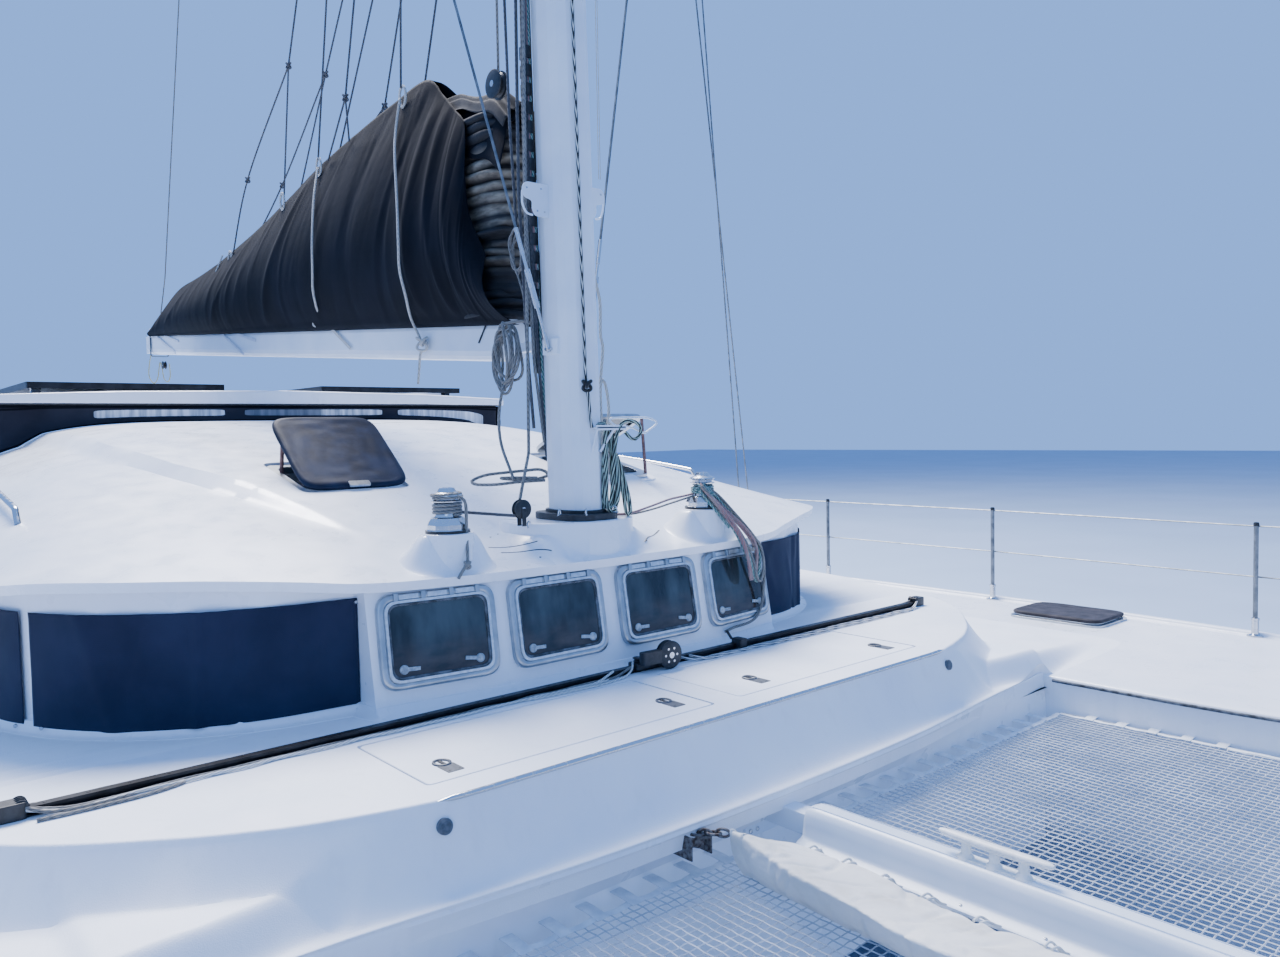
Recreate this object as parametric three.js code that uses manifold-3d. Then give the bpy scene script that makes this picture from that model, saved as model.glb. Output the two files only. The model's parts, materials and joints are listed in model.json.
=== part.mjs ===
// A cruising catamaran with a fractional sloop rig, afloat with the mainsail stowed on the boom.
// Millimetres. +X is forward, +Y is port, +Z is up. The origin is amidships, on the centre line,
// at the waterline.

import * as THREE from 'three';
import { mergeVertices } from 'three/addons/utils/BufferGeometryUtils.js';
import Module from 'manifold-3d';

const wasm = await Module();
wasm.setup();

// Driving dimensions

const SEAT_GAP = 0.3; // between pieces that touch
const MOVE_GAP = 5; // round a moving lid
const BRIDGE_HALF = 2000; // half width of the bridge deck, and the hulls' inner faces
const BRIDGE_UNDER = 720;
const SALOON_FLOOR = 950;
const COCKPIT_FLOOR = 1050;
const BRIDGE_AFT = -5000;
const NACELLE_WALL = 1900;
const SIDE_DECK = 1500;
const PLINTH_TOP = 1745;
const PLINTH_LIP = 1520;
const ROOF_AFT = -2300;
const ROOF_FRONT = 1095;
const ROOF_HALF = 2130;
const ROOF_EDGE = 2190;
const ROOF_RISE = 610;
const ROOF_THICK = 35;
const WALL_THICK = 50;
const BAY = { front: 1076, flat: 505, corner: 1018, half: 1005, z: 1992 }; // wall with the portlights
const BAY_RAKE = 0.17; // aft per unit of height
const MAST_STEP = { x: 865, z: 2343 };
const MAST_TOP = 19500;
const MAST_RAKE = 0.0209; // aft per unit of height
const MAST_HALF = { x: 140, y: 86 };
const GOOSENECK = { x: 635, z: 3076 };
const BOOM = { front: 440, aft: -5300, frontZ: 3115, rise: 0.0783, height: 190, width: 124 };
const BEAM_X = 6130; // front crossbeam
const BEAM_Z = 1400;
const BEAM_RADIUS = 110;
const NET_Z = 1335;
const NET_THICK = 8;
const LACING_GAP = 36;
const HARDTOP = { front: -2270, aft: -5250, half: 1760, under: 2920, thick: 50, crown: 45 };
const CHAINPLATE = { x: -1580, y: 3650 };
const HOUNDS_Z = 17300;
const LOWERS_Z = 11700;
const WIRE_RADIUS = 6;
const ROOF_HATCH = { x: 105, width: 480, depth: 490, thick: 24, slope: 13.3 };
const ROOF_HATCH_PLACE = {
  // centre across, height of the lid's front edge when closed, hinged aft or not, degrees open at rest
  port: { y: 860, z: 2492, aft: true, open: 37 },
  starboard: { y: 600, z: 2490, aft: false, open: 24.5 },
};
const DECK_HATCH = { aft: 1080, front: 1620, y: 3400, width: 400, top: 1540 };
const LOCKER = { aft: 1270, front: 1730, inner: 60, outer: 1180, thick: 24, floor: 1100 };
const WINCH = { x: 953, y: 655, z: 2343, height: 165 };
const RUDDER = { x: -5850, y: 2990, top: -310, bottom: -1050, stock: 30 };
const SAILDRIVE = { x: -4000, y: 3005, shaftZ: -800 };
const PROPELLER = { x: -4300, radius: 205 };
const WHEEL = { x: -2690, y: -1290, z: 1760, radius: 360 };
const DOOR = { left: 620, right: -380, travel: 750, top: 2120, lift: 12 };

const SIDES = [['port', 1], ['starboard', -1]];

// Shape helpers. Every shape is a BufferGeometry with welded positions and its faces outward.

function shape(geometry) {
  const plain = new THREE.BufferGeometry();
  plain.setAttribute('position', geometry.getAttribute('position').clone());
  if (geometry.index) plain.setIndex(geometry.index.clone());
  const welded = mergeVertices(plain, 1e-3);
  const index = welded.index.array;
  if (volume(welded) < 0) {
    for (let i = 0; i < index.length; i += 3) [index[i], index[i + 1]] = [index[i + 1], index[i]];
  }
  return welded;
}

function volume(geometry) {
  const at = geometry.getAttribute('position');
  const index = geometry.index.array;
  const [a, b, c] = [new THREE.Vector3(), new THREE.Vector3(), new THREE.Vector3()];
  let sum = 0;
  for (let i = 0; i < index.length; i += 3) {
    a.fromBufferAttribute(at, index[i]);
    b.fromBufferAttribute(at, index[i + 1]);
    c.fromBufferAttribute(at, index[i + 2]);
    sum += a.dot(b.cross(c));
  }
  return sum / 6;
}

function manifoldOf(geometry) {
  return new wasm.Manifold(new wasm.Mesh({
    numProp: 3,
    vertProperties: new Float32Array(geometry.getAttribute('position').array),
    triVerts: new Uint32Array(geometry.index.array),
  }));
}

function geometryOf(manifold) {
  const mesh = manifold.getMesh();
  const geometry = new THREE.BufferGeometry();
  geometry.setAttribute('position', new THREE.BufferAttribute(mesh.vertProperties, 3));
  geometry.setIndex(new THREE.BufferAttribute(mesh.triVerts, 1));
  return geometry;
}

function union(...parts) {
  return geometryOf(parts.map(manifoldOf).reduce((sum, part) => sum.add(part)));
}

function cut(base, ...tools) {
  return geometryOf(tools.map(manifoldOf).reduce((rest, tool) => rest.subtract(tool), manifoldOf(base)));
}

function moved(geometry, x, y, z) {
  return geometry.clone().translate(x, y, z);
}

// The starboard twin of a port shape, or the port shape itself.
function onSide(geometry, sign) {
  if (sign > 0) return geometry;
  return shape(geometry.clone().applyMatrix4(new THREE.Matrix4().makeScale(1, -1, 1)));
}

function box(x0, x1, y0, y1, z0, z1) {
  const geometry = new THREE.BoxGeometry(x1 - x0, y1 - y0, z1 - z0);
  return shape(geometry.translate((x0 + x1) / 2, (y0 + y1) / 2, (z0 + z1) / 2));
}

// A body through rings of [x, y, z] points, equal in number and even. Each end is closed by
// strips between point j and the point as far from the ring's end.
function loft(rings) {
  const count = rings[0].length;
  const triangles = [];
  for (let i = 0; i < rings.length - 1; i += 1) {
    for (let j = 0; j < count; j += 1) {
      const next = (j + 1) % count;
      const [a, b, c, d] = [i * count + j, i * count + next, (i + 1) * count + next, (i + 1) * count + j];
      triangles.push(a, b, c, a, c, d);
    }
  }
  const last = (rings.length - 1) * count;
  for (let j = 0; j < count / 2 - 1; j += 1) {
    const [a, b, c, d] = [j, j + 1, count - 2 - j, count - 1 - j];
    triangles.push(last + a, last + b, last + c, last + a, last + c, last + d);
    triangles.push(a, c, b, a, d, c);
  }
  const geometry = new THREE.BufferGeometry();
  geometry.setAttribute('position', new THREE.Float32BufferAttribute(rings.flat(2), 3));
  geometry.setIndex(triangles);
  return shape(geometry);
}

// A flat outline of [a, b] points pushed along an axis: z for plan outlines [x, y], y for side
// outlines [x, z], x for end outlines [y, z].
function prism(outline, axis, from, to) {
  const flat = new THREE.Shape(outline.map(([a, b]) => new THREE.Vector2(a, b)));
  const geometry = new THREE.ExtrudeGeometry(flat, { depth: to - from, bevelEnabled: false });
  geometry.translate(0, 0, from);
  const turn = {
    z: new THREE.Matrix4(),
    y: new THREE.Matrix4().set(1, 0, 0, 0, 0, 0, 1, 0, 0, 1, 0, 0, 0, 0, 0, 1),
    x: new THREE.Matrix4().set(0, 0, 1, 0, 1, 0, 0, 0, 0, 1, 0, 0, 0, 0, 0, 1),
  };
  return shape(geometry.applyMatrix4(turn[axis]));
}

function rod(from, to, radius, sides = 12, endRadius = radius) {
  const start = new THREE.Vector3(...from);
  const line = new THREE.Vector3(...to).sub(start);
  const geometry = new THREE.CylinderGeometry(endRadius, radius, line.length(), sides);
  geometry.translate(0, line.length() / 2, 0);
  const up = new THREE.Vector3(0, 1, 0);
  geometry.applyQuaternion(new THREE.Quaternion().setFromUnitVectors(up, line.normalize()));
  return shape(geometry.translate(start.x, start.y, start.z));
}

// Rods joined end to end, with a ball at each bend so that they are one body.
function wire(points, radius, sides = 6) {
  const parts = [];
  points.slice(1).forEach((point, i) => parts.push(rod(points[i], point, radius, sides)));
  points.slice(1, -1).forEach((point) => {
    parts.push(shape(new THREE.IcosahedronGeometry(radius * 1.15, 0).translate(...point)));
  });
  return parts.length > 1 ? union(...parts) : parts[0];
}

// A turned body about a vertical axis; the profile is [radius, height] from the axis to the axis.
function turned(profile, sides, x, y, z) {
  const points = profile.map(([r, h]) => new THREE.Vector2(r, h));
  const geometry = new THREE.LatheGeometry(points, sides);
  return shape(geometry.rotateX(Math.PI / 2).translate(x, y, z));
}

function roundedRect(half, high, radius, steps = 3) {
  const points = [];
  [[1, 1, 0], [-1, 1, 90], [-1, -1, 180], [1, -1, 270]].forEach(([sx, sy, start]) => {
    for (let k = 0; k <= steps; k += 1) {
      const angle = THREE.MathUtils.degToRad(start + (90 * k) / steps);
      points.push([
        sx * (half - radius) + radius * Math.cos(angle),
        sy * (high - radius) + radius * Math.sin(angle),
      ]);
    }
  });
  return points;
}

function lerp(a, b, t) {
  return a + (b - a) * t;
}

// Reads column `pick` of a table at `x`, with straight lines between its rows; x is column 0.
function readTable(table, x, pick) {
  const i = table.findIndex((row, k) => k > 0 && x <= row[0]);
  const [low, high] = [table[i - 1], table[i]];
  return lerp(low[pick], high[pick], (x - low[0]) / (high[0] - low[0]));
}

const FINISHES = {
  gelcoat: { color: 0xf1f3f6, roughness: 0.35, metalness: 0 },
  deckGrip: { color: 0xe4e7ea, roughness: 0.7, metalness: 0 },
  antifouling: { color: 0x1d2f4f, roughness: 0.8, metalness: 0 },
  paintedSpar: { color: 0xeceff3, roughness: 0.4, metalness: 0.1 },
  steel: { color: 0xb9bdc2, roughness: 0.3, metalness: 1 },
  anodised: { color: 0xaab0b6, roughness: 0.4, metalness: 0.9 },
  bronze: { color: 0xa07c46, roughness: 0.4, metalness: 0.9 },
  canvas: { color: 0x1b2740, roughness: 0.9, metalness: 0 },
  paleCanvas: { color: 0xd8d9d6, roughness: 0.9, metalness: 0 },
  jibCloth: { color: 0xe6e6e0, roughness: 0.85, metalness: 0 },
  net: { color: 0xd9dde0, roughness: 0.8, metalness: 0 },
  glass: { color: 0x20282c, roughness: 0.08, metalness: 0 },
  blackPlastic: { color: 0x17181a, roughness: 0.5, metalness: 0 },
};

const boat = new THREE.Group();

function piece(name, finish, geometry) {
  const material = new THREE.MeshStandardMaterial(FINISHES[finish]);
  const mesh = new THREE.Mesh(geometry, material);
  mesh.name = name;
  boat.add(mesh);
  return geometry;
}

// Hulls: solid lofts from the transom to a plumb stem, with a shoulder that carries the bridge
// deck, stern steps, a hatch well in the foredeck and the rudder stock's hole.

const HULL_STATIONS = [
  // x, keel depth, half beam at the water, centre, outer deck edge, inner deck edge, deck height
  [-6950, 130, 500, 2960, 3540, 2330, 1450],
  [-6000, 285, 570, 2990, 3640, 2120, 1480],
  [-4700, 420, 620, 3000, 3710, 2000, 1500],
  [-2500, 560, 650, 3010, 3750, 2000, 1500],
  [950, 600, 630, 3010, 3750, 2000, 1500],
  [2400, 590, 570, 2990, 3640, 2000, 1500],
  [3600, 560, 480, 2970, 3550, 2090, 1512],
  [4900, 490, 350, 2960, 3410, 2360, 1530],
  [6130, 330, 180, 2960, 3220, 2700, 1550],
  [6750, 170, 60, 2960, 3050, 2870, 1562],
  [6950, 60, 14, 2960, 2985, 2935, 1566],
];
const BILGE_STEPS = 7;

function hullRing([x, depth, half, centre, outer, inner, deck]) {
  const ring = [
    [x, outer - 30, deck],
    [x, outer, deck - 50],
    [x, lerp(centre + half, outer, 0.86), 700],
    [x, centre + half, 0],
  ];
  for (let k = 1; k < BILGE_STEPS; k += 1) {
    const angle = (Math.PI * k) / BILGE_STEPS;
    ring.push([x, centre + half * Math.cos(angle), -depth * Math.sin(angle)]);
  }
  ring.push([x, centre - half, 0]);
  ring.push([x, Math.min(centre - half * 1.08, inner + 330), 560]);
  ring.push([x, inner, 740]);
  ring.push([x, inner, deck]);
  return ring;
}

const STERN_STEPS = [
  // x, z pairs of the cut's outline, from the deck down to the bathing step
  [-5350, 1600], [-5350, 1210], [-5750, 1210], [-5750, 920], [-6130, 920],
  [-6130, 630], [-6480, 630], [-6480, 360], [-7000, 360], [-7000, 1600],
];
const STERN_SHEER = [[-5250, 1520], [-6960, 640], [-7000, 640], [-7000, 1600], [-5250, 1600]];

const hullLoft = loft(HULL_STATIONS.map(hullRing));

function hull() {
  const hatchY = DECK_HATCH.y;
  const halfWell = DECK_HATCH.width / 2;
  const coaming = box(DECK_HATCH.aft + 8, DECK_HATCH.front - 8, hatchY - halfWell + 8,
    hatchY + halfWell - 8, SIDE_DECK - 20, SIDE_DECK + 14);
  const well = box(DECK_HATCH.aft + 38, DECK_HATCH.front - 38, hatchY - halfWell + 38,
    hatchY + halfWell - 38, SIDE_DECK - 500, SIDE_DECK + 40);
  const stockHole = rod([RUDDER.x, RUDDER.y, -700], [RUDDER.x, RUDDER.y, -90], RUDDER.stock + 0.8, 24);
  return cut(
    union(hullLoft, coaming),
    well,
    stockHole,
    prism(STERN_SHEER, 'y', 1500, 4000),
    prism(STERN_STEPS, 'y', 2420, 3450),
  );
}

const KEEL_SECTIONS = [
  // z, leading edge x, trailing edge x, half thickness
  [-1200, 120, -1750, 85],
  [-1130, 220, -1800, 110],
  [-440, 380, -1950, 125],
];
const FOIL = [
  // share of the chord from the leading edge, share of the half thickness
  [0, 0.12], [0.06, 0.6], [0.28, 1], [0.62, 0.75], [1, 0.06],
];

function foilRing(z, lead, trail, half, y) {
  const near = FOIL.map(([t, w]) => [lerp(lead, trail, t), y + half * w, z]);
  const far = FOIL.map(([t, w]) => [lerp(lead, trail, t), y - half * w, z]).reverse();
  return [...near, ...far];
}

function keel() {
  const blade = loft(KEEL_SECTIONS.map(([z, lead, trail, half]) => foilRing(z, lead, trail, half, 3010)));
  return cut(blade, moved(hullLoft, 0, 0, -SEAT_GAP));
}

function rudder() {
  const { x, y, top, bottom, stock } = RUDDER;
  const blade = loft([
    foilRing(bottom, x + 90, x - 250, 22, y),
    foilRing(top - 30, x + 130, x - 330, 34, y),
  ]);
  return union(blade, rod([x, y, top - 60], [x, y, -120], stock, 16));
}

function saildrive() {
  const { x, y, shaftZ } = SAILDRIVE;
  const leg = loft([
    foilRing(shaftZ - 30, x + 90, x - 150, 38, y),
    foilRing(-380, x + 190, x - 190, 62, y),
  ]);
  const gearcase = rod([x + 150, y, shaftZ], [PROPELLER.x + 58, y, shaftZ], 62, 14);
  const nose = shape(new THREE.SphereGeometry(62, 12, 6).translate(x + 150, y, shaftZ));
  const shaft = rod([x, y, shaftZ], [PROPELLER.x + 46, y, shaftZ], 18, 12);
  return cut(union(leg, gearcase, nose, shaft), moved(hullLoft, 0, 0, -SEAT_GAP));
}

function propeller() {
  const { x, radius } = PROPELLER;
  const { y, shaftZ } = SAILDRIVE;
  const hub = rod([x + 45.5, y, shaftZ], [x - 70, y, shaftZ], 46, 16, 22);
  const blades = [0, 1, 2].map((k) => {
    const blade = shape(new THREE.SphereGeometry(1, 8, 5));
    blade.scale(9, 52, radius / 2);
    blade.translate(0, 0, radius / 2);
    blade.rotateZ(THREE.MathUtils.degToRad(52));
    blade.rotateX((k * 2 * Math.PI) / 3);
    return blade.translate(x, y, shaftZ);
  });
  return union(hub, ...blades);
}

// Bridge deck: the slab between the hulls, the cockpit floor and the cockpit's aft coaming.

const BRIDGE_EDGE = BRIDGE_HALF - SEAT_GAP;

function bridgedeck() {
  return union(
    box(BRIDGE_AFT, NACELLE_WALL, -BRIDGE_EDGE, BRIDGE_EDGE, BRIDGE_UNDER, SALOON_FLOOR),
    box(BRIDGE_AFT, ROOF_AFT + 60, -BRIDGE_EDGE, BRIDGE_EDGE, SALOON_FLOOR - 10, COCKPIT_FLOOR),
    box(BRIDGE_AFT, BRIDGE_AFT + 330, -BRIDGE_EDGE, BRIDGE_EDGE, COCKPIT_FLOOR - 10, SIDE_DECK),
  );
}

// Coachroof: the roof's crown runs forward and down, and its edge turns down towards the sides.

const VISOR = [
  // share of the half width, x of the roof's front edge
  [0, 1090], [0.25, 1082], [0.42, 1058], [0.49, 1030], [0.56, 970], [0.68, 865],
  [0.8, 740], [0.89, 560], [0.96, 300], [1, -150],
];
const ROOF_ROWS = 8;

function roofCrown(x) {
  return 2190 + ROOF_RISE * Math.sin(((Math.PI / 2) * (ROOF_FRONT - x)) / (ROOF_FRONT - ROOF_AFT));
}

function roofTop(x, share) {
  return ROOF_EDGE + (roofCrown(x) - ROOF_EDGE) * (1 - Math.abs(share) ** 5.3);
}

// The roof's outer surface pushed down by `top` and closed at `bottom` below it. A number for
// `floor` closes it there instead, for tools that cut what stands under or over the roof, and
// `reach` takes such a tool out past the roof's front edge.
function roofBody(top, bottom, floor = null, reach = 0) {
  const shares = [...VISOR.slice(1).reverse().map(([v, x]) => [-v, x]), ...VISOR];
  const rings = [];
  for (let i = 0; i <= ROOF_ROWS; i += 1) {
    const over = [];
    const under = [];
    shares.forEach(([v, front]) => {
      const x = lerp(front + reach, ROOF_AFT, i / ROOF_ROWS);
      const z = roofTop(x, v);
      over.push([x, v * ROOF_HALF, z - top]);
      under.push([x, v * ROOF_HALF, floor ?? z - bottom]);
    });
    rings.push([...over, ...under.reverse()]);
  }
  return loft(rings);
}

const roofShell = roofBody(0, ROOF_THICK);
const overRoof = roofBody(ROOF_THICK + SEAT_GAP, 0, 4200);
const overEdge = roofBody(ROOF_THICK - 6, 0, 4200, 120);
const underRoof = roofBody(-SEAT_GAP, 0, 1200);

// A sloping frame on the roof's hatch: z' stands on the roof, and x' = 0 is the hinge, with the lid
// on the side of negative x'. A hatch that is hinged aft is turned half round.
function onHatchSlope(geometry, side) {
  const { x, depth, slope } = ROOF_HATCH;
  const { y, z, aft } = ROOF_HATCH_PLACE[side];
  const placed = aft ? geometry.rotateZ(Math.PI).translate(-depth, 0, 0) : geometry;
  return shape(placed.rotateY(THREE.MathUtils.degToRad(slope)).translate(x, y, z));
}

// The hinge barrels stand on the roof, and the lid is cut round them.
const HATCH_KNUCKLES = [-150, 150];

function hatchKnuckles(radius) {
  return HATCH_KNUCKLES.map((y) => rod([0, y - 28, 0], [0, y + 28, 0], radius, 12));
}

function coachroof() {
  const { width, depth, thick } = ROOF_HATCH;
  const parts = [roofShell];
  const openings = [];
  SIDES.forEach(([side, sign]) => {
    const coaming = onHatchSlope(box(-depth + 8, -8, -width / 2 + 8, width / 2 - 8, -110, -thick - 0.5), side);
    const opening = onHatchSlope(box(-depth + 38, -38, -width / 2 + 38, width / 2 - 38, -400, 60), side);
    const knuckles = hatchKnuckles(6).map((barrel, i) => {
      const y = HATCH_KNUCKLES[i];
      return union(barrel, box(0.5, 14, y - 28, y + 28, -60, 4));
    });
    parts.push(onSide(coaming, sign), ...knuckles.map((knuckle) => onSide(onHatchSlope(knuckle, side), sign)));
    openings.push(onSide(opening, sign));
    const pod = turned([[0, -130], [170, -130], [118, -30], [98, 0], [0, 0]], 18, WINCH.x, WINCH.y, WINCH.z);
    parts.push(onSide(pod, sign));
  });
  const step = turned([[0, -150], [350, -150], [292, -45], [284, -SEAT_GAP], [0, -SEAT_GAP]], 24, 0, 0, 0);
  parts.push(moved(step, MAST_STEP.x - 65, 0, MAST_STEP.z));
  const inside = roofBody(ROOF_THICK, 0, 1900);
  const front = box(1085, 1500, -500, 500, 2000, 2600);
  return cut(union(...parts), inside, ...openings, front);
}

// Coachroof walls: a raked bay of three faces with the portlights, then round corners to the sides.

const WALL_OUTER = [
  // x, y of the port half, from aft to the bay
  [ROOF_AFT, 2065], [-400, 2035], [120, 1975], [400, 1875], [600, 1735], [770, 1540], [880, 1300],
  [930, 1015],
];
const WALL_INNER = [
  [-2900, 2065 - WALL_THICK], [-400, 1985], [105, 1925], [370, 1830], [562, 1697],
  [726, 1508], [830, 1285], [880, 1000],
];
const PORTLIGHTS = [
  // name, centre y
  ['port_outboard', 758], ['port_inboard', 260], ['starboard_inboard', -260], ['starboard_outboard', -758],
];
const PORTLIGHT = { z: 1990, half: 221, high: 165, glassHalf: 178, glassHigh: 122 };
const SIDE_WINDOW = { aft: -1950, front: -350, bottom: 1790, top: 2070 };

function mirroredOutline(outline) {
  return [...outline, ...outline.map(([x, y]) => [x, -y]).reverse()];
}

function wallSpace(outline, bay, from, to) {
  const rings = [from, to].map((z) => mirroredOutline(outline).map(([x, y]) => [x, y, z]));
  return union(loft(rings), bay);
}

// The bay from `from` to `to`, with its faces moved aft and its sides in by `thick`.
function baySpace(thick, from, to) {
  const rings = [from, to].map((z) => {
    const back = thick + (z - BAY.z) * BAY_RAKE;
    const outline = [[0, BAY.half - thick], [BAY.corner - back, BAY.half - thick], [BAY.front - back, BAY.flat]];
    return mirroredOutline(outline).map(([x, y]) => [x, y, z]);
  });
  return loft(rings);
}

function saloonSpace(from, to) {
  return wallSpace(WALL_INNER, baySpace(WALL_THICK, from, to), from, to);
}

// Puts a shape made round the origin, facing +X, on the bay's face at `y`.
function onBay(geometry, y, off = 0) {
  const side = Math.abs(y) > BAY.flat ? Math.sign(y) : 0;
  const fall = (BAY.front - BAY.corner) / (BAY.half - BAY.flat);
  const out = new THREE.Vector3(1, side * fall, BAY_RAKE).normalize();
  const across = new THREE.Vector3(-side * fall, 1, 0).normalize();
  const up = new THREE.Vector3().crossVectors(out, across);
  const drop = side ? fall * (Math.abs(y) - BAY.flat) : 0;
  const place = new THREE.Vector3(BAY.front - drop - (PORTLIGHT.z - BAY.z) * BAY_RAKE, y, PORTLIGHT.z);
  const turn = new THREE.Matrix4().makeBasis(out, across, up).setPosition(place.addScaledVector(out, off));
  return shape(geometry.clone().applyMatrix4(turn));
}

function coachroofWalls(plinth) {
  const [foot, head] = [SIDE_DECK + SEAT_GAP, 2700];
  const solid = wallSpace(WALL_OUTER, baySpace(0, foot, head), foot, head);
  const lights = PORTLIGHTS.map(([, y]) => {
    const outline = roundedRect(PORTLIGHT.glassHalf + 8, PORTLIGHT.glassHigh + 8, 60);
    return onBay(prism(outline, 'x', -300, 50), y);
  });
  const { aft, front, bottom, top } = SIDE_WINDOW;
  const windows = SIDES.map(([, sign]) => onSide(box(aft, front, 1900, 2200, bottom, top), sign));
  const under = [plinth, moved(plinth, -SEAT_GAP, 0, SEAT_GAP)];
  return cut(solid, saloonSpace(1000, 3000), overRoof, overEdge, ...under, ...lights, ...windows);
}

function portlight(y) {
  const { half, high, glassHalf, glassHigh } = PORTLIGHT;
  const plate = prism(roundedRect(half, high, 60), 'x', 0, 24);
  const recess = prism(roundedRect(glassHalf, glassHigh, 48), 'x', 10, 60);
  return onBay(cut(plate, recess), y, SEAT_GAP);
}

function sideWindow() {
  const { aft, front, bottom, top } = SIDE_WINDOW;
  const yAt = (x) => readTable(WALL_OUTER, x, 1) - 26;
  const g = SEAT_GAP;
  const ring = (x) => [
    [x, yAt(x), bottom + g], [x, yAt(x), top - g], [x, yAt(x) - 8, top - g], [x, yAt(x) - 8, bottom + g],
  ];
  return loft([aft + g, -400, front - g].map(ring));
}

// Canvas covers over the corner windows, laid round the wall.
const COVER = { aft: -180, bottom: 1782, top: 2146, thick: 7, gap: 0.4 };

function windowCover() {
  const { aft, bottom, top, thick, gap } = COVER;
  const path = [[aft, readTable(WALL_OUTER, aft, 1)], ...WALL_OUTER.filter(([x]) => x > aft)];
  const rings = path.map(([x, y], i) => {
    const [px, py] = path[Math.max(i - 1, 0)];
    const [nx, ny] = path[Math.min(i + 1, path.length - 1)];
    const out = new THREE.Vector2(py - ny, nx - px).normalize();
    const near = [x + out.x * gap, y + out.y * gap];
    const far = [x + out.x * thick, y + out.y * thick];
    return [[...near, bottom], [...near, top], [...far, top], [...far, bottom]];
  });
  return loft(rings);
}

// Foredeck plinth: the raised deck in front of the coachroof, with two lockers. It slopes out to
// a lip over the trampolines, and its sides run aft and die into the side decks.

const PLINTH = [
  // x and y at the top, x and y at the foot
  [-1500, 2700, -1500, 2790],
  [-50, 2620, -50, 2790],
  [664, 2430, 720, 2690],
  [1089, 2250, 1200, 2560],
  [1300, 2115, 1470, 2370],
  [1533, 1887, 1750, 2080],
  [1728, 1590, 1930, 1750],
  [1850, 1260, 2020, 1330],
];
const PLINTH_LEVELS = [
  // z, how far the section is from the top's outline to the foot's
  [SIDE_DECK + SEAT_GAP, 1], [PLINTH_LIP, 1], [1590, 0.62], [1680, 0.24], [PLINTH_TOP, 0],
];

function plinth() {
  const rings = PLINTH_LEVELS.map(([z, out]) => mirroredOutline(PLINTH.map(([tx, ty, fx, fy]) => [
    lerp(tx, fx, out), lerp(ty, fy, out),
  ])).map(([x, y]) => [x, y, z]));
  const nacelle = box(700, NACELLE_WALL, -BRIDGE_EDGE, BRIDGE_EDGE, SALOON_FLOOR + SEAT_GAP, SIDE_DECK + 10);
  const slope = prism([[-1600, 1520], [-500, PLINTH_TOP], [-500, 1900], [-1600, 1900]], 'y', -3000, 3000);
  const lockers = SIDES.flatMap(([, sign]) => {
    const { aft, front, inner, outer, thick, floor } = LOCKER;
    return [
      onSide(box(aft, front, inner, outer, PLINTH_TOP - thick - 0.5, PLINTH_TOP + 40), sign),
      onSide(box(aft + 30, front - 30, inner + 30, outer - 30, floor, PLINTH_TOP + 40), sign),
    ];
  });
  return cut(union(loft(rings), nacelle), saloonSpace(900, 2000), slope, ...lockers);
}

function lockerLid() {
  const { aft, front, inner, outer, thick } = LOCKER;
  const g = MOVE_GAP;
  return box(aft + g, front - g, inner + g, outer - g, PLINTH_TOP - thick, PLINTH_TOP);
}

function deckHatch() {
  const { aft, front, y, width, top } = DECK_HATCH;
  const outline = roundedRect((front - aft) / 2, width / 2, 45, 2);
  return moved(prism(outline, 'z', SIDE_DECK + 14.5, top), (aft + front) / 2, y, 0);
}

// The roof hatch's lid, turned up about its forward edge to where it stands at rest.
function roofHatch(side) {
  const { width, depth, thick } = ROOF_HATCH;
  const outline = roundedRect(depth / 2, width / 2, 55, 2);
  const whole = moved(prism(outline, 'z', -thick, 0), -depth / 2, 0, 0);
  const lid = cut(whole, ...HATCH_KNUCKLES.map((y) => rod([0, y - 29, 0], [0, y + 29, 0], 6.6, 16)));
  return onHatchSlope(lid.rotateY(THREE.MathUtils.degToRad(ROOF_HATCH_PLACE[side].open)), side);
}

// Saloon bulkhead: closes the coachroof aft, with the doorway and a fixed window to port of it.

function bulkhead() {
  const face = ROOF_AFT + SEAT_GAP;
  const lower = box(face, face + 45, -BRIDGE_EDGE, BRIDGE_EDGE, COCKPIT_FLOOR + SEAT_GAP, SIDE_DECK + 100);
  const upper = box(face, face + 45, -1995, 1995, SIDE_DECK + 50, 2900);
  const doorway = box(face - 100, face + 100, DOOR.right + 30, DOOR.left - 30, COCKPIT_FLOOR + 40, DOOR.top - 30);
  const windows = [[700, 1850], [-1850, -460]].map(([y0, y1]) => box(face - 100, face + 100, y0, y1, 1560, 2100));
  const sillTop = COCKPIT_FLOOR + DOOR.lift - SEAT_GAP;
  const sill = box(face - 50, face + 10, DOOR.right - 40, DOOR.left + DOOR.travel + 40, COCKPIT_FLOOR + SEAT_GAP, sillTop);
  return cut(union(lower, upper, sill), overRoof, doorway, ...windows);
}

function saloonDoor() {
  const face = ROOF_AFT - MOVE_GAP;
  const leaf = box(face - 30, face, DOOR.right, DOOR.left, COCKPIT_FLOOR + DOOR.lift, DOOR.top);
  const pane = box(face - 60, face - 22, DOOR.right + 70, DOOR.left - 70, COCKPIT_FLOOR + 90, DOOR.top - 90);
  return cut(leaf, pane);
}

// Windscreen and hardtop over the cockpit.

const SCREEN = [
  // x, y of the screen's outer face, from the port return to the starboard return
  [-2560, 1745], [-2360, 1745], [-2302, 1640], [-2302, -1640], [-2360, -1745], [-2560, -1745],
];

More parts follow.
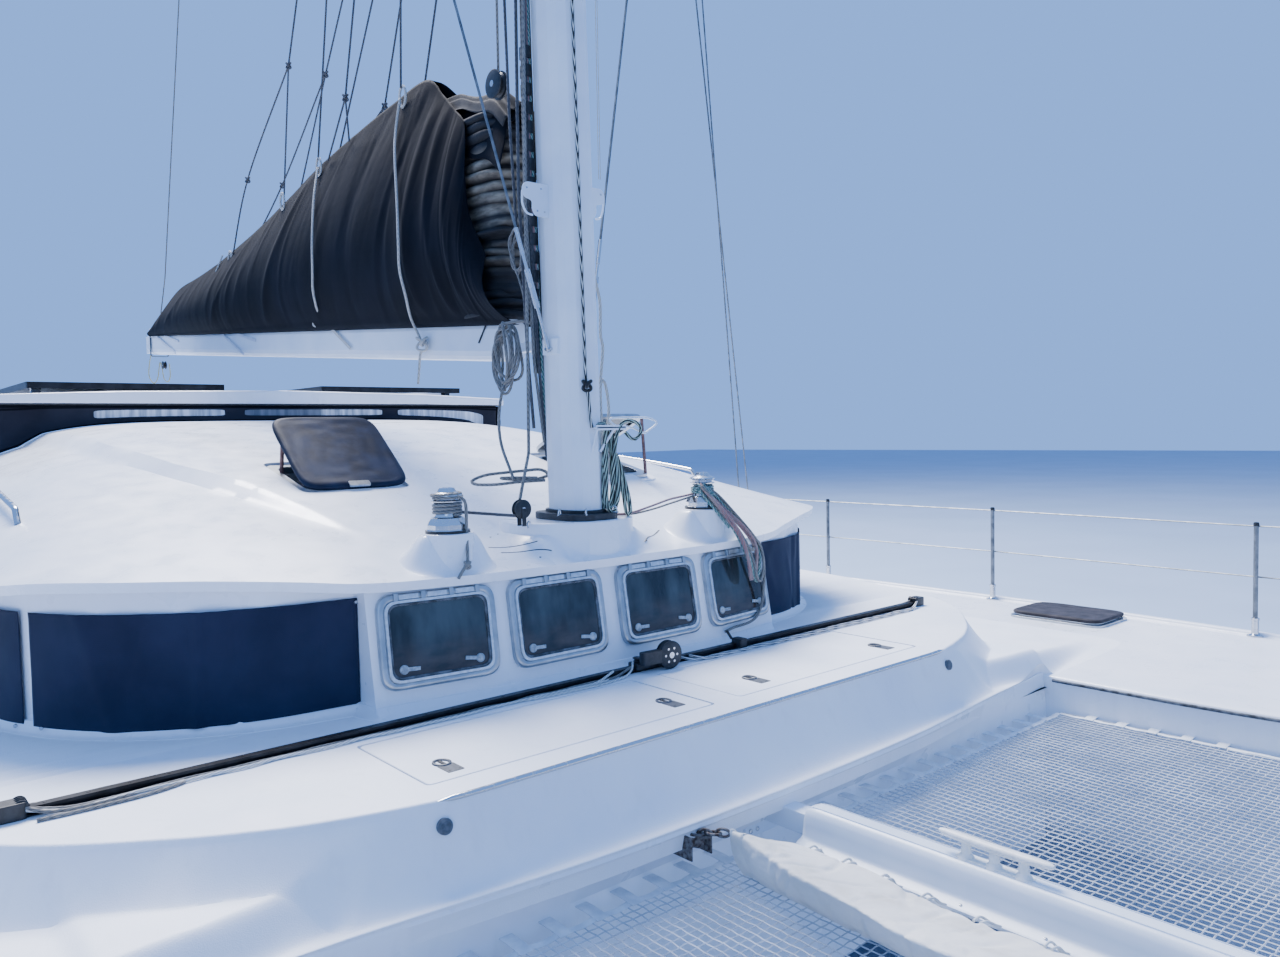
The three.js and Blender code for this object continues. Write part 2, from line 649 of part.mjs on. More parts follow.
function windscreen() {
  const inner = SCREEN.map(([x, y], i) => {
    const ends = i === 0 || i === SCREEN.length - 1;
    const side = Math.abs(y) > 1700;
    return [x - (side ? 0 : 9), y - (side || ends ? 9 * Math.sign(y) : 0)];
  }).reverse();
  const strip = prism([...SCREEN, ...inner], 'z', 2560, HARDTOP.under - SEAT_GAP);
  return cut(strip, underRoof, box(-2290, -2200, -1900, 1900, 2000, 3000));
}

function hardtop() {
  const rows = [0, 0.5, 1];
  const shares = [-1, -0.6, 0, 0.6, 1];
  const rings = rows.map((t) => {
    const x = lerp(HARDTOP.front, HARDTOP.aft, t);
    const half = HARDTOP.half - 60 * Math.abs(2 * t - 1) ** 3;
    const over = shares.map((v) => [x, v * half, HARDTOP.under + HARDTOP.thick + HARDTOP.crown * (1 - v * v)]);
    const under = shares.map((v) => [x, v * half, HARDTOP.under]).reverse();
    return [...over, ...under];
  });
  return loft(rings);
}

function hardtopFrame() {
  const tubeRadius = 20;
  const railZ = HARDTOP.under - tubeRadius - SEAT_GAP;
  const parts = [];
  const ends = [[-2450, 1680], [-4830, 1680]];
  SIDES.forEach(([, sign]) => {
    const [front, aft] = ends;
    parts.push(rod([front[0] + 40, sign * front[1], railZ], [aft[0] - 300, sign * aft[1], railZ], tubeRadius, 8));
    parts.push(rod([front[0], sign * front[1], COCKPIT_FLOOR + SEAT_GAP], [front[0], sign * front[1], railZ], tubeRadius, 8));
    parts.push(rod([aft[0], sign * aft[1], SIDE_DECK + SEAT_GAP], [aft[0], sign * aft[1], railZ], tubeRadius, 8));
  });
  ends.forEach(([x, y]) => parts.push(rod([x, -y, railZ], [x, y, railZ], tubeRadius, 8)));
  return union(...parts);
}

const PANEL = { aft: -4150, front: -2480, inner: 330, outer: 1430, thick: 35 };

function solarPanel() {
  const { aft, front, inner, outer, thick } = PANEL;
  const z = HARDTOP.under + HARDTOP.thick + HARDTOP.crown;
  const panel = box(aft, front, inner, outer, z + 4, z + 4 + thick);
  const feet = [[aft + 120, inner + 60], [aft + 120, outer - 60], [front - 120, inner + 60], [front - 120, outer - 60]];
  const foot = ([x, y]) => box(x - 25, x + 25, y - 25, y + 25, z - 60, z + 10);
  return cut(union(panel, ...feet.map(foot)), moved(hardtop(), 0, 0, SEAT_GAP));
}

// Rig: mast with two pairs of spreaders and diamond stays, shrouds, furled jib, boom, sail bag.

const MAST_SIDES = 16;

function mastX(z) {
  return MAST_STEP.x - (z - MAST_STEP.z) * MAST_RAKE;
}

function mastRing(z, scale) {
  const ring = [];
  for (let k = 0; k < MAST_SIDES; k += 1) {
    const angle = (2 * Math.PI * (k + 0.5)) / MAST_SIDES;
    const c = Math.cos(angle);
    const s = Math.sin(angle);
    ring.push([
      mastX(z) + scale * MAST_HALF.x * Math.sign(c) * Math.abs(c) ** 0.85,
      scale * MAST_HALF.y * Math.sign(s) * Math.abs(s) ** 0.85,
      z,
    ]);
  }
  return ring;
}

const SPREADERS = [
  // z, reach to the side, sweep aft
  [8700, 1430, 410],
  [13200, 1090, 300],
];
const SPREADER_TIP = 20;
const STAY_PLATE = { z: 3052, half: 32, out: 96 };

function mast() {
  const parts = [loft([mastRing(MAST_STEP.z + 5, 1), mastRing(17400, 1), mastRing(MAST_TOP, 0.66)])];
  SIDES.forEach(([, sign]) => {
    SPREADERS.forEach(([z, reach, sweep]) => {
      parts.push(rod([mastX(z) + 20, 0, z - 30], [mastX(z) - sweep, sign * reach, z], 42, 8, SPREADER_TIP));
    });
    const { z, half, out } = STAY_PLATE;
    parts.push(onSide(box(mastX(z) - 60, mastX(z) + 40, 60, out, z - half, z + half), sign));
  });
  const lugs = [[GOOSENECK.z + 22, GOOSENECK.z + 36], [GOOSENECK.z - 36, GOOSENECK.z - 22]];
  lugs.forEach(([z0, z1]) => {
    const plate = box(GOOSENECK.x, mastX(GOOSENECK.z) - 80, -31, 31, z0, z1);
    parts.push(union(plate, rod([GOOSENECK.x, 0, z0], [GOOSENECK.x, 0, z1], 38, 16)));
  });
  parts.push(rod([GOOSENECK.x, 0, GOOSENECK.z - 30], [GOOSENECK.x, 0, GOOSENECK.z + 30], 11, 12));
  const collar = prism(roundedRect(MAST_HALF.x + 36, MAST_HALF.y + 40, 120, 4), 'z', MAST_STEP.z, MAST_STEP.z + 22);
  parts.push(moved(collar, MAST_STEP.x, 0, 0));
  return union(...parts);
}

function diamondStay() {
  const clear = WIRE_RADIUS + 1;
  const tips = SPREADERS.map(([z, reach, sweep]) => [mastX(z) - sweep, reach + SPREADER_TIP + clear - 8, z]);
  const foot = [mastX(STAY_PLATE.z) - 10, STAY_PLATE.out + clear - 0.4, STAY_PLATE.z - 10];
  const head = [mastX(HOUNDS_Z) - 20, MAST_HALF.y + clear, HOUNDS_Z - 60];
  return wire([foot, ...tips, head], WIRE_RADIUS);
}

function boomZ(x) {
  return BOOM.frontZ + (BOOM.front - x) * BOOM.rise;
}

function boom() {
  const outline = roundedRect(BOOM.width / 2, BOOM.height / 2, 46, 3);
  const ring = (x) => outline.map(([y, z]) => [x, y, z + boomZ(x)]);
  const spar = loft([ring(BOOM.aft), ring(BOOM.front)]);
  const cap = box(BOOM.aft - 60, BOOM.aft + 10, -66, 66, boomZ(BOOM.aft) - 85, boomZ(BOOM.aft) + 60);
  const eye = rod([GOOSENECK.x, 0, GOOSENECK.z - 20], [GOOSENECK.x, 0, GOOSENECK.z + 20], 30, 16);
  const tongue = box(BOOM.front - 40, GOOSENECK.x, -26, 26, GOOSENECK.z - 20, GOOSENECK.z + 20);
  const hole = rod([GOOSENECK.x, 0, GOOSENECK.z - 60], [GOOSENECK.x, 0, GOOSENECK.z + 60], 12, 16);
  return cut(union(spar, cap, tongue, eye), hole);
}

const SAIL_BAG = [
  // x, height above the boom, half width low down, half width near the top
  [520, 830, 120, 70],
  [120, 1010, 190, 90],
  [-220, 1180, 205, 60],
  [-1600, 950, 200, 36],
  [-3490, 520, 165, 30],
  [-5150, 80, 80, 30],
];

function sailBag() {
  const rings = SAIL_BAG.map(([x, tall, low, high]) => {
    const z = boomZ(x) + BOOM.height / 2 + SEAT_GAP;
    const base = Math.min(BOOM.width / 2 - 4, low);
    const half = [[base, 0], [low, tall * 0.28], [lerp(low, high, 0.45), tall * 0.66], [high, tall * 0.97]];
    return [
      ...half.map(([y, h]) => [x, y, z + h]),
      ...half.map(([y, h]) => [x, -y, z + h]).reverse(),
    ];
  });
  return loft(rings.reverse());
}

function capShroud() {
  const foot = [CHAINPLATE.x, CHAINPLATE.y, SIDE_DECK + 60];
  const head = [mastX(HOUNDS_Z) - 60, MAST_HALF.y + WIRE_RADIUS + 2, HOUNDS_Z];
  return union(
    rod(foot, head, WIRE_RADIUS, 6),
    rod(foot, [lerp(foot[0], head[0], 0.03), lerp(foot[1], head[1], 0.03), lerp(foot[2], head[2], 0.03)], 14, 8),
    box(CHAINPLATE.x - 10, CHAINPLATE.x + 60, CHAINPLATE.y - 10, CHAINPLATE.y + 10, SIDE_DECK + SEAT_GAP, SIDE_DECK + 90),
  );
}

function lowerShroud() {
  const foot = [CHAINPLATE.x + 130, CHAINPLATE.y, SIDE_DECK + 60];
  const head = [mastX(LOWERS_Z) - 60, MAST_HALF.y + WIRE_RADIUS + 2, LOWERS_Z];
  return union(
    rod(foot, head, WIRE_RADIUS, 6),
    rod(foot, [lerp(foot[0], head[0], 0.045), lerp(foot[1], head[1], 0.045), lerp(foot[2], head[2], 0.045)], 14, 8),
    box(foot[0] - 30, foot[0] + 30, CHAINPLATE.y - 10, CHAINPLATE.y + 10, SIDE_DECK + SEAT_GAP, SIDE_DECK + 90),
  );
}

const STRIKER_TOP = 1790;
const JIB_PROFILE = [
  // radius, share of the way up the stay: the furling drum, the rolled sail, the bare stay
  [0, 0], [14, 0], [14, 0.006], [105, 0.0062], [105, 0.02], [14, 0.0202], [14, 0.03], [92, 0.034],
  [84, 0.25], [62, 0.5], [44, 0.75], [30, 0.93], [12, 0.932], [12, 1], [0, 1],
];

function furledJib() {
  const foot = [BEAM_X, 0, STRIKER_TOP + 22];
  const head = [mastX(HOUNDS_Z) + MAST_HALF.x + 9, 0, HOUNDS_Z];
  const start = new THREE.Vector3(...foot);
  const line = new THREE.Vector3(...head).sub(start);
  const points = JIB_PROFILE.map(([r, t]) => new THREE.Vector2(r, t * line.length()));
  const geometry = new THREE.LatheGeometry(points, 12);
  const up = new THREE.Vector3(0, 1, 0);
  geometry.applyQuaternion(new THREE.Quaternion().setFromUnitVectors(up, line.clone().normalize()));
  const roll = shape(geometry.translate(...foot));
  return union(roll, rod([foot[0], -25, foot[2] - 8], [foot[0], 25, foot[2] - 8], 14, 10));
}

// Foredeck: crossbeam with its striker, centre beam with a mooring cleat, trampolines.

function crossbeam() {
  const ends = [[BEAM_X, -2900, BEAM_Z], [BEAM_X, 2900, BEAM_Z]];
  const post = rod([BEAM_X, 0, BEAM_Z], [BEAM_X, 0, STRIKER_TOP], 30, 12);
  const stays = SIDES.map(([, sign]) => rod([BEAM_X, sign * 2450, BEAM_Z + 60], [BEAM_X, 0, STRIKER_TOP - 14], 8, 6));
  const spar = union(rod(ends[0], ends[1], BEAM_RADIUS, 20), post, ...stays);
  return cut(spar, moved(hullLoft, 0, -SEAT_GAP, 0), moved(onSide(hullLoft, -1), 0, SEAT_GAP, 0));
}

const CENTRE_BEAM = { start: 2100, top: 1480, foot: 1372 };
const CLEAT = { x: 2730, length: 335, z: 1530 };

function centreBeam(beam) {
  const { start, top, foot } = CENTRE_BEAM;
  const section = [
    // y, z of the half section, from the flange up
    [100, foot], [100, foot + 14], [62, foot + 24], [42, top], [14, top], [14, top - 18],
  ];
  const ring = (x) => [...section, ...section.map(([y, z]) => [-y, z]).reverse()].map(([y, z]) => [x, y, z]);
  const bracket = box(NACELLE_WALL + SEAT_GAP, start + 60, -36, 36, foot + 4, foot + 78);
  const plate = box(NACELLE_WALL + SEAT_GAP, NACELLE_WALL + 14, -120, 120, foot - 40, foot + 120);
  const feet = [-85, 0, 85].map((dx) => rod([CLEAT.x + dx, 0, top - 30], [CLEAT.x + dx, 0, CLEAT.z], 15, 10));
  const horns = rod([CLEAT.x - CLEAT.length / 2, 0, CLEAT.z], [CLEAT.x + CLEAT.length / 2, 0, CLEAT.z], 15, 10);
  return cut(
    union(loft([ring(start), ring(BEAM_X)]), bracket, plate, ...feet, horns),
    moved(beam, -SEAT_GAP, 0, 0),
    box(BEAM_X - 20, BEAM_X + 300, -200, 200, 1000, 2000),
  );
}

function trampoline() {
  const aft = NACELLE_WALL + LACING_GAP;
  const fore = BEAM_X - BEAM_RADIUS - LACING_GAP;
  const inner = 100 + LACING_GAP;
  const edge = (x) => readTable(HULL_STATIONS, x, 5) - LACING_GAP;
  const stations = [aft, 2400, 3600, 4900, fore];
  const ring = (x) => [
    [x, inner, NET_Z], [x, inner, NET_Z + NET_THICK], [x, edge(x), NET_Z + NET_THICK], [x, edge(x), NET_Z],
  ];
  const parts = [loft(stations.map(ring))];
  const half = 7;
  for (let x = 2250; x < 5900; x += 600) {
    parts.push(box(x - half, x + half, edge(x) - 20, readTable(HULL_STATIONS, x - half, 5) - SEAT_GAP, NET_Z, NET_Z + NET_THICK));
  }
  [500, 1100, 1700].forEach((y) => {
    parts.push(box(NACELLE_WALL + SEAT_GAP, aft + 20, y - half, y + half, NET_Z, NET_Z + NET_THICK));
  });
  return union(...parts);
}

const CANVAS_BAG = [
  // x, centre y, half width, height
  [2090, -330, 150, 90], [2300, -345, 225, 165], [2900, -370, 235, 175], [3700, -385, 220, 160], [4050, -390, 150, 80],
];

function canvasBag() {
  const z = NET_Z + NET_THICK + SEAT_GAP;
  const rings = CANVAS_BAG.map(([x, y, half, tall]) => [
    [x, y + half * 0.8, z], [x, y + half, z + tall * 0.4], [x, y + half * 0.6, z + tall],
    [x, y - half * 0.6, z + tall], [x, y - half, z + tall * 0.4], [x, y - half * 0.8, z],
  ]);
  return loft(rings);
}

const TRACK = { x: 1190, port: 2020, starboard: -2090, top: 1787 };

function jibTrack() {
  const { x, port, starboard, top } = TRACK;
  const z = PLINTH_TOP + SEAT_GAP;
  return union(
    box(x - 16, x + 16, starboard, port, z, top),
    box(x - 30, x + 30, port - 60, port + 20, z, top + 14),
    box(x - 30, x + 30, starboard - 20, starboard + 60, z, top + 14),
    box(x - 34, x + 34, 90, 230, top - 10, top + 26),
    rod([x - 22, 160, top + 66], [x + 22, 160, top + 66], 52, 16),
  );
}

const WINCH_PROFILE = [
  // radius, height
  [0, SEAT_GAP], [78, SEAT_GAP], [78, 30], [66, 62], [50, 74], [44, 96], [52, 128], [56, 134], [56, 150],
  [30, 158], [26, WINCH.height], [0, WINCH.height],
];

// Guardrail: stanchions on the toe rail, two wires and the pulpit's rail at the bow.

const STANCHIONS = [-4700, -2700, -700, 700, 2310, 3900, 5300, 6600];
const RAIL = { top: 610, middle: 330, inset: 70 };

function railPoint(x, height) {
  return [x, readTable(HULL_STATIONS, x, 4) - RAIL.inset, readTable(HULL_STATIONS, x, 6) + height];
}

function guardrail() {
  const parts = STANCHIONS.map((x) => {
    const foot = railPoint(x, 0);
    const top = railPoint(x, RAIL.top + 12);
    return rod([foot[0], foot[1], foot[2] - 20], top, 12.5, 6);
  });
  [RAIL.top, RAIL.middle].forEach((height) => {
    STANCHIONS.slice(1).forEach((x, i) => {
      parts.push(rod(railPoint(STANCHIONS[i], height), railPoint(x, height), 4, 4));
    });
  });
  return cut(union(...parts), moved(hullLoft, 0, 0, SEAT_GAP));
}

// Cockpit: bench, table, helm console and steering wheel.

function bench() {
  const z = COCKPIT_FLOOR + SEAT_GAP;
  const seat = COCKPIT_FLOOR + 420;
  const aft = BRIDGE_AFT + 330 + SEAT_GAP;
  return union(
    box(aft, -2900, 1420, BRIDGE_EDGE - SEAT_GAP, z, seat),
    box(aft, aft + 560, -1000, 1500, z, seat),
  );
}

function table() {
  const z = COCKPIT_FLOOR + SEAT_GAP;
  return union(
    moved(prism(roundedRect(520, 360, 60), 'z', 1755, 1785), -3420, 780, 0),
    rod([-3420, 780, z], [-3420, 780, 1760], 50, 14),
    rod([-3420, 780, z], [-3420, 780, z + 14], 150, 16),
  );
}

function helmConsole() {
  const z = COCKPIT_FLOOR + SEAT_GAP;
  const { x, y } = WHEEL;
  const side = [[x + 75, z], [-2330, z], [-2330, 1980], [x + 150, 1980], [x + 75, 1880]];
  const stand = prism(side, 'y', y - 260, y + 260);
  return union(stand, rod([x + 80, y, WHEEL.z], [x + 12, y, WHEEL.z], 26, 16));
}

function helmSeat() {
  const z = COCKPIT_FLOOR + SEAT_GAP;
  return union(
    box(-3650, -3250, -1740, -840, z, COCKPIT_FLOOR + 620),
    box(-3720, -3640, -1740, -840, z, COCKPIT_FLOOR + 980),
  );
}

function steeringWheel() {
  const { x, y, z, radius } = WHEEL;
  const rim = shape(new THREE.TorusGeometry(radius, 14, 6, 24).rotateY(Math.PI / 2).translate(x - 40, y, z));
  const hub = rod([x + 11.5, y, z], [x - 60, y, z], 48, 16, 30);
  const spokes = [0, 1, 2, 3, 4].map((k) => {
    const angle = Math.PI / 2 + (k * 2 * Math.PI) / 5;
    const tip = [x - 40, y + radius * Math.cos(angle), z + radius * Math.sin(angle)];
    return rod([x - 35, y, z], tip, 8, 6);
  });
  return union(rim, hub, ...spokes);
}

// Assembly

const plinthShape = plinth();
const beamShape = crossbeam();

SIDES.forEach(([side, sign]) => {
  piece(`hull_${side}`, 'gelcoat', onSide(hull(), sign));
  piece(`keel_${side}`, 'antifouling', onSide(keel(), sign));
  piece(`rudder_${side}`, 'antifouling', onSide(rudder(), sign));
  piece(`saildrive_${side}`, 'antifouling', onSide(saildrive(), sign));
  piece(`propeller_${side}`, 'bronze', onSide(propeller(), sign));
  piece(`deck_hatch_${side}`, 'blackPlastic', onSide(deckHatch(), sign));
  piece(`locker_lid_${side}`, 'deckGrip', onSide(lockerLid(), sign));
  piece(`roof_hatch_${side}`, 'blackPlastic', onSide(roofHatch(side), sign));
  piece(`side_window_${side}`, 'glass', onSide(sideWindow(), sign));
  piece(`window_cover_${side}`, 'canvas', onSide(windowCover(), sign));
  piece(`solar_panel_${side}`, 'glass', onSide(solarPanel(), sign));
  piece(`cap_shroud_${side}`, 'steel', onSide(capShroud(), sign));
  piece(`lower_shroud_${side}`, 'steel', onSide(lowerShroud(), sign));
  piece(`diamond_stay_${side}`, 'steel', onSide(diamondStay(), sign));
  piece(`trampoline_${side}`, 'net', onSide(trampoline(), sign));
  piece(`guardrail_${side}`, 'steel', onSide(guardrail(), sign));
  piece(`winch_${side}`, 'steel', onSide(turned(WINCH_PROFILE, 20, WINCH.x, WINCH.y, WINCH.z), sign));
});

PORTLIGHTS.forEach(([name, y]) => piece(`portlight_${name}`, 'anodised', portlight(y)));

piece('bridgedeck', 'gelcoat', bridgedeck());
piece('foredeck_plinth', 'gelcoat', plinthShape);
piece('coachroof_walls', 'gelcoat', coachroofWalls(plinthShape));
piece('coachroof', 'gelcoat', coachroof());
piece('saloon_bulkhead', 'gelcoat', bulkhead());
piece('saloon_door', 'glass', saloonDoor());
piece('windscreen', 'canvas', windscreen());
piece('hardtop', 'gelcoat', hardtop());
piece('hardtop_frame', 'steel', hardtopFrame());
piece('mast', 'paintedSpar', mast());
piece('furled_jib', 'jibCloth', furledJib());
piece('boom', 'paintedSpar', boom());
piece('sail_bag', 'canvas', sailBag());
piece('front_crossbeam', 'paintedSpar', beamShape);
piece('centre_beam', 'paintedSpar', centreBeam(beamShape));
piece('canvas_bag', 'paleCanvas', canvasBag());
piece('jib_track', 'blackPlastic', jibTrack());
piece('cockpit_bench', 'gelcoat', bench());
piece('cockpit_table', 'gelcoat', table());
piece('helm_console', 'gelcoat', helmConsole());
piece('helm_seat', 'gelcoat', helmSeat());
piece('steering_wheel', 'steel', steeringWheel());

export default boat;
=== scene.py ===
# %% [markdown]
# # A cruising catamaran, dressed in Blender
# This script puts the looks on a catamaran that was first drawn as solids. The solids come in as
# a fixed frame: they say where every piece is and how it moves. Here each visible surface gets
# its fine shape and its finish. The photograph was taken standing on the foredeck, so the
# coachroof, the nets, the mast foot and the stowed mainsail are seen from a few metres away.

# %% Load the frame
import json
import math
import bmesh
import bpy
import numpy as np
from mathutils import Matrix, Vector

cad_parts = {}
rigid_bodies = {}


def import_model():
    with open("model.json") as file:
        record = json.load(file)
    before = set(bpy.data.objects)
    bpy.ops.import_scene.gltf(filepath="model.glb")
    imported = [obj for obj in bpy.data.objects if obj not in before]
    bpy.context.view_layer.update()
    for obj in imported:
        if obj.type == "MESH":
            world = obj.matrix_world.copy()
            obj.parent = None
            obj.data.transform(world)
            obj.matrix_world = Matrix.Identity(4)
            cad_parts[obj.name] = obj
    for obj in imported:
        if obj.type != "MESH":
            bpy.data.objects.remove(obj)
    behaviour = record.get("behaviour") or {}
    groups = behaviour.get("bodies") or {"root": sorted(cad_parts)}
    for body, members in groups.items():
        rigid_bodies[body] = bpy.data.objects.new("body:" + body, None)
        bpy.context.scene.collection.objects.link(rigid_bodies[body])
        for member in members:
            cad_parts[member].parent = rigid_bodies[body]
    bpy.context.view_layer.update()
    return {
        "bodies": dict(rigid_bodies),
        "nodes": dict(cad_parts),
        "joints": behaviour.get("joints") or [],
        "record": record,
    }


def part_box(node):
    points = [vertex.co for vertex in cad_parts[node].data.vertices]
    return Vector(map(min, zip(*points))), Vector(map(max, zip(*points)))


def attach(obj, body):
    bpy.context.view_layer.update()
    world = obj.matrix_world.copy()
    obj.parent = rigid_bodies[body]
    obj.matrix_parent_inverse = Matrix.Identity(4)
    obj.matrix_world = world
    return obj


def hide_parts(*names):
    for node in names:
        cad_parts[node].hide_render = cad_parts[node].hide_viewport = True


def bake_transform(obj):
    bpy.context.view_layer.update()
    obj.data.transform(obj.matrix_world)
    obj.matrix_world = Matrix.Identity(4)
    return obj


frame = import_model()

# %% [markdown]
# ## Camera
# The place and the direction of the camera were solved from straight things in the photograph:
# the sheet track, the four windows and the edge of the hull. A camera is easy to get wrong by
# dragging it about, so it is set here from its yaw, pitch and roll as plain numbers.

# %% Camera
CAMERA_PLACE = (4.061, -2.415, 2.70)
CAMERA_YAW = math.radians(40.941)  # from straight aft towards port
CAMERA_PITCH = math.radians(2.837)  # downwards
CAMERA_ROLL = math.radians(-1.1486)
CAMERA_LENS = 27.0  # mm on a 36 mm sensor, as wide as the picture

forward = Vector((
    -math.cos(CAMERA_YAW) * math.cos(CAMERA_PITCH),
    math.sin(CAMERA_YAW) * math.cos(CAMERA_PITCH),
    -math.sin(CAMERA_PITCH),
))
level = Vector((math.sin(CAMERA_YAW), math.cos(CAMERA_YAW), 0.0))
upright = level.cross(forward)
right = level * math.cos(CAMERA_ROLL) + upright * math.sin(CAMERA_ROLL)
up = -level * math.sin(CAMERA_ROLL) + upright * math.cos(CAMERA_ROLL)

camera_data = bpy.data.cameras.new("camera")
camera_data.sensor_width = 36.0
camera_data.lens = CAMERA_LENS
camera_data.clip_start = 0.05
camera_data.clip_end = 400.0
camera = bpy.data.objects.new("camera", camera_data)
bpy.context.scene.collection.objects.link(camera)
turn = Matrix((right, up, -forward)).transposed().to_4x4()
camera.matrix_world = Matrix.Translation(CAMERA_PLACE) @ turn
bpy.context.scene.camera = camera
print("camera looks along", [round(v, 3) for v in forward])

# %% [markdown]
# ## Shapes as arrays
# Every new piece is a surface worked out with numpy. A shape here is a pair: an array of points
# and a list of face arrays. Blender's own primitives would be quicker to place, but a function
# of two parameters gives the true curve, and its resolution is one number.

# %% Tools for shapes
SIDES = (("port", 1.0), ("starboard", -1.0))


def grid_faces(rows, cols, close_rows=False, close_cols=False):
    """Quads of a grid of rows x cols points, as indices; a closed way joins its end to its start."""
    r = np.arange(rows if close_rows else rows - 1)[:, None]
    c = np.arange(cols if close_cols else cols - 1)[None, :]
    r2, c2 = (r + 1) % rows, (c + 1) % cols
    quads = np.stack([r * cols + c, r * cols + c2, r2 * cols + c2, r2 * cols + c], axis=-1)
    return quads.reshape(-1, 4)


def loft(rings, caps=True, closed=True):
    """A skin over rings of points (n, m, 3), each ring closed on itself; the ends are capped."""
    n, m, _ = rings.shape
    faces = [grid_faces(n, m, close_cols=closed)]
    if caps:
        faces += [np.arange(m)[None, ::-1], np.arange((n - 1) * m, n * m)[None, :]]
    return rings.reshape(-1, 3), faces


def hollow(rings):
    """A ring of rings: the last one is joined back to the first, as on a frame."""
    n, m, _ = rings.shape
    return rings.reshape(-1, 3), [grid_faces(n, m, close_rows=True, close_cols=True)]


def dish(rings):
    """A skin that starts at a small first ring, which is closed, and ends in an open edge."""
    n, m, _ = rings.shape
    return rings.reshape(-1, 3), [grid_faces(n, m, close_cols=True), np.arange(m)[None, :]]


def sheet_of(rows):
    """A single layer of cloth from a grid of points."""
    return rows.reshape(-1, 3), [grid_faces(*rows.shape[:2])]


def join(shapes):
    """Several shapes as one: points are stacked and each face index is moved along by its start."""
    points, faces, start = [], [], 0
    for part_points, part_faces in shapes:
        points.append(part_points)
        faces += [f + start for f in part_faces]
        start += len(part_points)
    return np.concatenate(points), faces


def mirror(shape):
    """The starboard twin of a port shape: y changes sign and each face is walked the other way."""
    points, faces = shape
    return points * (1.0, -1.0, 1.0), [f[:, ::-1] for f in faces]


def on_side(shape, sign):
    return shape if sign > 0 else mirror(shape)


def both_sides(shape):
    return join([on_side(shape, sign) for _, sign in SIDES])


def at_height(outline, z):
    """A flat outline (n, 2) as points at height z."""
    return np.column_stack([outline, np.full(len(outline), z)])


def at_x(outline, x):
    """A flat outline of (y, z) as points at x."""
    return np.column_stack([np.full(len(outline), x), outline])


def shift(shape, x, y, z):
    return shape[0] + (x, y, z), shape[1]


def rotate(shape, axis, degrees, centre=(0.0, 0.0, 0.0)):
    """The shape turned about a line through centre along the axis x, y or z."""
    a = math.radians(degrees)
    i, j = {"x": (1, 2), "y": (2, 0), "z": (0, 1)}[axis]
    turned = np.eye(3)
    turned[i, i] = turned[j, j] = math.cos(a)
    turned[i, j], turned[j, i] = -math.sin(a), math.sin(a)
    return (shape[0] - centre) @ turned.T + centre, shape[1]


def cubic(a, b, c, d, u):
    """Catmull-Rom: the cubic from b to c whose slopes there are half of a to c and of b to d."""
    return 0.5 * (2 * b + (c - a) * u + (2 * a - 5 * b + 4 * c - d) * u ** 2
                  + (3 * b - a - 3 * c + d) * u ** 3)


def spline(points, count):
    """A smooth curve through the points: Catmull-Rom cubics, read at evenly spaced parameters."""
    p = np.asarray(points, float)
    p = np.concatenate([[2 * p[0] - p[1]], p, [2 * p[-1] - p[-2]]])
    t = np.linspace(0, len(p) - 3 - 1e-9, count)
    i = t.astype(int)
    return cubic(p[i], p[i + 1], p[i + 2], p[i + 3], (t - i)[:, None])


def closed_spline(points, count):
    """The same cubics through points that go round in a ring, the last point short of the first."""
    p = np.asarray(points, float)
    t = np.linspace(0, len(p), count, endpoint=False)
    i = t.astype(int)
    return cubic(*[p[(i + k) % len(p)] for k in (-1, 0, 1, 2)], (t % 1)[:, None])


def even(points, step):
    """The same line with points a step apart along it."""
    points = np.asarray(points, float)
    run = np.concatenate([[0], np.cumsum(np.linalg.norm(np.diff(points, axis=0), axis=1))])
    at = np.linspace(0, run[-1], max(2, int(round(run[-1] / step)) + 1))
    return np.stack([np.interp(at, run, points[:, k]) for k in range(points.shape[1])], axis=1)


def smooth_read(x, xs, ys):
    """Reads a table with a monotone cubic: slopes are harmonic means, so it never overshoots."""
    xs, ys = np.asarray(xs, float), np.asarray(ys, float)
    h, d = np.diff(xs), np.diff(ys) / np.diff(xs)
    same = d[:-1] * d[1:] > 0
    m = np.zeros(len(xs))
    w = 3 * (h[:-1] + h[1:])
    safe = np.where(same, d[:-1] * d[1:], 1.0)
    m[1:-1] = np.where(same, w * safe / ((2 * h[1:] + h[:-1]) * d[1:] + (h[1:] + 2 * h[:-1]) * d[:-1]
                                         + np.where(same, 0, 1)), 0)
    m[0], m[-1] = d[0], d[-1]
    i = np.clip(np.searchsorted(xs, x) - 1, 0, len(h) - 1)
    t = (np.clip(x, xs[0], xs[-1]) - xs[i]) / h[i]
    return ((2 * t ** 3 - 3 * t ** 2 + 1) * ys[i] + (t ** 3 - 2 * t ** 2 + t) * h[i] * m[i]
            + (3 * t ** 2 - 2 * t ** 3) * ys[i + 1] + (t ** 3 - t ** 2) * h[i] * m[i + 1])


def ease(t):
    """0 to 1 with level ends: 3 t squared less 2 t cubed."""
    t = np.clip(t, 0, 1)
    return t * t * (3 - 2 * t)


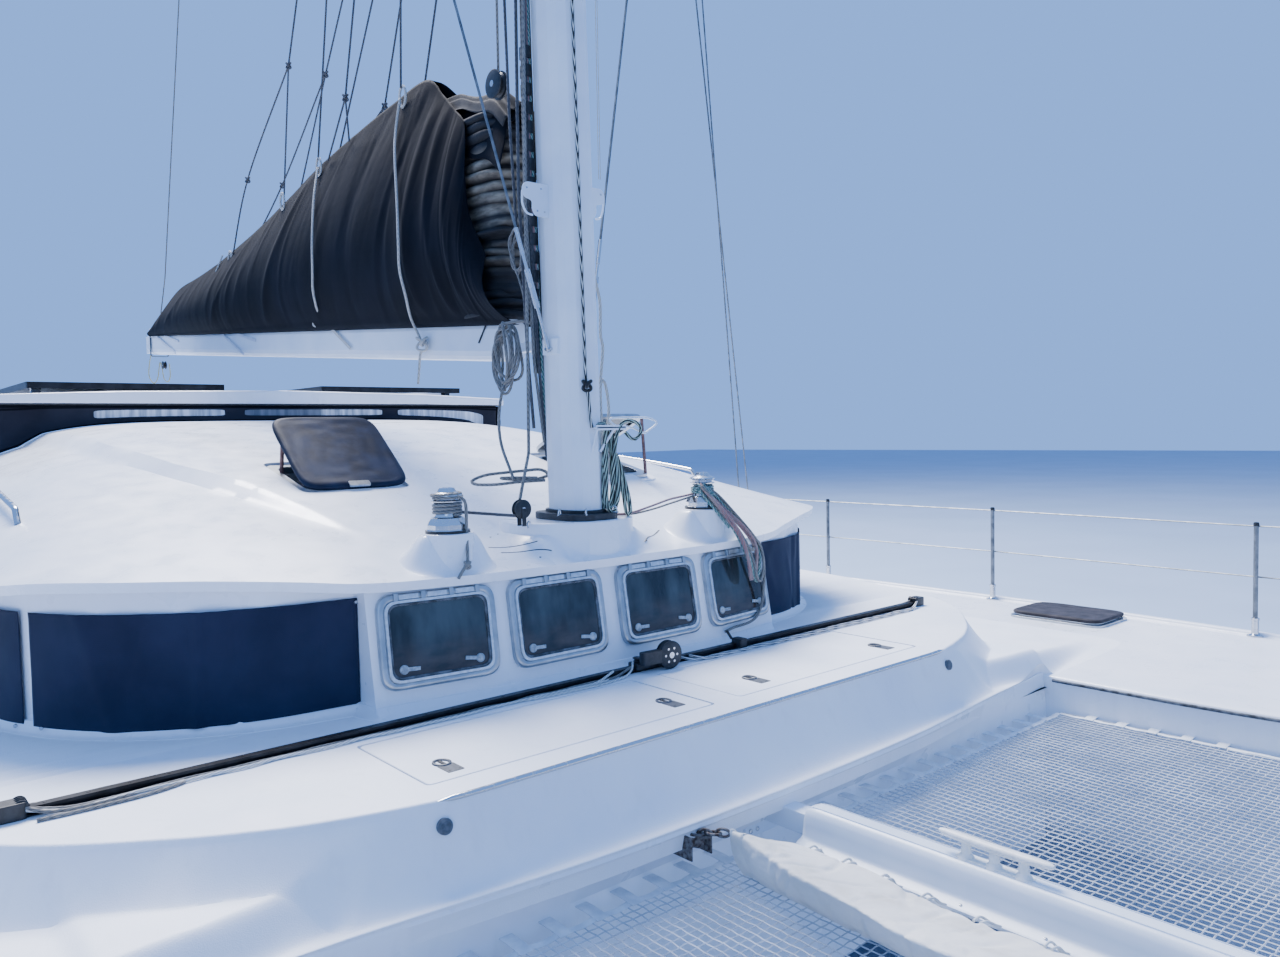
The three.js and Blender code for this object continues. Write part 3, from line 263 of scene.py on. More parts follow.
def sweep(path, profile, up_hint=(0, 0, 1), closed=False, scale=None):
    """A profile of (across, upward) points carried along a path. At each point across is
    tangent x up_hint and upward is across x tangent, so the profile never twists about the path."""
    path = np.asarray(path, float)
    if closed:
        tangent = np.roll(path, -1, axis=0) - np.roll(path, 1, axis=0)
    else:
        tangent = np.gradient(path, axis=0)
    tangent /= np.linalg.norm(tangent, axis=1, keepdims=True)
    across = np.cross(tangent, up_hint)
    across /= np.linalg.norm(across, axis=1, keepdims=True)
    upward = np.cross(across, tangent)
    profile = np.asarray(profile, float)
    size = np.ones(len(path)) if scale is None else np.asarray(scale, float)
    rings = (path[:, None] + across[:, None] * profile[None, :, :1] * size[:, None, None]
             + upward[:, None] * profile[None, :, 1:] * size[:, None, None])
    if closed:
        n, m, _ = rings.shape
        return rings.reshape(-1, 3), [grid_faces(n, m, close_rows=True, close_cols=True)[:, ::-1]]
    points, faces = loft(rings)
    return points, [f[:, ::-1] for f in faces]


def circle(radius, sides):
    a = np.linspace(0, 2 * np.pi, sides, endpoint=False)
    return np.stack([radius * np.cos(a), radius * np.sin(a)], axis=1)


def tube(path, radius, sides=8, scale=None):
    """A round bar along a path; the hint for the ring's upright is the axis it runs least along."""
    path = np.asarray(path, float)
    hint = np.eye(3)[np.argmin(np.abs(path[-1] - path[0]) + 0.2 * np.ptp(path, axis=0))]
    return sweep(path, circle(radius, sides), hint, scale=scale)


def rod(a, b, radius, sides=12, end=None):
    """A straight bar from a to b, of one radius or tapering to the end radius."""
    taper = None if end is None else [1.0, end / radius]
    return tube(np.array([a, b], float), radius, sides, taper)


def lathe(profile, sides, centre, axis="z"):
    """(radius, height) points turned about an upright line: x = r cos a, y = r sin a, z = h. With
    another axis, the turned shape is laid along it."""
    profile = np.asarray(profile, float)
    a = np.linspace(0, 2 * np.pi, sides, endpoint=False)
    rings = np.stack([profile[:, :1] * np.cos(a), profile[:, :1] * np.sin(a),
                      np.repeat(profile[:, 1:], sides, axis=1)], axis=-1)
    shape = loft(rings)
    if axis == "x":
        shape = rotate(shape, "y", 90)
    if axis == "y":
        shape = rotate(shape, "x", -90)
    return shift(shape, *centre)


def rounded(corners, radii, steps=4):
    """Closed polygons (n, k, d) with each corner drawn as a parabola from radius before it to
    radius after it: (1-t)^2 before + 2t(1-t) corner + t^2 after."""
    corners = np.asarray(corners, float)
    single = corners.ndim == 2
    if single:
        corners = corners[None]
    back, ahead = np.roll(corners, 1, axis=1) - corners, np.roll(corners, -1, axis=1) - corners
    length_back = np.linalg.norm(back, axis=2, keepdims=True)
    length_ahead = np.linalg.norm(ahead, axis=2, keepdims=True)
    radii = np.broadcast_to(np.asarray(radii, float), corners.shape[:2])[..., None]
    start = corners + back * np.minimum(radii / np.maximum(length_back, 1e-9), 0.49)
    end = corners + ahead * np.minimum(radii / np.maximum(length_ahead, 1e-9), 0.49)
    t = np.linspace(0, 1, steps + 1)[None, None, :, None]
    arc = ((1 - t) ** 2 * start[:, :, None] + 2 * t * (1 - t) * corners[:, :, None]
           + t ** 2 * end[:, :, None])
    out = arc.reshape(corners.shape[0], -1, corners.shape[2])
    return out[0] if single else out


def rectangle(half_wide, half_high):
    return np.array([[half_wide, -half_high], [half_wide, half_high],
                     [-half_wide, half_high], [-half_wide, -half_high]])


def slab(low, high, radius=0.0, steps=3):
    """A box from low to high with its upright edges rounded, walked from below to above."""
    low, high = np.asarray(low, float), np.asarray(high, float)
    half, mid = (high - low) / 2, (high + low) / 2
    outline = rectangle(half[0], half[1])
    if radius:
        outline = rounded(outline, radius, steps)
    return loft(np.stack([at_height(outline + mid[:2], z) for z in (low[2], high[2])]))


def face_outward(mesh):
    work = bmesh.new()
    work.from_mesh(mesh)
    bmesh.ops.recalc_face_normals(work, faces=work.faces)
    work.to_mesh(mesh)
    work.free()


def put(name, shape, finish, slot, body="root", smooth=30.0, replaces=(), bevel=0.0, uv=None):
    """Makes the piece: its points and faces go into a mesh, it rides on a body, and edges sharper
    than `smooth` degrees stay crisp. A bevel is a width in metres on those crisp edges. For a rope
    between two bodies, `body` is both bodies and the places where its slack begins and ends; these
    are not used, and the piece then rides on no body."""
    points, faces = shape
    mesh = bpy.data.meshes.new(name)
    mesh.from_pydata(points.tolist(), [], [row for f in faces for row in f.tolist()])
    if uv is not None:
        layer = mesh.uv_layers.new(name="flat")
        corners = np.empty(len(mesh.loops), dtype=np.int32)
        mesh.loops.foreach_get("vertex_index", corners)
        layer.data.foreach_set("uv", np.asarray(uv, float)[corners].ravel())
    mesh.validate()
    face_outward(mesh)
    mesh.shade_smooth()
    mesh.set_sharp_from_angle(angle=math.radians(smooth))
    mesh.materials.append(finish)
    piece = bpy.data.objects.new(name, mesh)
    bpy.context.scene.collection.objects.link(piece)
    if bevel:
        add_bevel(piece, bevel, smooth)
    if isinstance(body, tuple):
        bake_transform(piece)
    else:
        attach(piece, body)
    if replaces:
        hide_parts(*([replaces] if isinstance(replaces, str) else replaces))
    return piece


def add_bevel(piece, width, degrees=30.0):
    modifier = piece.modifiers.new("edges", "BEVEL")
    modifier.width = width
    modifier.segments = 2
    modifier.limit_method = "ANGLE"
    modifier.angle_limit = math.radians(degrees)
    modifier.harden_normals = True


def add_thickness(piece, thickness, offset=-1.0):
    """Gives a single layer its thickness: -1 grows it inward, 0 both ways."""
    modifier = piece.modifiers.new("thickness", "SOLIDIFY")
    modifier.thickness = thickness
    modifier.offset = offset


def carve(piece, *tools):
    """Takes closed shapes out of a piece, and keeps the result as the piece's own mesh."""
    cutters = []
    for shape in tools:
        mesh = bpy.data.meshes.new("cutter")
        mesh.from_pydata(shape[0].tolist(), [], [row for f in shape[1] for row in f.tolist()])
        cutter = bpy.data.objects.new("cutter", mesh)
        bpy.context.scene.collection.objects.link(cutter)
        modifier = piece.modifiers.new("cut", "BOOLEAN")
        modifier.object = cutter
        modifier.solver = "EXACT"
        cutters.append(cutter)
    graph = bpy.context.evaluated_depsgraph_get()
    mesh = bpy.data.meshes.new_from_object(piece.evaluated_get(graph))
    piece.modifiers.clear()
    piece.data = mesh
    for cutter in cutters:
        bpy.data.objects.remove(cutter)
    return piece


def triangles(piece):
    graph = bpy.context.evaluated_depsgraph_get()
    mesh = piece.evaluated_get(graph).to_mesh()
    count = len(mesh.loops) - 2 * len(mesh.polygons)
    piece.evaluated_get(graph).to_mesh_clear()
    return count


def area_of(shape):
    """The area of a shape's quads, as half the cross product of their diagonals."""
    points, faces = shape
    total = 0.0
    for f in faces:
        if f.shape[1] == 4:
            crossed = np.cross(points[f[:, 2]] - points[f[:, 0]], points[f[:, 3]] - points[f[:, 1]])
            total += np.linalg.norm(crossed, axis=1).sum() / 2
    return float(total)


print("shape tools ready")
# %% [markdown]
# ## Finishes
# Each material starts from what the real one is and how it was made. Colours are sRGB hex values
# that one function turns to linear light, and one small function adds a shader node. Patterns
# read Object coordinates in metres, so that a weave or a grip pattern keeps its real size.

# %% Colour and node tools
def srgb(hex_colour):
    """sRGB hex to linear: c/12.92 below 0.04045, else ((c + 0.055)/1.055)^2.4."""
    value = int(hex_colour.lstrip("#"), 16)
    channels = [((value >> s) & 255) / 255 for s in (16, 8, 0)]
    return (*[c / 12.92 if c <= 0.04045 else ((c + 0.055) / 1.055) ** 2.4 for c in channels], 1.0)


def feed(node, **inputs):
    """Fills a node's inputs: another node's output is linked, a hex colour or a number stays on
    the socket. A name is the socket's own with _ for a space, or in_ and its number."""
    for name, value in inputs.items():
        socket = node.inputs[int(name[3:]) if name.startswith("in_") else name.replace("_", " ")]
        if isinstance(value, bpy.types.NodeSocket):
            node.id_data.links.new(value, socket)
        else:
            socket.default_value = srgb(value) if isinstance(value, str) else value


def add_node(finish, kind, settings=(), output=0, **inputs):
    """Adds one shader node with its settings and inputs, and returns one of its outputs."""
    made = finish.node_tree.nodes.new("ShaderNode" + kind)
    for name, value in dict(settings).items():
        setattr(made, name, value)
    feed(made, **inputs)
    return made.outputs[output]


def new_finish(name, colour, **values):
    """A material with a Principled shader whose plain sockets are set; returns both."""
    finish = bpy.data.materials.new(name)
    finish.use_nodes = True
    shader = finish.node_tree.nodes["Principled BSDF"]
    feed(shader, Base_Color=colour, **values)
    return finish, shader


def place_of(finish, scale=(1, 1, 1), turn=(0, 0, 0), source="Object"):
    """The pattern's coordinates: Object metres or the piece's UV, scaled and turned."""
    where = add_node(finish, "TexCoord", output=source)
    return add_node(finish, "Mapping", Vector=where, Scale=scale, Rotation=turn)


def mottle(finish, place, size, low, high, detail=4.0):
    """Soft patches about `size` metres across, from the low to the high colour."""
    clouds = add_node(finish, "TexNoise", Vector=place, Scale=1 / size, Detail=detail)
    colour = add_node(finish, "ValToRGB", Fac=clouds)
    ramp = colour.node.color_ramp.elements
    ramp[0].position, ramp[1].position = 0.36, 0.66
    ramp[0].color, ramp[1].color = srgb(low), srgb(high)
    return colour


def uneven(finish, place, size, detail, depth, strength=1.0, **over):
    """A noise `size` metres across as a relief `depth` metres deep, over another one if given."""
    height = add_node(finish, "TexNoise", Vector=place, Scale=1 / size, Detail=detail)
    return add_node(finish, "Bump", Height=height, Distance=depth, Strength=strength, **over)


def worn(finish, place, size, detail, start, end, high):
    """How worn a spot is, from 0 to high, where a noise rises from start to end."""
    spots = add_node(finish, "TexNoise", Vector=place, Scale=1 / size, Detail=detail)
    return add_node(finish, "MapRange", Value=spots, From_Min=start, From_Max=end, To_Max=high)


def crossed(finish, width, first, second):
    """Two families of slanting bands, light and dark and each `width` metres wide measured along an
    axis, are multiplied. It returns the product and the first family."""
    bands = {"wave_type": "BANDS", "bands_direction": "DIAGONAL"}
    left, right = [add_node(finish, "TexWave", bands, "Fac", Vector=place, Scale=0.314 / width)
                   for place in (first, second)]
    return add_node(finish, "Math", {"operation": "MULTIPLY"}, in_0=left, in_1=right), left


BLEND = {"data_type": "RGBA"}  # a Mix node of colours: factor 0, colours 6 and 7, output 2


def two_tone(name, base, size, low, high, detail=4.0, grain=None, **values):
    """A plain finish in patches of two tones, `size` metres across. With `grain`, it also has a
    relief: its size, how finely it is broken up, and its depth."""
    finish, shader = new_finish(name, base, **values)
    place = place_of(finish)
    feed(shader, Base_Color=mottle(finish, place, size, low, high, detail))
    if grain:
        feed(shader, Normal=uneven(finish, place, *grain))
    return finish


# %% [markdown]
# Gelcoat is the pigmented polyester skin that a glass hull gets in its mould. It is hard and
# fairly glossy, but years of sun leave it a little chalky, with faint dirt where water runs.
# The moulded decks have a fine non-slip pattern, here as pebbles about 3 mm apart. On the hulls
# the antifouling paint starts 5 cm over the waterline.

# %% Gelcoat, smooth and non-slip
ANTIFOULING_TONES = (0.25, "#182843", "#2A4066", 6.0)


def make_gelcoat(name, grip=False, painted=False):
    """White gelcoat. With `painted`, it is antifouled below 5 cm over the waterline."""
    finish, shader = new_finish(name, "#EBEFF6", Roughness=0.3, IOR=1.5, Coat_Roughness=0.12,
                                Coat_Weight=0.0 if grip else 0.25)
    place = place_of(finish)
    clouds = mottle(finish, place, 0.55, "#E3E9F2", "#F0F3F8")
    dirt = worn(finish, place_of(finish, (1.0, 1.0, 0.12)), 0.05, 5.0, 0.56, 0.82, 0.22)
    colour = add_node(finish, "Mix", BLEND, 2, in_0=dirt, in_6=clouds, in_7="#C9CDD0")
    if painted:
        height = add_node(finish, "SeparateXYZ", output="Z", Vector=place)
        level = add_node(finish, "MapRange", Value=height, From_Min=0.048, From_Max=0.052,
                         To_Min=1.0, To_Max=0.0)
        paint = mottle(finish, place, *ANTIFOULING_TONES)
        colour = add_node(finish, "Mix", BLEND, 2, in_0=level, in_6=colour, in_7=paint)
    gloss = add_node(finish, "TexNoise", Vector=place, Scale=1 / 0.12, Detail=3.0)
    smooth, rough = (0.48, 0.66) if grip else (0.24, 0.42)
    rough = add_node(finish, "MapRange", Value=gloss, From_Min=0.3, From_Max=0.75,
                     To_Min=smooth, To_Max=rough)
    wave = uneven(finish, place, 0.35, 1.0, 0.0012)
    if grip:
        pebbles = add_node(finish, "TexVoronoi", output="Distance", Vector=place, Scale=1 / 0.0032)
        wave = add_node(finish, "Bump", Height=pebbles, Distance=0.0005, Strength=0.8, Normal=wave)
    feed(shader, Base_Color=colour, Roughness=rough, Normal=wave)
    return finish


gelcoat = make_gelcoat("gelcoat_moulded")
deck_grip = make_gelcoat("gelcoat_non_slip", grip=True)
hull_gelcoat = make_gelcoat("gelcoat_antifouled_below", painted=True)

# %% [markdown]
# Antifouling is a matt paint rolled on below the water; it wears in patches. Spars are aluminium
# extrusions with white two-pack paint. Stainless steel fittings are electropolished; anodised
# frames are satin, with the fine lines of the extrusion.

# %% Paint, painted spars and bare metals
antifouling = two_tone("antifouling_rolled", "#1D2F4F", *ANTIFOULING_TONES, (0.012, 4.0, 0.0008),
                       Roughness=0.82)
spar_paint = two_tone("two_pack_paint", "#DDE6F0", 0.3, "#D5E0EC", "#E6EDF5",
                      grain=(0.02, 2.0, 0.0003), Roughness=0.32, IOR=1.5)
wire_strand = two_tone("stainless_wire_strand", "#6E7378", 0.05, "#5C6166", "#83888D",
                       Metallic=0.7, Roughness=0.45)
black_anodised = two_tone("aluminium_black_anodised", "#1E2024", 0.05, "#191A1E", "#2A2C31",
                          Metallic=0.6, Roughness=0.42)
bronze = two_tone("bronze_cast", "#9A7440", 0.03, "#7E6238", "#B08A50", Metallic=1.0, Roughness=0.42)
weathered_steel = two_tone("galvanised_rusting", "#6A5C52", 0.012, "#4A3A32", "#8A8683", 6.0,
                           (0.004, 4.0, 0.0008), Metallic=0.5, Roughness=0.7)
weathered_red = two_tone("bronze_painted_worn", "#7E5A52", 0.02, "#6B4A44", "#94706A",
                         Metallic=0.3, Roughness=0.55)
stainless_satin = two_tone("stainless_satin", "#D4D7DA", 0.02, "#C6CACE", "#E2E4E6",
                           Metallic=0.9, Roughness=0.3)

stainless, shader = new_finish("stainless_polished", "#C9CBCE", Metallic=1.0, Roughness=0.18)
haze_and_painted_sky = add_node(stainless, "TexNoise", Vector=place_of(stainless), Scale=1 / 0.03, Detail=4.0)
rough = add_node(stainless, "MapRange", Value=haze_and_painted_sky, From_Min=0.3, From_Max=0.7, To_Min=0.12, To_Max=0.34)
feed(shader, Roughness=rough)

anodised = two_tone("aluminium_anodised", "#A9AEB4", 0.06, "#9FA5AB", "#B9BEC3", Metallic=0.9, Roughness=0.28)
feed(anodised.node_tree.nodes["Principled BSDF"],
     Normal=uneven(anodised, place_of(anodised, (1, 1, 8)), 0.003, 2.0, 0.0001))

# %% [markdown]
# Canvas on a boat is solution-dyed acrylic, a plain weave with about two threads to the
# millimetre. That is too fine to show from 4 m, so it is drawn at 3 mm and kept shallow. Salt
# and sun leave pale clouds on the navy cloth. The off-white canvas is soiled in patches.

# %% Woven cloths
def make_cloth(name, low, high, thread, rough, patch=0.3, soil=None, sheen=0.3, crumple=0.004):
    """Patches of two tones under a weave; `soil` is a colour, `crumple` a depth in metres."""
    finish, shader = new_finish(name, high, Roughness=rough, Sheen_Weight=sheen,
                                Specular_IOR_Level=0.12, Sheen_Roughness=0.5)
    place = place_of(finish)
    colour = mottle(finish, place, patch, low, high, 5.0)
    if soil:
        spots = worn(finish, place, 0.11, 6.0, 0.5, 0.78, 0.75)
        colour = add_node(finish, "Mix", BLEND, 2, in_0=spots, in_6=colour, in_7=soil)
    weave, _ = crossed(finish, thread, place, place_of(finish, turn=(0, 0, math.pi / 2)))
    slack = uneven(finish, place, 0.08 if crumple < 0.005 else 0.05, 2.0, crumple, 0.5)
    weave = add_node(finish, "Bump", Height=weave, Distance=0.0004, Strength=0.6, Normal=slack)
    feed(shader, Base_Color=colour, Normal=weave)
    return finish


navy_canvas = make_cloth("acrylic_canvas_navy", "#1B2135", "#272D42", 0.003, 0.8, sheen=0.10)
black_canvas = make_cloth("acrylic_canvas_black", "#070910", "#0D1019", 0.003, 0.8, sheen=0.010)
screen_canvas = make_cloth("acrylic_canvas_charcoal", "#23232B", "#30313A", 0.003, 0.75, sheen=0.05)
brown_cloth = make_cloth("hatch_cover_brown", "#2A282C", "#3D3A3F", 0.002, 0.6, 0.07, sheen=0.03)
hatch_cloth = make_cloth("hatch_cover_cloth", "#151C2C", "#212C42", 0.002, 0.55, 0.09, sheen=0.02)
pale_canvas = make_cloth("cotton_canvas_soiled", "#DEDDD9", "#EEECE6", 0.003, 0.85, 0.4, "#C2BEB3", 0.15,
                         0.012)
sailcloth = make_cloth("polyester_sailcloth", "#C9C3B6", "#DCD8CD", 0.004, 0.7, 0.3, "#A89F90", 0.1)
sail_grey = make_cloth("sailcloth_grey", "#2B2A2B", "#45423F", 0.004, 0.8, 0.1, "#2C2A2A", 0.05)
net_webbing = make_cloth("polyester_webbing", "#CDD3DA", "#E6E9ED", 0.004, 0.8, 0.05, None, 0.1)
net_cord = make_cloth("polyester_net_cord", "#A9AFB8", "#CDD2D9", 0.006, 0.8, 0.2, None, 0.1)

# The flaked sail shows in a gap of its cover. Its UV holds how far out a fold stands, and how
# much light falls into the gap at that height. From these its colour gets painted shade in the
# creases between folds, and painted shade outside a lit band of heights.
flaked_sail, shader = new_finish("sailcloth_flaked", "#8C8272", Roughness=0.8)
folds = add_node(flaked_sail, "SeparateXYZ", Vector=place_of(flaked_sail, source="UV")).node.outputs
tan = mottle(flaked_sail, place_of(flaked_sail, (1, 1, 3)), 0.06, "#5F574B", "#8E8676", 5.0)
# Painted shade: dark in the creases, where a fold stands out least, and dark outside the lit band of heights.
crease_shaded = add_node(flaked_sail, "Mix", BLEND, 2, in_0=folds["X"], in_6="#17151A", in_7=tan)
feed(shader, Base_Color=add_node(flaked_sail, "Mix", BLEND, 2, in_0=folds["Y"], in_6="#121318", in_7=crease_shaded),
     Normal=uneven(flaked_sail, place_of(flaked_sail), 0.03, 3.0, 0.003))

# %% [markdown]
# Window panes are smoked acrylic over a dark cabin. Clear windows in the canvas are soft vinyl,
# which wrinkles and catches the sky; its colour is painted, with pale vertical streaks for the sky it
# reflects and a dark band for the view through it. The panels on the hardtop are dark cells behind glass.

# %% Panes
smoked_acrylic = two_tone("acrylic_smoked", "#20282C", 0.3, "#1B2327", "#333C3E", Roughness=0.06,
                          IOR=1.49, Alpha=0.86)

dark_glass, shader = new_finish("cells_under_glass", "#10151F", Roughness=0.14, IOR=1.5, Coat_Weight=0.6)
cells = add_node(dark_glass, "TexBrick", {"offset": 0.0}, "Color", Vector=place_of(dark_glass), Scale=1.0,
                 Mortar_Size=0.003, Brick_Width=0.157, Row_Height=0.157, Color1="#0E1420",
                 Color2="#151D2D", Mortar="#3A4352")
feed(shader, Base_Color=cells)

clear_vinyl, shader = new_finish("vinyl_clear", "#E4E8EE", Roughness=0.45, IOR=1.5)
across = add_node(clear_vinyl, "SeparateXYZ", output="Y", Vector=place_of(clear_vinyl))
# Painted reflection: pale and grey vertical streaks stand for the sky on the wrinkled vinyl; between y =
# -0.30 and 0.25 a dark colour is painted for the view through it.
haze_and_painted_sky = mottle(clear_vinyl, place_of(clear_vinyl, (1, 1, 0.1)), 0.035, "#9CA3AE", "#F2F4F8", 2.0)
starts = add_node(clear_vinyl, "MapRange", Value=across, From_Min=-0.36, From_Max=-0.30, To_Max=0.8)
ends = add_node(clear_vinyl, "MapRange", Value=across, From_Min=0.24, From_Max=0.27, To_Min=1.0, To_Max=0.0)
painted_view_through = add_node(clear_vinyl, "Math", {"operation": "MULTIPLY"}, in_0=starts, in_1=ends)
feed(shader, Base_Color=add_node(clear_vinyl, "Mix", BLEND, 2, in_0=painted_view_through, in_6=haze_and_painted_sky, in_7="#3F4653"))

# A pane seen from on deck shows the cabin: dark slate high up, where it reflects the sky's edge,
# and brown lower down, where the sun reaches the joinery.
cabin_pane, shader = new_finish("acrylic_over_cabin", "#2A3036", Roughness=0.05, IOR=1.49)
height = add_node(cabin_pane, "SeparateXYZ", output="Z", Vector=place_of(cabin_pane))
level = add_node(cabin_pane, "MapRange", Value=height, From_Min=1.87, From_Max=2.02, To_Max=1.0)
low_tone = mottle(cabin_pane, place_of(cabin_pane, (1, 1, 2.4)), 0.12, "#2A2421", "#54463D")
high_tone = mottle(cabin_pane, place_of(cabin_pane, (1, 1, 0.35)), 0.10, "#1B2023", "#414A4D")
feed(shader, Base_Color=add_node(cabin_pane, "Mix", BLEND, 2, in_0=level, in_6=low_tone, in_7=high_tone))

# %% [markdown]
# Blocks, latches and caps are moulded nylon, which greys in the sun. Sealant is a soft rubber.

# %% Plastics and rubber
white_nylon = two_tone("nylon_white_moulded", "#E9EAE8", 0.03, "#DCDDDA", "#F0F0EE", Roughness=0.4)
grey_nylon = two_tone("nylon_grey_translucent", "#9DA6AD", 0.015, "#7F8991", "#B4BCC2", Roughness=0.3)
slate_nylon = two_tone("nylon_slate_moulded", "#4B5058", 0.012, "#3F444B", "#5A5F67", Roughness=0.5)
black_nylon = two_tone("nylon_black_moulded", "#17181A", 0.02, "#121315", "#26282B",
                       grain=(0.002, 3.0, 0.0002), Roughness=0.45)
sealant = two_tone("rubber_sealant", "#4A4F55", 0.03, "#2F3338", "#6B7077", Roughness=0.8)

# %% [markdown]
# Rope is braided polyester. Its mesh has a UV map whose U goes once round and whose V is metres
# along it, so two crossed families of slanting lines draw the plaits, and a third picks out the
# coloured tracer yarns.

# %% Braided rope
def make_rope(name, base, tracer, faded, share=0.25, plait=0.012):
    """Crossed lines, each of which moves four plaits' length along the rope in half a turn."""
    finish, shader = new_finish(name, base, Roughness=0.85, Sheen_Weight=0.2)
    plaits, left = crossed(finish, plait, *[place_of(finish, (lean, 1, 1), source="UV")
                                            for lean in (plait * 4, -plait * 4)])
    pick = add_node(finish, "MapRange", Value=left, From_Min=1 - share, From_Max=1 - share * 0.6, To_Max=1.0)
    colour = add_node(finish, "Mix", BLEND, 2, in_0=pick, in_6=base, in_7=tracer)
    wear = worn(finish, place_of(finish), 0.06, 4.0, 0.45, 0.75, 0.6)
    feed(shader, Base_Color=add_node(finish, "Mix", BLEND, 2, in_0=wear, in_6=colour, in_7=faded),
         Normal=add_node(finish, "Bump", Height=plaits, Distance=0.0012, Strength=1.0))
    return finish


rope_white = make_rope("braid_white", "#D5D7D6", "#9AA0A6", "#B4B4AE")
rope_grey = make_rope("braid_grey", "#7B7873", "#4A4846", "#94908A")
rope_pale = make_rope("braid_pale", "#BDBBB6", "#8F8D88", "#A9A69F")
rope_green = make_rope("braid_black_green", "#171B1D", "#A9C0AE", "#343A38", share=0.5, plait=0.03)
rope_yellow = make_rope("braid_yellow_fleck", "#A9A56A", "#6E6A42", "#B9B48C", share=0.3)
rope_fleck = make_rope("braid_black_fleck", "#D9DCDF", "#1D1F24", "#A9ABAD", share=0.55, plait=0.045)
rope_dark = make_rope("braid_dark", "#43444A", "#2A2B30", "#5D5E61")
print("finishes", len(bpy.data.materials))
# %% [markdown]
# ## Solids that keep their own shape
# Many of the frame's solids already have the right form: flat, round or hidden. Their meshes are
# left as they are. They only get crisp edges rounded by a Bevel modifier, which catches the
# light as a real moulded edge does, and the finish of what they are made of.

# %% Finish the solids that stay
KEPT = {
    # node: (finish, bevel in metres)
    "bridgedeck": (gelcoat, 0.012),
    "saloon_bulkhead": (gelcoat, 0.006),
    "coachroof_walls": (gelcoat, 0.004),
    "saloon_door": (smoked_acrylic, 0.003),
    "hardtop": (gelcoat, 0.018),
    "hardtop_frame": (stainless, 0.0),
    "cockpit_bench": (gelcoat, 0.03),
    "cockpit_table": (gelcoat, 0.01),
    "helm_console": (gelcoat, 0.03),
    "helm_seat": (gelcoat, 0.03),
    "steering_wheel": (stainless, 0.0),
    "front_crossbeam": (spar_paint, 0.0),
    "furled_jib": (sailcloth, 0.0),
    "mast": (spar_paint, 0.004),
    "boom": (spar_paint, 0.004),
}
for side, _ in SIDES:
    KEPT[f"keel_{side}"] = (antifouling, 0.01)
    KEPT[f"rudder_{side}"] = (antifouling, 0.004)
    KEPT[f"saildrive_{side}"] = (antifouling, 0.004)
    KEPT[f"propeller_{side}"] = (bronze, 0.0)
    KEPT[f"side_window_{side}"] = (smoked_acrylic, 0.0)
    KEPT[f"solar_panel_{side}"] = (dark_glass, 0.003)
    KEPT[f"cap_shroud_{side}"] = (wire_strand, 0.0)
    KEPT[f"lower_shroud_{side}"] = (wire_strand, 0.0)
    KEPT[f"diamond_stay_{side}"] = (wire_strand, 0.0)
    KEPT[f"guardrail_{side}"] = (wire_strand, 0.0)


def finish_solid(node, finish, bevel):
    """The node's own material is swapped; Weld joins its loose triangles so Bevel finds edges."""
    piece = frame["nodes"][node]
    for material_slot in piece.material_slots:
        material_slot.material = finish
    weld = piece.modifiers.new("weld", "WELD")
    weld.merge_threshold = 0.00005
    if bevel:
        add_bevel(piece, bevel, 28)
    else:
        smooth = piece.modifiers.new("sharp", "EDGE_SPLIT")
        smooth.split_angle = math.radians(40)


for node, (finish, bevel) in KEPT.items():
    finish_solid(node, finish, bevel)
print("finished solids", len(KEPT))
# %% [markdown]
# ## Ropes
# A rope is a round tube along a smooth curve through a few given points. Its rings stand
# across the curve, and their upright follows the normal of the plane that the curve lies nearest
# to, found with a singular value decomposition, so the tube doesn't twist. Free ropes are declared
# with their length; halyards and stays that are pulled tight aren't.

# %% Rope tools
def rope_tube(path, radius, sides=8):
    """A tube with its UV: u goes to 1 and back round the rope, v is metres along it."""
    plane_normal = np.linalg.svd(path - path.mean(axis=0), full_matrices=False)[2][2]
    shape = sweep(path, circle(radius, sides), plane_normal)
    run = np.concatenate([[0], np.cumsum(np.linalg.norm(np.diff(path, axis=0), axis=1))])
    u = 1 - np.abs(2 * np.arange(sides) / sides - 1)
    uv = np.stack(np.broadcast_arrays(u[None, :], run[:, None]), axis=-1).reshape(-1, 2)
    return shape, uv, run[-1]


def rope(name, points, diameter, finish, body="root", smooth=True, sides=8):
    """A tight rope through the points; smooth=False runs straight from point to point."""
    path = even(spline(points, 30 * len(points)) if smooth else points, max(1.6 * diameter, 0.008))
    shape, uv, _ = rope_tube(path, diameter / 2, sides)
    return put(name, shape, finish, "black_plastic", body=body, smooth=180, uv=uv)


def free_rope(name, points, diameter, finish, body="root",
              shape_path=None, sides=8):
    """A slack rope, declared with the length of its own curve. It starts at its first point."""
    path = shape_path if shape_path is not None else spline(points, 30 * len(points))
    path = even(path, max(1.3 * diameter, 0.006))
    shape, uv, length = rope_tube(path, diameter / 2, sides)
    piece = put(name, shape, finish, "black_plastic", body=body, smooth=180, uv=uv)
    rope_lengths[name] = round(float(length), 2)
    return piece


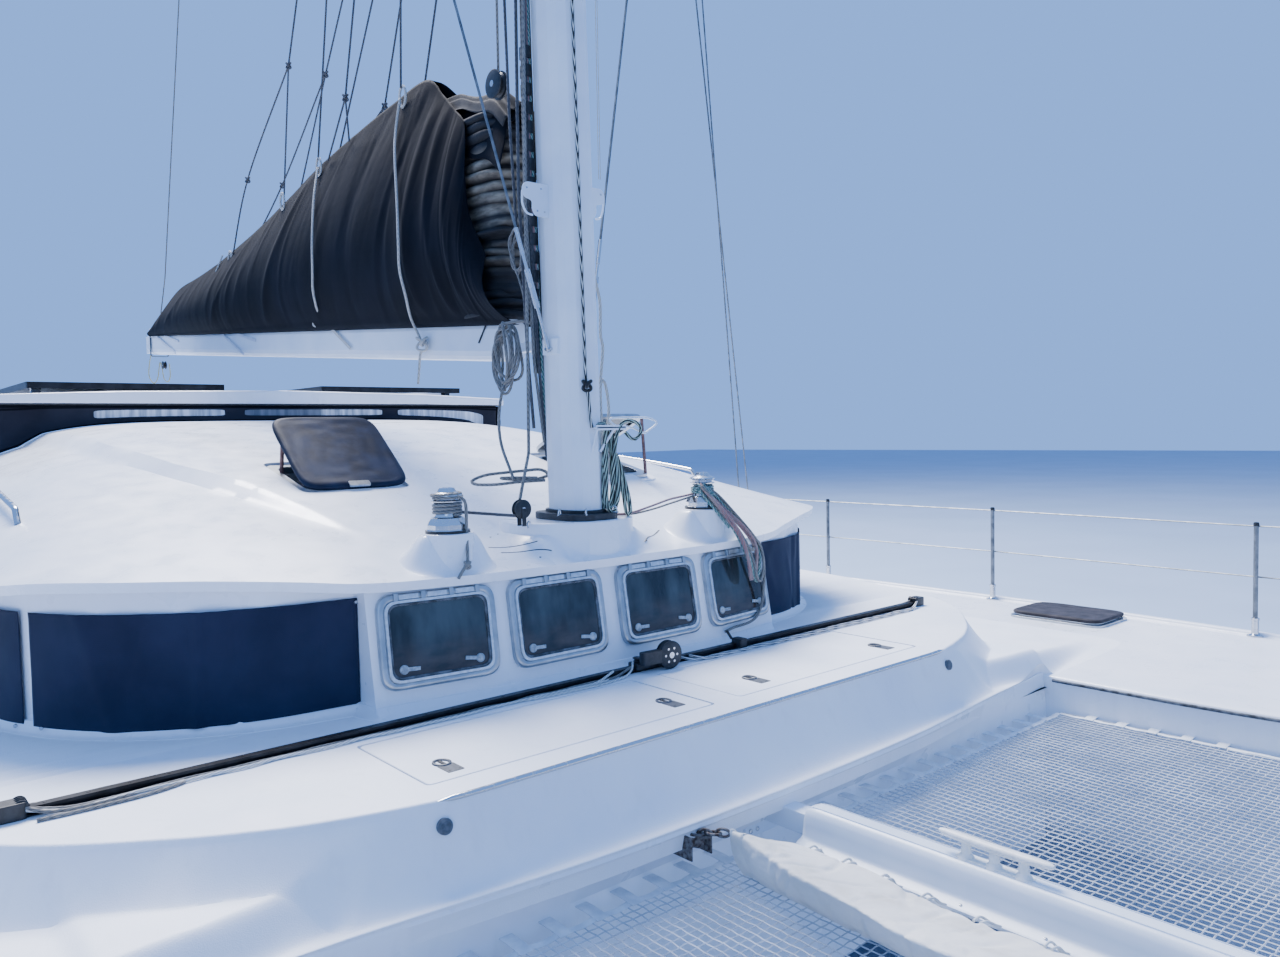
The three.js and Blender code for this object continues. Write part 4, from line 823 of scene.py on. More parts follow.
def hank(lead, loop, turns, spread, tail=(), seed=1):
    """A path: the lead's points, then `turns` times round the loop with each pass a little off the
    last by random steps of size `spread`, then the tail."""
    random = np.random.default_rng(seed)
    ring = closed_spline(loop, 64)
    t = np.linspace(0, turns, int(48 * turns))
    at = (t % 1) * 64
    i = at.astype(int)
    base = ring[i % 64] + (ring[(i + 1) % 64] - ring[i % 64]) * (at - i)[:, None]
    steps = random.normal(0, 1, (int(turns * 4) + 2, 3)) * spread
    wander = spline(steps, len(t))
    coil = base + wander
    before = spline([*lead, coil[0]], 40) if len(lead) else coil[:1]
    after = spline([coil[-1], *tail], 40) if len(tail) else coil[-1:]
    path = np.concatenate([before[:-1], coil, after[1:]])
    return np.stack([np.convolve(np.pad(path[:, k], 3, mode="edge"), np.ones(7) / 7, "valid")
                     for k in range(3)], axis=1)


def knot(centre, size, diameter):
    """A stopper knot: a short closed-up trefoil, x = sin t + 2 sin 2t, y = cos t - 2 cos 2t, z = -sin 3t."""
    t = np.linspace(0, 2 * np.pi, 60)
    k = size / 6.0
    path = np.stack([(np.sin(t) + 2 * np.sin(2 * t)) * k, -np.sin(3 * t) * k * 1.6,
                     (np.cos(t) - 2 * np.cos(2 * t)) * k], axis=1)
    shape, _, _ = rope_tube(path + centre, diameter / 2, 6)
    return shape


rope_lengths = {}

# %% [markdown]
# The halyards' spare lengths hang as hanks: a black and green one on the bracket in front of the
# mast, a grey one at the gooseneck, and a teal, a red and a grey one that are looped over the
# port winch and hang down over the window.

# %% Hanks and coils
WINCH_PLACE = (0.953, 0.655, 2.3433)
rope_red = make_rope("braid_red_grey", "#8A7577", "#A06A66", "#8E8A86", share=0.4)
rope_teal = make_rope("braid_teal_fleck", "#3F6F6C", "#A9BDB6", "#5F7672", share=0.3)

loop = [(0.985, 0.085, 2.735), (1.000, 0.062, 2.62), (1.004, 0.052, 2.50), (1.010, 0.045, 2.40),
        (1.010, 0.060, 2.372), (1.008, 0.088, 2.40), (1.004, 0.092, 2.50), (0.996, 0.104, 2.62)]
path = hank([(0.988, 0.015, 2.725)], loop, 3.5, 0.010,
            [(1.02, 0.10, 2.70), (1.03, 0.17, 2.745), (1.02, 0.24, 2.71), (1.01, 0.205, 2.66),
             (1.01, 0.15, 2.70)], seed=3)
free_rope("halyard_hank_green", None, 0.016, rope_green, body="root", shape_path=path)
loop = [(0.985, 0.112, 2.62), (0.990, 0.150, 2.52), (0.995, 0.186, 2.41), (0.997, 0.188, 2.345),
        (0.994, 0.160, 2.355), (0.992, 0.150, 2.42), (0.99, 0.122, 2.53)]
path = hank([(0.975, 0.080, 2.70)], loop, 1.4, 0.004, seed=8)
free_rope("halyard_loop_green", None, 0.016, rope_green, shape_path=path)

loop = [(0.585, -0.135, 3.170), (0.545, -0.150, 3.105), (0.530, -0.150, 3.010), (0.560, -0.150, 2.930),
        (0.600, -0.150, 2.900), (0.635, -0.148, 2.950), (0.655, -0.150, 3.040), (0.630, -0.140, 3.130)]
path = hank([(0.728, -0.050, 3.125), (0.68, -0.10, 3.17)], loop, 6.5, 0.020,
            [(0.60, -0.17, 2.90), (0.575, -0.18, 2.78), (0.60, -0.19, 2.66), (0.66, -0.19, 2.56),
             (0.69, -0.185, 2.50)], seed=5)
free_rope("halyard_coil_grey", None, 0.013, rope_grey, shape_path=path)
loop = [(0.69, -0.13, 3.55), (0.635, -0.14, 3.49), (0.63, -0.14, 3.41), (0.67, -0.14, 3.37),
        (0.715, -0.14, 3.42), (0.72, -0.14, 3.50)]
path = hank([(0.735, -0.066, 3.56)], loop, 3.2, 0.010, [(0.70, -0.13, 3.30), (0.70, -0.12, 3.24)], seed=6)
free_rope("reef_line_coil", None, 0.008, rope_grey, shape_path=path)

green_loop = [(0.99, 0.600, 2.455), (1.060, 0.640, 2.360), (1.085, 0.700, 2.275), (1.108, 0.765, 2.180),
              (1.112, 0.800, 2.06), (1.112, 0.822, 1.992), (1.112, 0.850, 2.04), (1.110, 0.868, 2.13),
              (1.100, 0.830, 2.205), (1.070, 0.760, 2.290), (1.035, 0.700, 2.365), (1.000, 0.650, 2.440)]
path = hank([(0.985, 0.690, 2.40)], green_loop, 2.2, 0.010, seed=11)
free_rope("winch_hank_teal", None, 0.013, rope_teal, shape_path=path)
red_loop = [(x + 0.004, y - 0.016, z + 0.004) for x, y, z in green_loop]
path = hank([(0.985, 0.685, 2.39)], red_loop, 1.8, 0.009, seed=12)
free_rope("winch_hank_red", None, 0.013, rope_red, shape_path=path)
grey_loop = [(x + 0.002, y + 0.012, z - 0.004) for x, y, z in green_loop]
path = hank([(0.99, 0.695, 2.40)], grey_loop, 1.3, 0.008,
            [(1.085, 0.87, 2.20), (1.10, 0.905, 2.09), (1.085, 0.905, 1.90), (1.10, 0.83, 1.822),
             (1.105, 0.70, 1.815), (1.11, 0.62, 1.80)], seed=13)
free_rope("winch_hank_grey", None, 0.013, rope_grey, shape_path=path)

free_rope("mast_foot_coil", [
    (0.738, -0.064, 2.50), (0.70, -0.17, 2.497), (0.62, -0.23, 2.487), (0.52, -0.265, 2.486),
    (0.478, -0.262, 2.500), (0.50, -0.21, 2.522), (0.56, -0.15, 2.532), (0.64, -0.10, 2.540),
    (0.715, -0.07, 2.545), (0.72, -0.035, 2.52), (0.66, -0.08, 2.500), (0.60, -0.15, 2.505),
    (0.61, -0.20, 2.512), (0.68, -0.17, 2.514), (0.735, -0.10, 2.512),
], 0.014, rope_grey)

# %% [markdown]
# On each halyard winch three turns run round the drum and two sit in the self-tailing jaws. The
# turns are a helix: x = r cos t, y = r sin t, z = rising by one rope's width a turn.

# %% Turns on the winches
def winch_turns(sign, diameter):
    """From the mast side on to the drum, three turns up it, over the arm and round in the jaws."""
    cx, cy, cz = WINCH_PLACE[0], sign * WINCH_PLACE[1], WINCH_PLACE[2]
    t = np.linspace(0, 2 * np.pi * 3.2, 150)
    drum = np.stack([cx + (0.044 + diameter / 2) * np.cos(t), cy + (0.044 + diameter / 2) * np.sin(t),
                     cz + 0.066 + diameter * 1.04 * t / (2 * np.pi)], axis=1)
    t2 = np.linspace(2 * np.pi * 3.2, 2 * np.pi * 5.5, 110)
    jaw_r = 0.052 + 0.004 * np.sin(t2 * 0.5)
    jaws = np.stack([cx + jaw_r * np.cos(t2), cy + jaw_r * np.sin(t2),
                     cz + 0.122 + diameter * 0.95 * (t2 - t2[0]) / (2 * np.pi) * 0.9], axis=1)
    return drum, jaws


drum, jaws = winch_turns(-1, 0.012)
tail = [(1.012, -0.640, 2.475), (1.022, -0.620, 2.455), (1.024, -0.618, 2.40), (1.026, -0.620, 2.345),
        (1.045, -0.630, 2.300), (1.062, -0.640, 2.262), (1.070, -0.645, 2.240)]
path = np.concatenate([drum, jaws, spline([jaws[-1], *tail], 50)[1:]])
starboard_knot = knot((1.070, -0.646, 2.234), 0.026, 0.012)
knot_piece = put("starboard_tail_knot", join([starboard_knot, rope_tube(spline(
    [(1.070, -0.650, 2.232), (1.076, -0.672, 2.212), (1.080, -0.690, 2.190)], 8), 0.006)[0]]), rope_grey,
    "black_plastic", smooth=60)
free_rope("starboard_winch_tail", None, 0.012, rope_grey, shape_path=path)
drum, jaws = winch_turns(1, 0.010)
path = np.concatenate([drum[20:], spline([drum[-1], (0.985, 0.60, 2.455), (1.02, 0.62, 2.43),
                                          (1.035, 0.66, 2.40)], 24)[1:]])
free_rope("port_winch_turns", None, 0.010, rope_teal, shape_path=path)
print("free ropes", rope_lengths)
# %% [markdown]
# ## Coachroof
# The roof is one moulding. Its crown rises aft as a quarter sine, and its edge turns down as
# 1 - v^5.3 of the half width. A shallow raised panel runs down the middle with a facet along it.
# A facet would look ragged on a plain grid, so the columns of the grid follow it: for each row,
# the place where the facet's line crosses is found first, and columns are shared out round it.

# %% The roof's surface
ROOF_AFT, ROOF_NOSE, ROOF_HALF = -2.3, 1.095, 2.13
VISOR_SHARE = [0, 0.25, 0.42, 0.49, 0.56, 0.68, 0.8, 0.89, 0.96, 1.0]
VISOR_X = [1.088, 1.080, 1.056, 1.028, 0.968, 0.863, 0.738, 0.556, 0.29, -0.15]
PANEL_TOP = [(-2.4, 1.40), (-1.095, 1.313), (-0.497, 1.186), (-0.104, 1.021), (0.347, 0.90), (0.72, 0.79),
             (1.1, 0.72)]
PANEL_FOOT = [(-2.4, 1.52), (-0.966, 1.377), (-0.428, 1.231), (-0.039, 1.085), (0.347, 0.955),
              (0.72, 0.835), (1.1, 0.76)]
PANEL_STEP = 0.040


def crown(x):
    """Height on the centre line: 2.19 + 0.61 sin of a quarter turn from the nose to the aft end."""
    return 2.19 + 0.61 * np.sin(np.pi / 2 * (ROOF_NOSE - x) / (ROOF_NOSE - ROOF_AFT))


def roof_height(x, y):
    """Crown less its fall to the sides, with the middle panel half a step up and the rest down."""
    v = np.abs(y) / ROOF_HALF
    base = 2.19 + (crown(x) - 2.19) * (1 - np.minimum(v, 1) ** 5.3)
    top = np.interp(x, *np.transpose(PANEL_TOP))
    foot = np.interp(x, *np.transpose(PANEL_FOOT))
    step = PANEL_STEP * ease((0.74 - x) / 0.9) * ease((x + 2.5) / 0.4 + 0.4)
    down = np.clip((np.abs(y) - top) / (foot - top), 0, 1)
    outside = ease((np.abs(y) - foot) / (1.95 - foot))
    return base + step * (0.35 - down) + 0.65 * step * outside


def roof_grid(rows, inner, facet, outer):
    """Points of the port half: rows go aft; columns go out to the facet, over it and to the edge."""
    fine = np.linspace(0, 1, 600)
    front = smooth_read(fine, VISOR_SHARE, VISOR_X)
    points = []
    for t in ease(np.linspace(0, 1, rows)) * 0.35 + np.linspace(0, 1, rows) * 0.65:
        x = front + (ROOF_AFT - front) * t
        y = fine * ROOF_HALF
        at_top = np.interp(0, y - np.interp(x, *np.transpose(PANEL_TOP)), fine)
        at_foot = np.interp(0, y - np.interp(x, *np.transpose(PANEL_FOOT)), fine)
        v = np.concatenate([
            np.linspace(0, at_top, inner, endpoint=False),
            np.linspace(at_top, at_foot, facet, endpoint=False),
            at_foot + (1 - at_foot) * np.linspace(0, 1, outer) ** 0.8,
        ])
        px = np.interp(v, fine, x)
        points.append(np.stack([px, v * ROOF_HALF, roof_height(px, v * ROOF_HALF)], axis=-1))
    return np.stack(points)


half = roof_grid(110, 44, 3, 46)
both = np.concatenate([half[:, :0:-1] * (1, -1, 1), half], axis=1)
roof = put("roof_moulding", sheet_of(both), gelcoat, "gelcoat", smooth=24, replaces="coachroof")
add_thickness(roof, 0.035)
HATCH = {"x": 0.105, "width": 0.48, "depth": 0.49, "slope": 13.3}
HATCH_PLACE = {1: (0.86, 2.492, True), -1: (0.60, 2.490, False)}  # across, height, hinged aft


def on_hatch_slope(shape, sign):
    """From the hatch's own frame, where the hinge is at x = 0 and the lid lies on the side of
    negative x, to the roof. The port hatch is hinged aft, so it is turned half round first."""
    across, height, aft = HATCH_PLACE[sign]
    if aft:
        shape = shift(rotate(shape, "z", 180), -HATCH["depth"], 0, 0)
    return on_side(shift(rotate(shape, "y", HATCH["slope"]), HATCH["x"], across, height), sign)


opening = slab((-HATCH["depth"] - 0.010, -HATCH["width"] / 2 - 0.010, -0.4),
               (0.010, HATCH["width"] / 2 + 0.010, 0.1), 0.05)
carve(roof, *[on_hatch_slope(opening, sign) for _, sign in SIDES])
add_bevel(roof, 0.012, 50)
roof.data.set_sharp_from_angle(angle=math.radians(24))
print("roof", both.shape[:2], "points,", triangles(roof), "triangles")

# %% [markdown]
# Under each halyard winch and under the mast the moulding rises into a seat with a flat top.
# Each is a surface in (r, angle): flat, over a small round edge, down a short wall, and out in a
# flare that is worked out above the roof's own height, so that it lands on the roof level with it.

# %% Seats for the winches and the mast
SEATS = [
    # centre, top, half length, half width, wall, reach
    ((0.80, 0.0), 2.343, 0.264, 0.288, 0.045, 0.44),
    ((0.953, 0.655), 2.343, 0.094, 0.094, 0.004, 0.185),
    ((0.953, -0.655), 2.343, 0.094, 0.094, 0.004, 0.185),
]


def flare_height(x, y, seat):
    """roof + rise (1-u)^2.6 beyond the rim (a bell (1-u)^2 (1+2u) under a winch), u from 0 at the
    rim to 1 at the reach."""
    centre, top, half_x, half_y, wall, reach = seat
    r = np.hypot((x - centre[0]) / half_x, (y - centre[1]) / half_y)
    u = np.clip((r - 1) / (reach / half_x - 1), 0, 1)
    roof_z = roof_height(x, y)
    edge = ease((smooth_read(np.abs(y) / ROOF_HALF, VISOR_SHARE, VISOR_X) - 0.012 - x) / 0.10)
    slope = (1 - u) ** 2.6 if half_x > 0.2 else (1 - u) ** 2 * (1 + 2 * u)
    return np.where(r < 1, top, roof_z + np.maximum(top - wall - roof_z, 0) * slope * edge)


def roof_top(x, y):
    """The height that a thing standing on the roof rests at, seats and all."""
    x, y = np.asarray(x, float), np.asarray(y, float)
    return np.max([flare_height(x, y, seat) for seat in SEATS], axis=0)


def roof_seat(seat, turns=128):
    """(r, a) surface: flat, over a small round edge, down the wall and out in the flare."""
    centre, top, half_x, half_y, wall, reach = seat
    a = np.linspace(0, 2 * np.pi, turns, endpoint=False)[None, :]
    bend = np.linspace(0, np.pi / 2, 6)
    share = np.concatenate([[0.02, 0.5, 0.9], 1 - 0.045 * (1 - np.sin(bend))])
    drop = np.concatenate([[0, 0, 0], min(0.008, wall) * (1 - np.cos(bend))])[:, None]
    x = centre[0] + half_x * share[:, None] * np.cos(a)
    y = centre[1] + half_y * share[:, None] * np.sin(a)
    rings = [np.stack([x, y, np.broadcast_to(top - drop, x.shape)], axis=-1)]
    u = np.linspace(0, 1, 26)[:, None]
    r = 1.0001 + u * (reach / half_x - 1)
    x = centre[0] + half_x * r * np.cos(a)
    y = centre[1] + half_y * r * np.sin(a)
    limit = smooth_read(np.abs(y) / ROOF_HALF, VISOR_SHARE, VISOR_X) - 0.012
    x = np.where(x > limit, limit, x)
    rings.append(np.stack([x, y, flare_height(x, y, seat) - 0.003 * u ** 8], axis=-1))
    points = np.concatenate(rings)
    n, m, _ = points.shape
    faces = [grid_faces(n, m, close_cols=True), np.arange(m)[None, ::-1]]
    return points.reshape(-1, 3), faces


put("roof_seats", join([roof_seat(seat) for seat in SEATS]), gelcoat, "gelcoat", smooth=40)
print("roof seats made")
# %% [markdown]
# ## On the roof
# The halyard winches are turned shapes, polished, with a faceted skirt at the foot and jaws at the
# top that grip the rope. The profile goes up the outside from the base to the handle's socket.

# %% Winches
SKIRT = [(0, 0), (0.078, 0), (0.0795, 0.004), (0.0795, 0.011), (0.0765, 0.014), (0.0765, 0.031),
         (0.0615, 0.055), (0.050, 0.0585), (0, 0.0585)]
DRUM = [(0, 0.058), (0.048, 0.058), (0.0455, 0.063), (0.0435, 0.072), (0.0435, 0.098), (0.046, 0.106),
        (0.0500, 0.110), (0.0560, 0.113), (0.0575, 0.116), (0.0535, 0.1185), (0.044, 0.121), (0.044, 0.129),
        (0.0535, 0.132), (0.0575, 0.135), (0.0565, 0.140), (0.045, 0.145), (0.034, 0.149), (0.031, 0.156),
        (0.027, 0.163), (0.018, 0.1645), (0.016, 0.158), (0, 0.158)]
for side, sign in SIDES:
    centre = (WINCH_PLACE[0], sign * WINCH_PLACE[1], WINCH_PLACE[2])
    skirt = rotate(lathe(SKIRT, 10, centre), "z", 8, centre)
    put(f"winch_{side}_skirt", skirt, stainless, "stainless", smooth=12, bevel=0.0012,
        replaces=f"winch_{side}")
    lip = lathe([(0.0770, 0.0004), (0.0815, 0.001), (0.0815, 0.010), (0.0770, 0.0105)], 40, centre)
    put(f"winch_{side}_foot_ring", lip, black_nylon, "black_plastic", smooth=30)
    put(f"winch_{side}_drum", lathe(DRUM, 48, centre), stainless, "stainless", smooth=32)
print("winches made")

# %% [markdown]
# Each roof hatch is a cast frame with an acrylic pane, propped open on its stay. The starboard one
# has a fitted cloth cover, a surface of rounded squares: flat on top with a little sag, over a
# soft edge, and turned in under the frame. Its corners follow |x|^n + |y|^n = 1.

# %% Roof hatches
OPEN = {"port": 37.0, "starboard": 24.5}
COVER_N = 7.0


def soft_square(half_x, half_y, sides, power):
    """A closed outline with |x/a|^n + |y/b|^n = 1, walked at even angles."""
    a = np.linspace(0, 2 * np.pi, sides, endpoint=False)
    c, s = np.cos(a), np.sin(a)
    r = (np.abs(c) ** power + np.abs(s) ** power) ** (-1 / power)
    return np.stack([half_x * r * c, half_y * r * s], axis=1)


def lid_cover(half_x, half_y, thick, edge, sag, power=COVER_N):
    """Rings in (share, angle): the middle first, out to the edge, round it and in underneath."""
    rows = []
    for share in np.linspace(0.04, 1, 16):
        outline = soft_square((half_x - edge) * share, (half_y - edge) * share, 96,
                              2 + (power - 2) * share ** 2)
        wave = 0.0016 * np.sin(7 * share * 3) * np.sin(np.linspace(0, 8 * np.pi, 96))
        rows.append(np.column_stack([outline, -sag * (1 - share ** 3) + wave * share]))
    for b in np.linspace(0, np.pi, 14)[1:]:
        grow = edge * np.sin(b)
        outline = soft_square(half_x - edge + grow, half_y - edge + grow, 96, power)
        rows.append(at_height(outline, -thick / 2 * (1 - np.cos(b))))
    for inset in (0.012, 0.030):
        outline = soft_square(half_x - edge - inset, half_y - edge - inset, 96, power)
        rows.append(at_height(outline, -thick + 0.0005))
    return dish(np.stack(rows))


def frame_ring(half_x, half_y, width, low, high, power=COVER_N):
    """A hollow frame: out, up, in and down, as four rings closed on themselves."""
    outer = soft_square(half_x, half_y, 72, power)
    inner = soft_square(half_x - width, half_y - width, 72, power)
    return hollow(np.stack([at_height(outline, z) for outline, z in (
        (outer, low), (outer, high), (inner, high), (inner, low))]))


middle_x = -HATCH["depth"] / 2
half_x, half_y = HATCH["depth"] / 2, HATCH["width"] / 2
for side, sign in SIDES:
    def on_lid(shape):
        return on_hatch_slope(rotate(shape, "y", OPEN[side]), sign)

    frame_shape = shift(frame_ring(half_x - 0.006, half_y - 0.006, 0.030, -0.0235, -0.004), middle_x, 0, 0)
    put(f"roof_hatch_{side}_frame", on_lid(frame_shape), anodised, "anodised", body=f"roof_hatch_{side}",
        smooth=35, bevel=0.001, replaces=f"roof_hatch_{side}")
    pane_shape = shift(slab((-half_x + 0.032, -half_y + 0.032, -0.014),
                            (half_x - 0.032, half_y - 0.032, -0.006), 0.04), middle_x, 0, 0)
    put(f"roof_hatch_{side}_pane", on_lid(pane_shape), smoked_acrylic, "tinted_glass",
        body=f"roof_hatch_{side}", smooth=35)
    if side == "starboard":
        cover_shape = shift(lid_cover(half_x + 0.008, half_y + 0.008, 0.030, 0.020, 0.004), middle_x, 0,
                            0.006)
        cover = put("roof_hatch_starboard_cover", on_lid(cover_shape), hatch_cloth, "canvas",
                    body="roof_hatch_starboard", smooth=180)
        add_thickness(cover, 0.0012)
        area_of(cover_shape)
    plate = slab((-0.020, -0.048, -0.002), (0.010, 0.048, 0.009), 0.006)
    put(f"roof_hatch_{side}_hinge_plate", on_lid(plate), stainless_satin, "stainless",
        body=f"roof_hatch_{side}", smooth=35, bevel=0.0015)
    coaming = shift(frame_ring(half_x + 0.012, half_y + 0.012, 0.046, -0.060, -0.028), middle_x, 0, 0)
    put(f"roof_hatch_{side}_coaming", on_hatch_slope(coaming, sign), anodised, "anodised", smooth=35,
        bevel=0.0015)
    flange = shift(frame_ring(half_x + 0.045, half_y + 0.045, 0.06, -0.075, -0.050, 9), middle_x, 0, 0)
    put(f"roof_hatch_{side}_flange", on_hatch_slope(flange, sign), deck_grip, "gelcoat", smooth=35,
        bevel=0.006)
    outer, lid_x, deck_x = (-0.222, -0.455, -0.472) if side == "port" else (0.205, -0.40, -0.36)
    lid_foot = on_lid((np.array([[lid_x, outer, -0.020]]), []))[0][0]
    deck_foot = on_hatch_slope((np.array([[deck_x, outer, -0.040]]), []), sign)[0][0]
    stay = rod(deck_foot, lid_foot, 0.009, 12)
    put(f"roof_hatch_{side}_stay", stay, weathered_red, "stainless", smooth=40,
        body=("root", f"roof_hatch_{side}", tuple(deck_foot), tuple(lid_foot)))
print("roof hatches made")

# %% [markdown]
# Slots round the mast's foot let the halyards through, and small screws stand beside them. Both are
# drawn as thin dark inlays about 1 mm proud of the moulding; on the slots the dark is painted shade
# standing for their openings. A handrail runs along each side of the roof.

# %% Slots, screws and handrails
SLOTS = [((0.855, -0.423), (0.957, -0.262)), ((0.918, -0.407), (1.013, -0.235)),
         ((0.869, 0.461), (1.020, 0.240))]
SCREWS = [(0.767, -0.358), (0.753, -0.313), (0.900, -0.353), (1.017, -0.293), (1.010, 0.260)]
marks = []
# Painted shade: each slot's opening is a dark strip laid on the roof instead of a hole.
for (x0, y0), (x1, y1) in SLOTS:
    run = np.linspace(0, 1, 30)
    x, y = x0 + (x1 - x0) * run, y0 + (y1 - y0) * run
    marks.append(sweep(np.column_stack([x, y, roof_top(x, y) - 0.0012]), rectangle(0.0034, 0.0018)))
for x, y in SCREWS:
    marks.append(lathe([(0, -0.004), (0.0045, -0.004), (0.0045, 0.0008), (0, 0.0012)], 12,
                       (x, y, float(roof_top(x, y)))))
put("roof_slots_and_screws", join(marks), black_nylon, "black_plastic", smooth=30)

handrail_parts = []
for _, sign in SIDES:
    xs = np.linspace(-1.75, -0.262, 60)
    side_y = 1.815
    low = roof_height(xs, np.full(60, side_y))
    lift = 0.052 * ease((xs + 1.75) / 0.06) * ease((-0.262 - xs) / 0.06)
    path = np.column_stack([xs, np.full(60, side_y), low - 0.004 + lift])
    handrail_parts.append(on_side(tube(even(path, 0.012), 0.0125, 12), sign))
    for x in (-1.26, -0.75):
        z = float(roof_height(np.array([x]), np.array([side_y]))[0])
        handrail_parts.append(on_side(rod((x, side_y, z - 0.004), (x, side_y, z + 0.045), 0.010, 12), sign))
put("roof_handrails", join(handrail_parts), stainless, "stainless", smooth=40)
print("handrails made")
# %% [markdown]
# ## Screen and hardtop
# A band of charcoal canvas closes the gap between the roof and the hardtop. It follows the roof
# below and hangs from a track above. Long windows of clear vinyl are sewn into it; vinyl ripples
# where it is stretched, which is most of what the eye sees of it.

# %% Canvas screen
SCREEN_X, SCREEN_TOP, SCREEN_HALF = -2.3025, 2.914, 1.64
VINYL = [(-1.128, -0.387), (-0.262, 0.690), (0.813, 1.520)]
VINYL_LOW, VINYL_HIGH = 0.34, 0.74


def screen_face(y, share, out=0.0):
    """A point at y across, a share of the way up: leans 2 cm, bellies 6 mm, and carries small waves."""
    low = roof_height(np.full_like(y, SCREEN_X), y) + 0.004
    z = low + (SCREEN_TOP - low) * share
    wave = 0.0025 * np.sin(9.0 * y + 3 * share) * np.sin(np.pi * share) + 0.0012 * np.sin(31 * y + 5 * share)
    x = SCREEN_X + 0.0002 - 0.006 * np.sin(np.pi * share) * 0.5 + np.minimum(wave, 0.0) + out
    return np.stack([x, y, z], axis=-1)


rows, cols = 24, 260
y, share = np.meshgrid(np.linspace(-SCREEN_HALF, SCREEN_HALF, cols), np.linspace(0, 1, rows))
screen_shape = sheet_of(screen_face(y, share))
screen = put("screen_canvas", screen_shape, screen_canvas, "canvas", smooth=180, replaces="windscreen")
add_thickness(screen, 0.0015)
area_of(screen_shape)
windows = []
for y0, y1 in VINYL:
    middle = np.array([(y0 + y1) / 2, (VINYL_LOW + VINYL_HIGH) / 2])
    rings = []
    for share_in in np.linspace(0.03, 1, 12):
        outline = middle + soft_square((y1 - y0) / 2, (VINYL_HIGH - VINYL_LOW) / 2, 120, 9) * share_in
        across, high = outline.T
        ripple = 0.0010 * np.sin(38 * across + 2 * np.sin(9 * across)) * (1 - share_in ** 6)
        rings.append(screen_face(across, high, 0.0040 + ripple))
    windows.append(dish(np.stack(rings)))
put("screen_vinyl_windows", join(windows), clear_vinyl, "tinted_glass", smooth=180)
seam_lines = []
for share_at, wide in ((0.04, 0.010), (0.90, 0.012), (0.97, 0.016)):
    y_line = np.linspace(-SCREEN_HALF, SCREEN_HALF, 200)
    path = screen_face(y_line, np.full(200, share_at), 0.0012)
    seam_lines.append(sweep(path, rectangle(0.0012, wide / 2), (0, 0, 1)))
put("screen_hems", join(seam_lines), black_canvas, "canvas", smooth=30)
print("screen made, vinyl windows", len(VINYL))

# %% [markdown]
# At each side the screen turns the corner with a round roll of cloth, and a side curtain runs
# aft from there, slack along its foot.

# %% Side curtains
for side, sign in SIDES:
    corner_z = np.linspace(float(roof_height(np.array([-2.31]), np.array([1.66]))[0]) + 0.01,
                           SCREEN_TOP - 0.002, 30)
    path = np.column_stack([np.full(30, -2.322), np.full(30, 1.668), corner_z])
    roll = tube(path, 0.020, 20, scale=1 + 0.06 * np.sin(np.linspace(0, 14, 30)))
    put(f"screen_corner_{side}", on_side(roll, sign), black_canvas, "canvas", smooth=60)
    u, v = np.meshgrid(np.linspace(0, 1, 60), np.linspace(0, 1, 24))
    x = -2.335 - 0.22 * u
    y = 1.700 + 0.043 * np.sin(np.pi / 2 * np.minimum(u * 2.2, 1))
    low = 2.585 + 0.02 * np.sin(5 * u)
    z = low + (SCREEN_TOP - low) * v
    y = y - 0.004 + 0.004 * np.sin(12 * u + 3 * v) * (1 - v)
    shape = sheet_of(np.stack([x, y, z], axis=-1))
    curtain = put(f"side_curtain_{side}", on_side(shape, sign), black_canvas, "canvas", smooth=180)
    add_thickness(curtain, 0.0015)
    area_of(shape)

# %% [markdown]
# The solar panels keep their solids, which carry the cells. A frame of anodised angle goes round
# each, and a black piping runs along the hardtop's front edge where the screen's track is.

# %% Panel frames and the screen's track
PANEL = {"aft": -4.15, "front": -2.48, "inner": 0.33, "outer": 1.43}
panel_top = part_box("solar_panel_port")[1][2]
mid = ((PANEL["aft"] + PANEL["front"]) / 2, (PANEL["inner"] + PANEL["outer"]) / 2)
outline = rectangle((PANEL["front"] - PANEL["aft"]) / 2 + 0.0015,
                    (PANEL["outer"] - PANEL["inner"]) / 2 + 0.0015)
outline = even(np.concatenate([outline, outline[:1]]), 0.02)[:-1]
for side, sign in SIDES:
    angle = [(-0.0012, -0.018), (0.0012, -0.018), (0.0012, 0.0195), (-0.012, 0.0195), (-0.012, 0.0172),
             (-0.0012, 0.0172)]
    round_panel = sweep(at_height(outline + mid, panel_top - 0.0165), angle, closed=True)
    put(f"solar_frame_{side}", on_side(round_panel, sign), black_anodised, "black_plastic")
track = np.column_stack([np.full(160, -2.285), np.linspace(-1.66, 1.66, 160), np.full(160, 2.9235)])
put("screen_track", sweep(track, circle(0.0105, 12)), black_nylon, "black_plastic", smooth=50)
print("hardtop dressed")
# %% [markdown]
# ## Raised foredeck
# In front of the coachroof a raised deck carries two lockers and the jib's track. A hollow face
# runs down from its edge: in front to a lip over the trampolines, and at the sides to a shelf
# that fades into the side deck. The skin is drawn in columns that start on the top edge and end
# on an outer line. In front the height falls along a column as 1 - sin, a quarter turn of a
# circle, so it lands level. At the sides it falls steeply to a shelf with a rounded front edge.

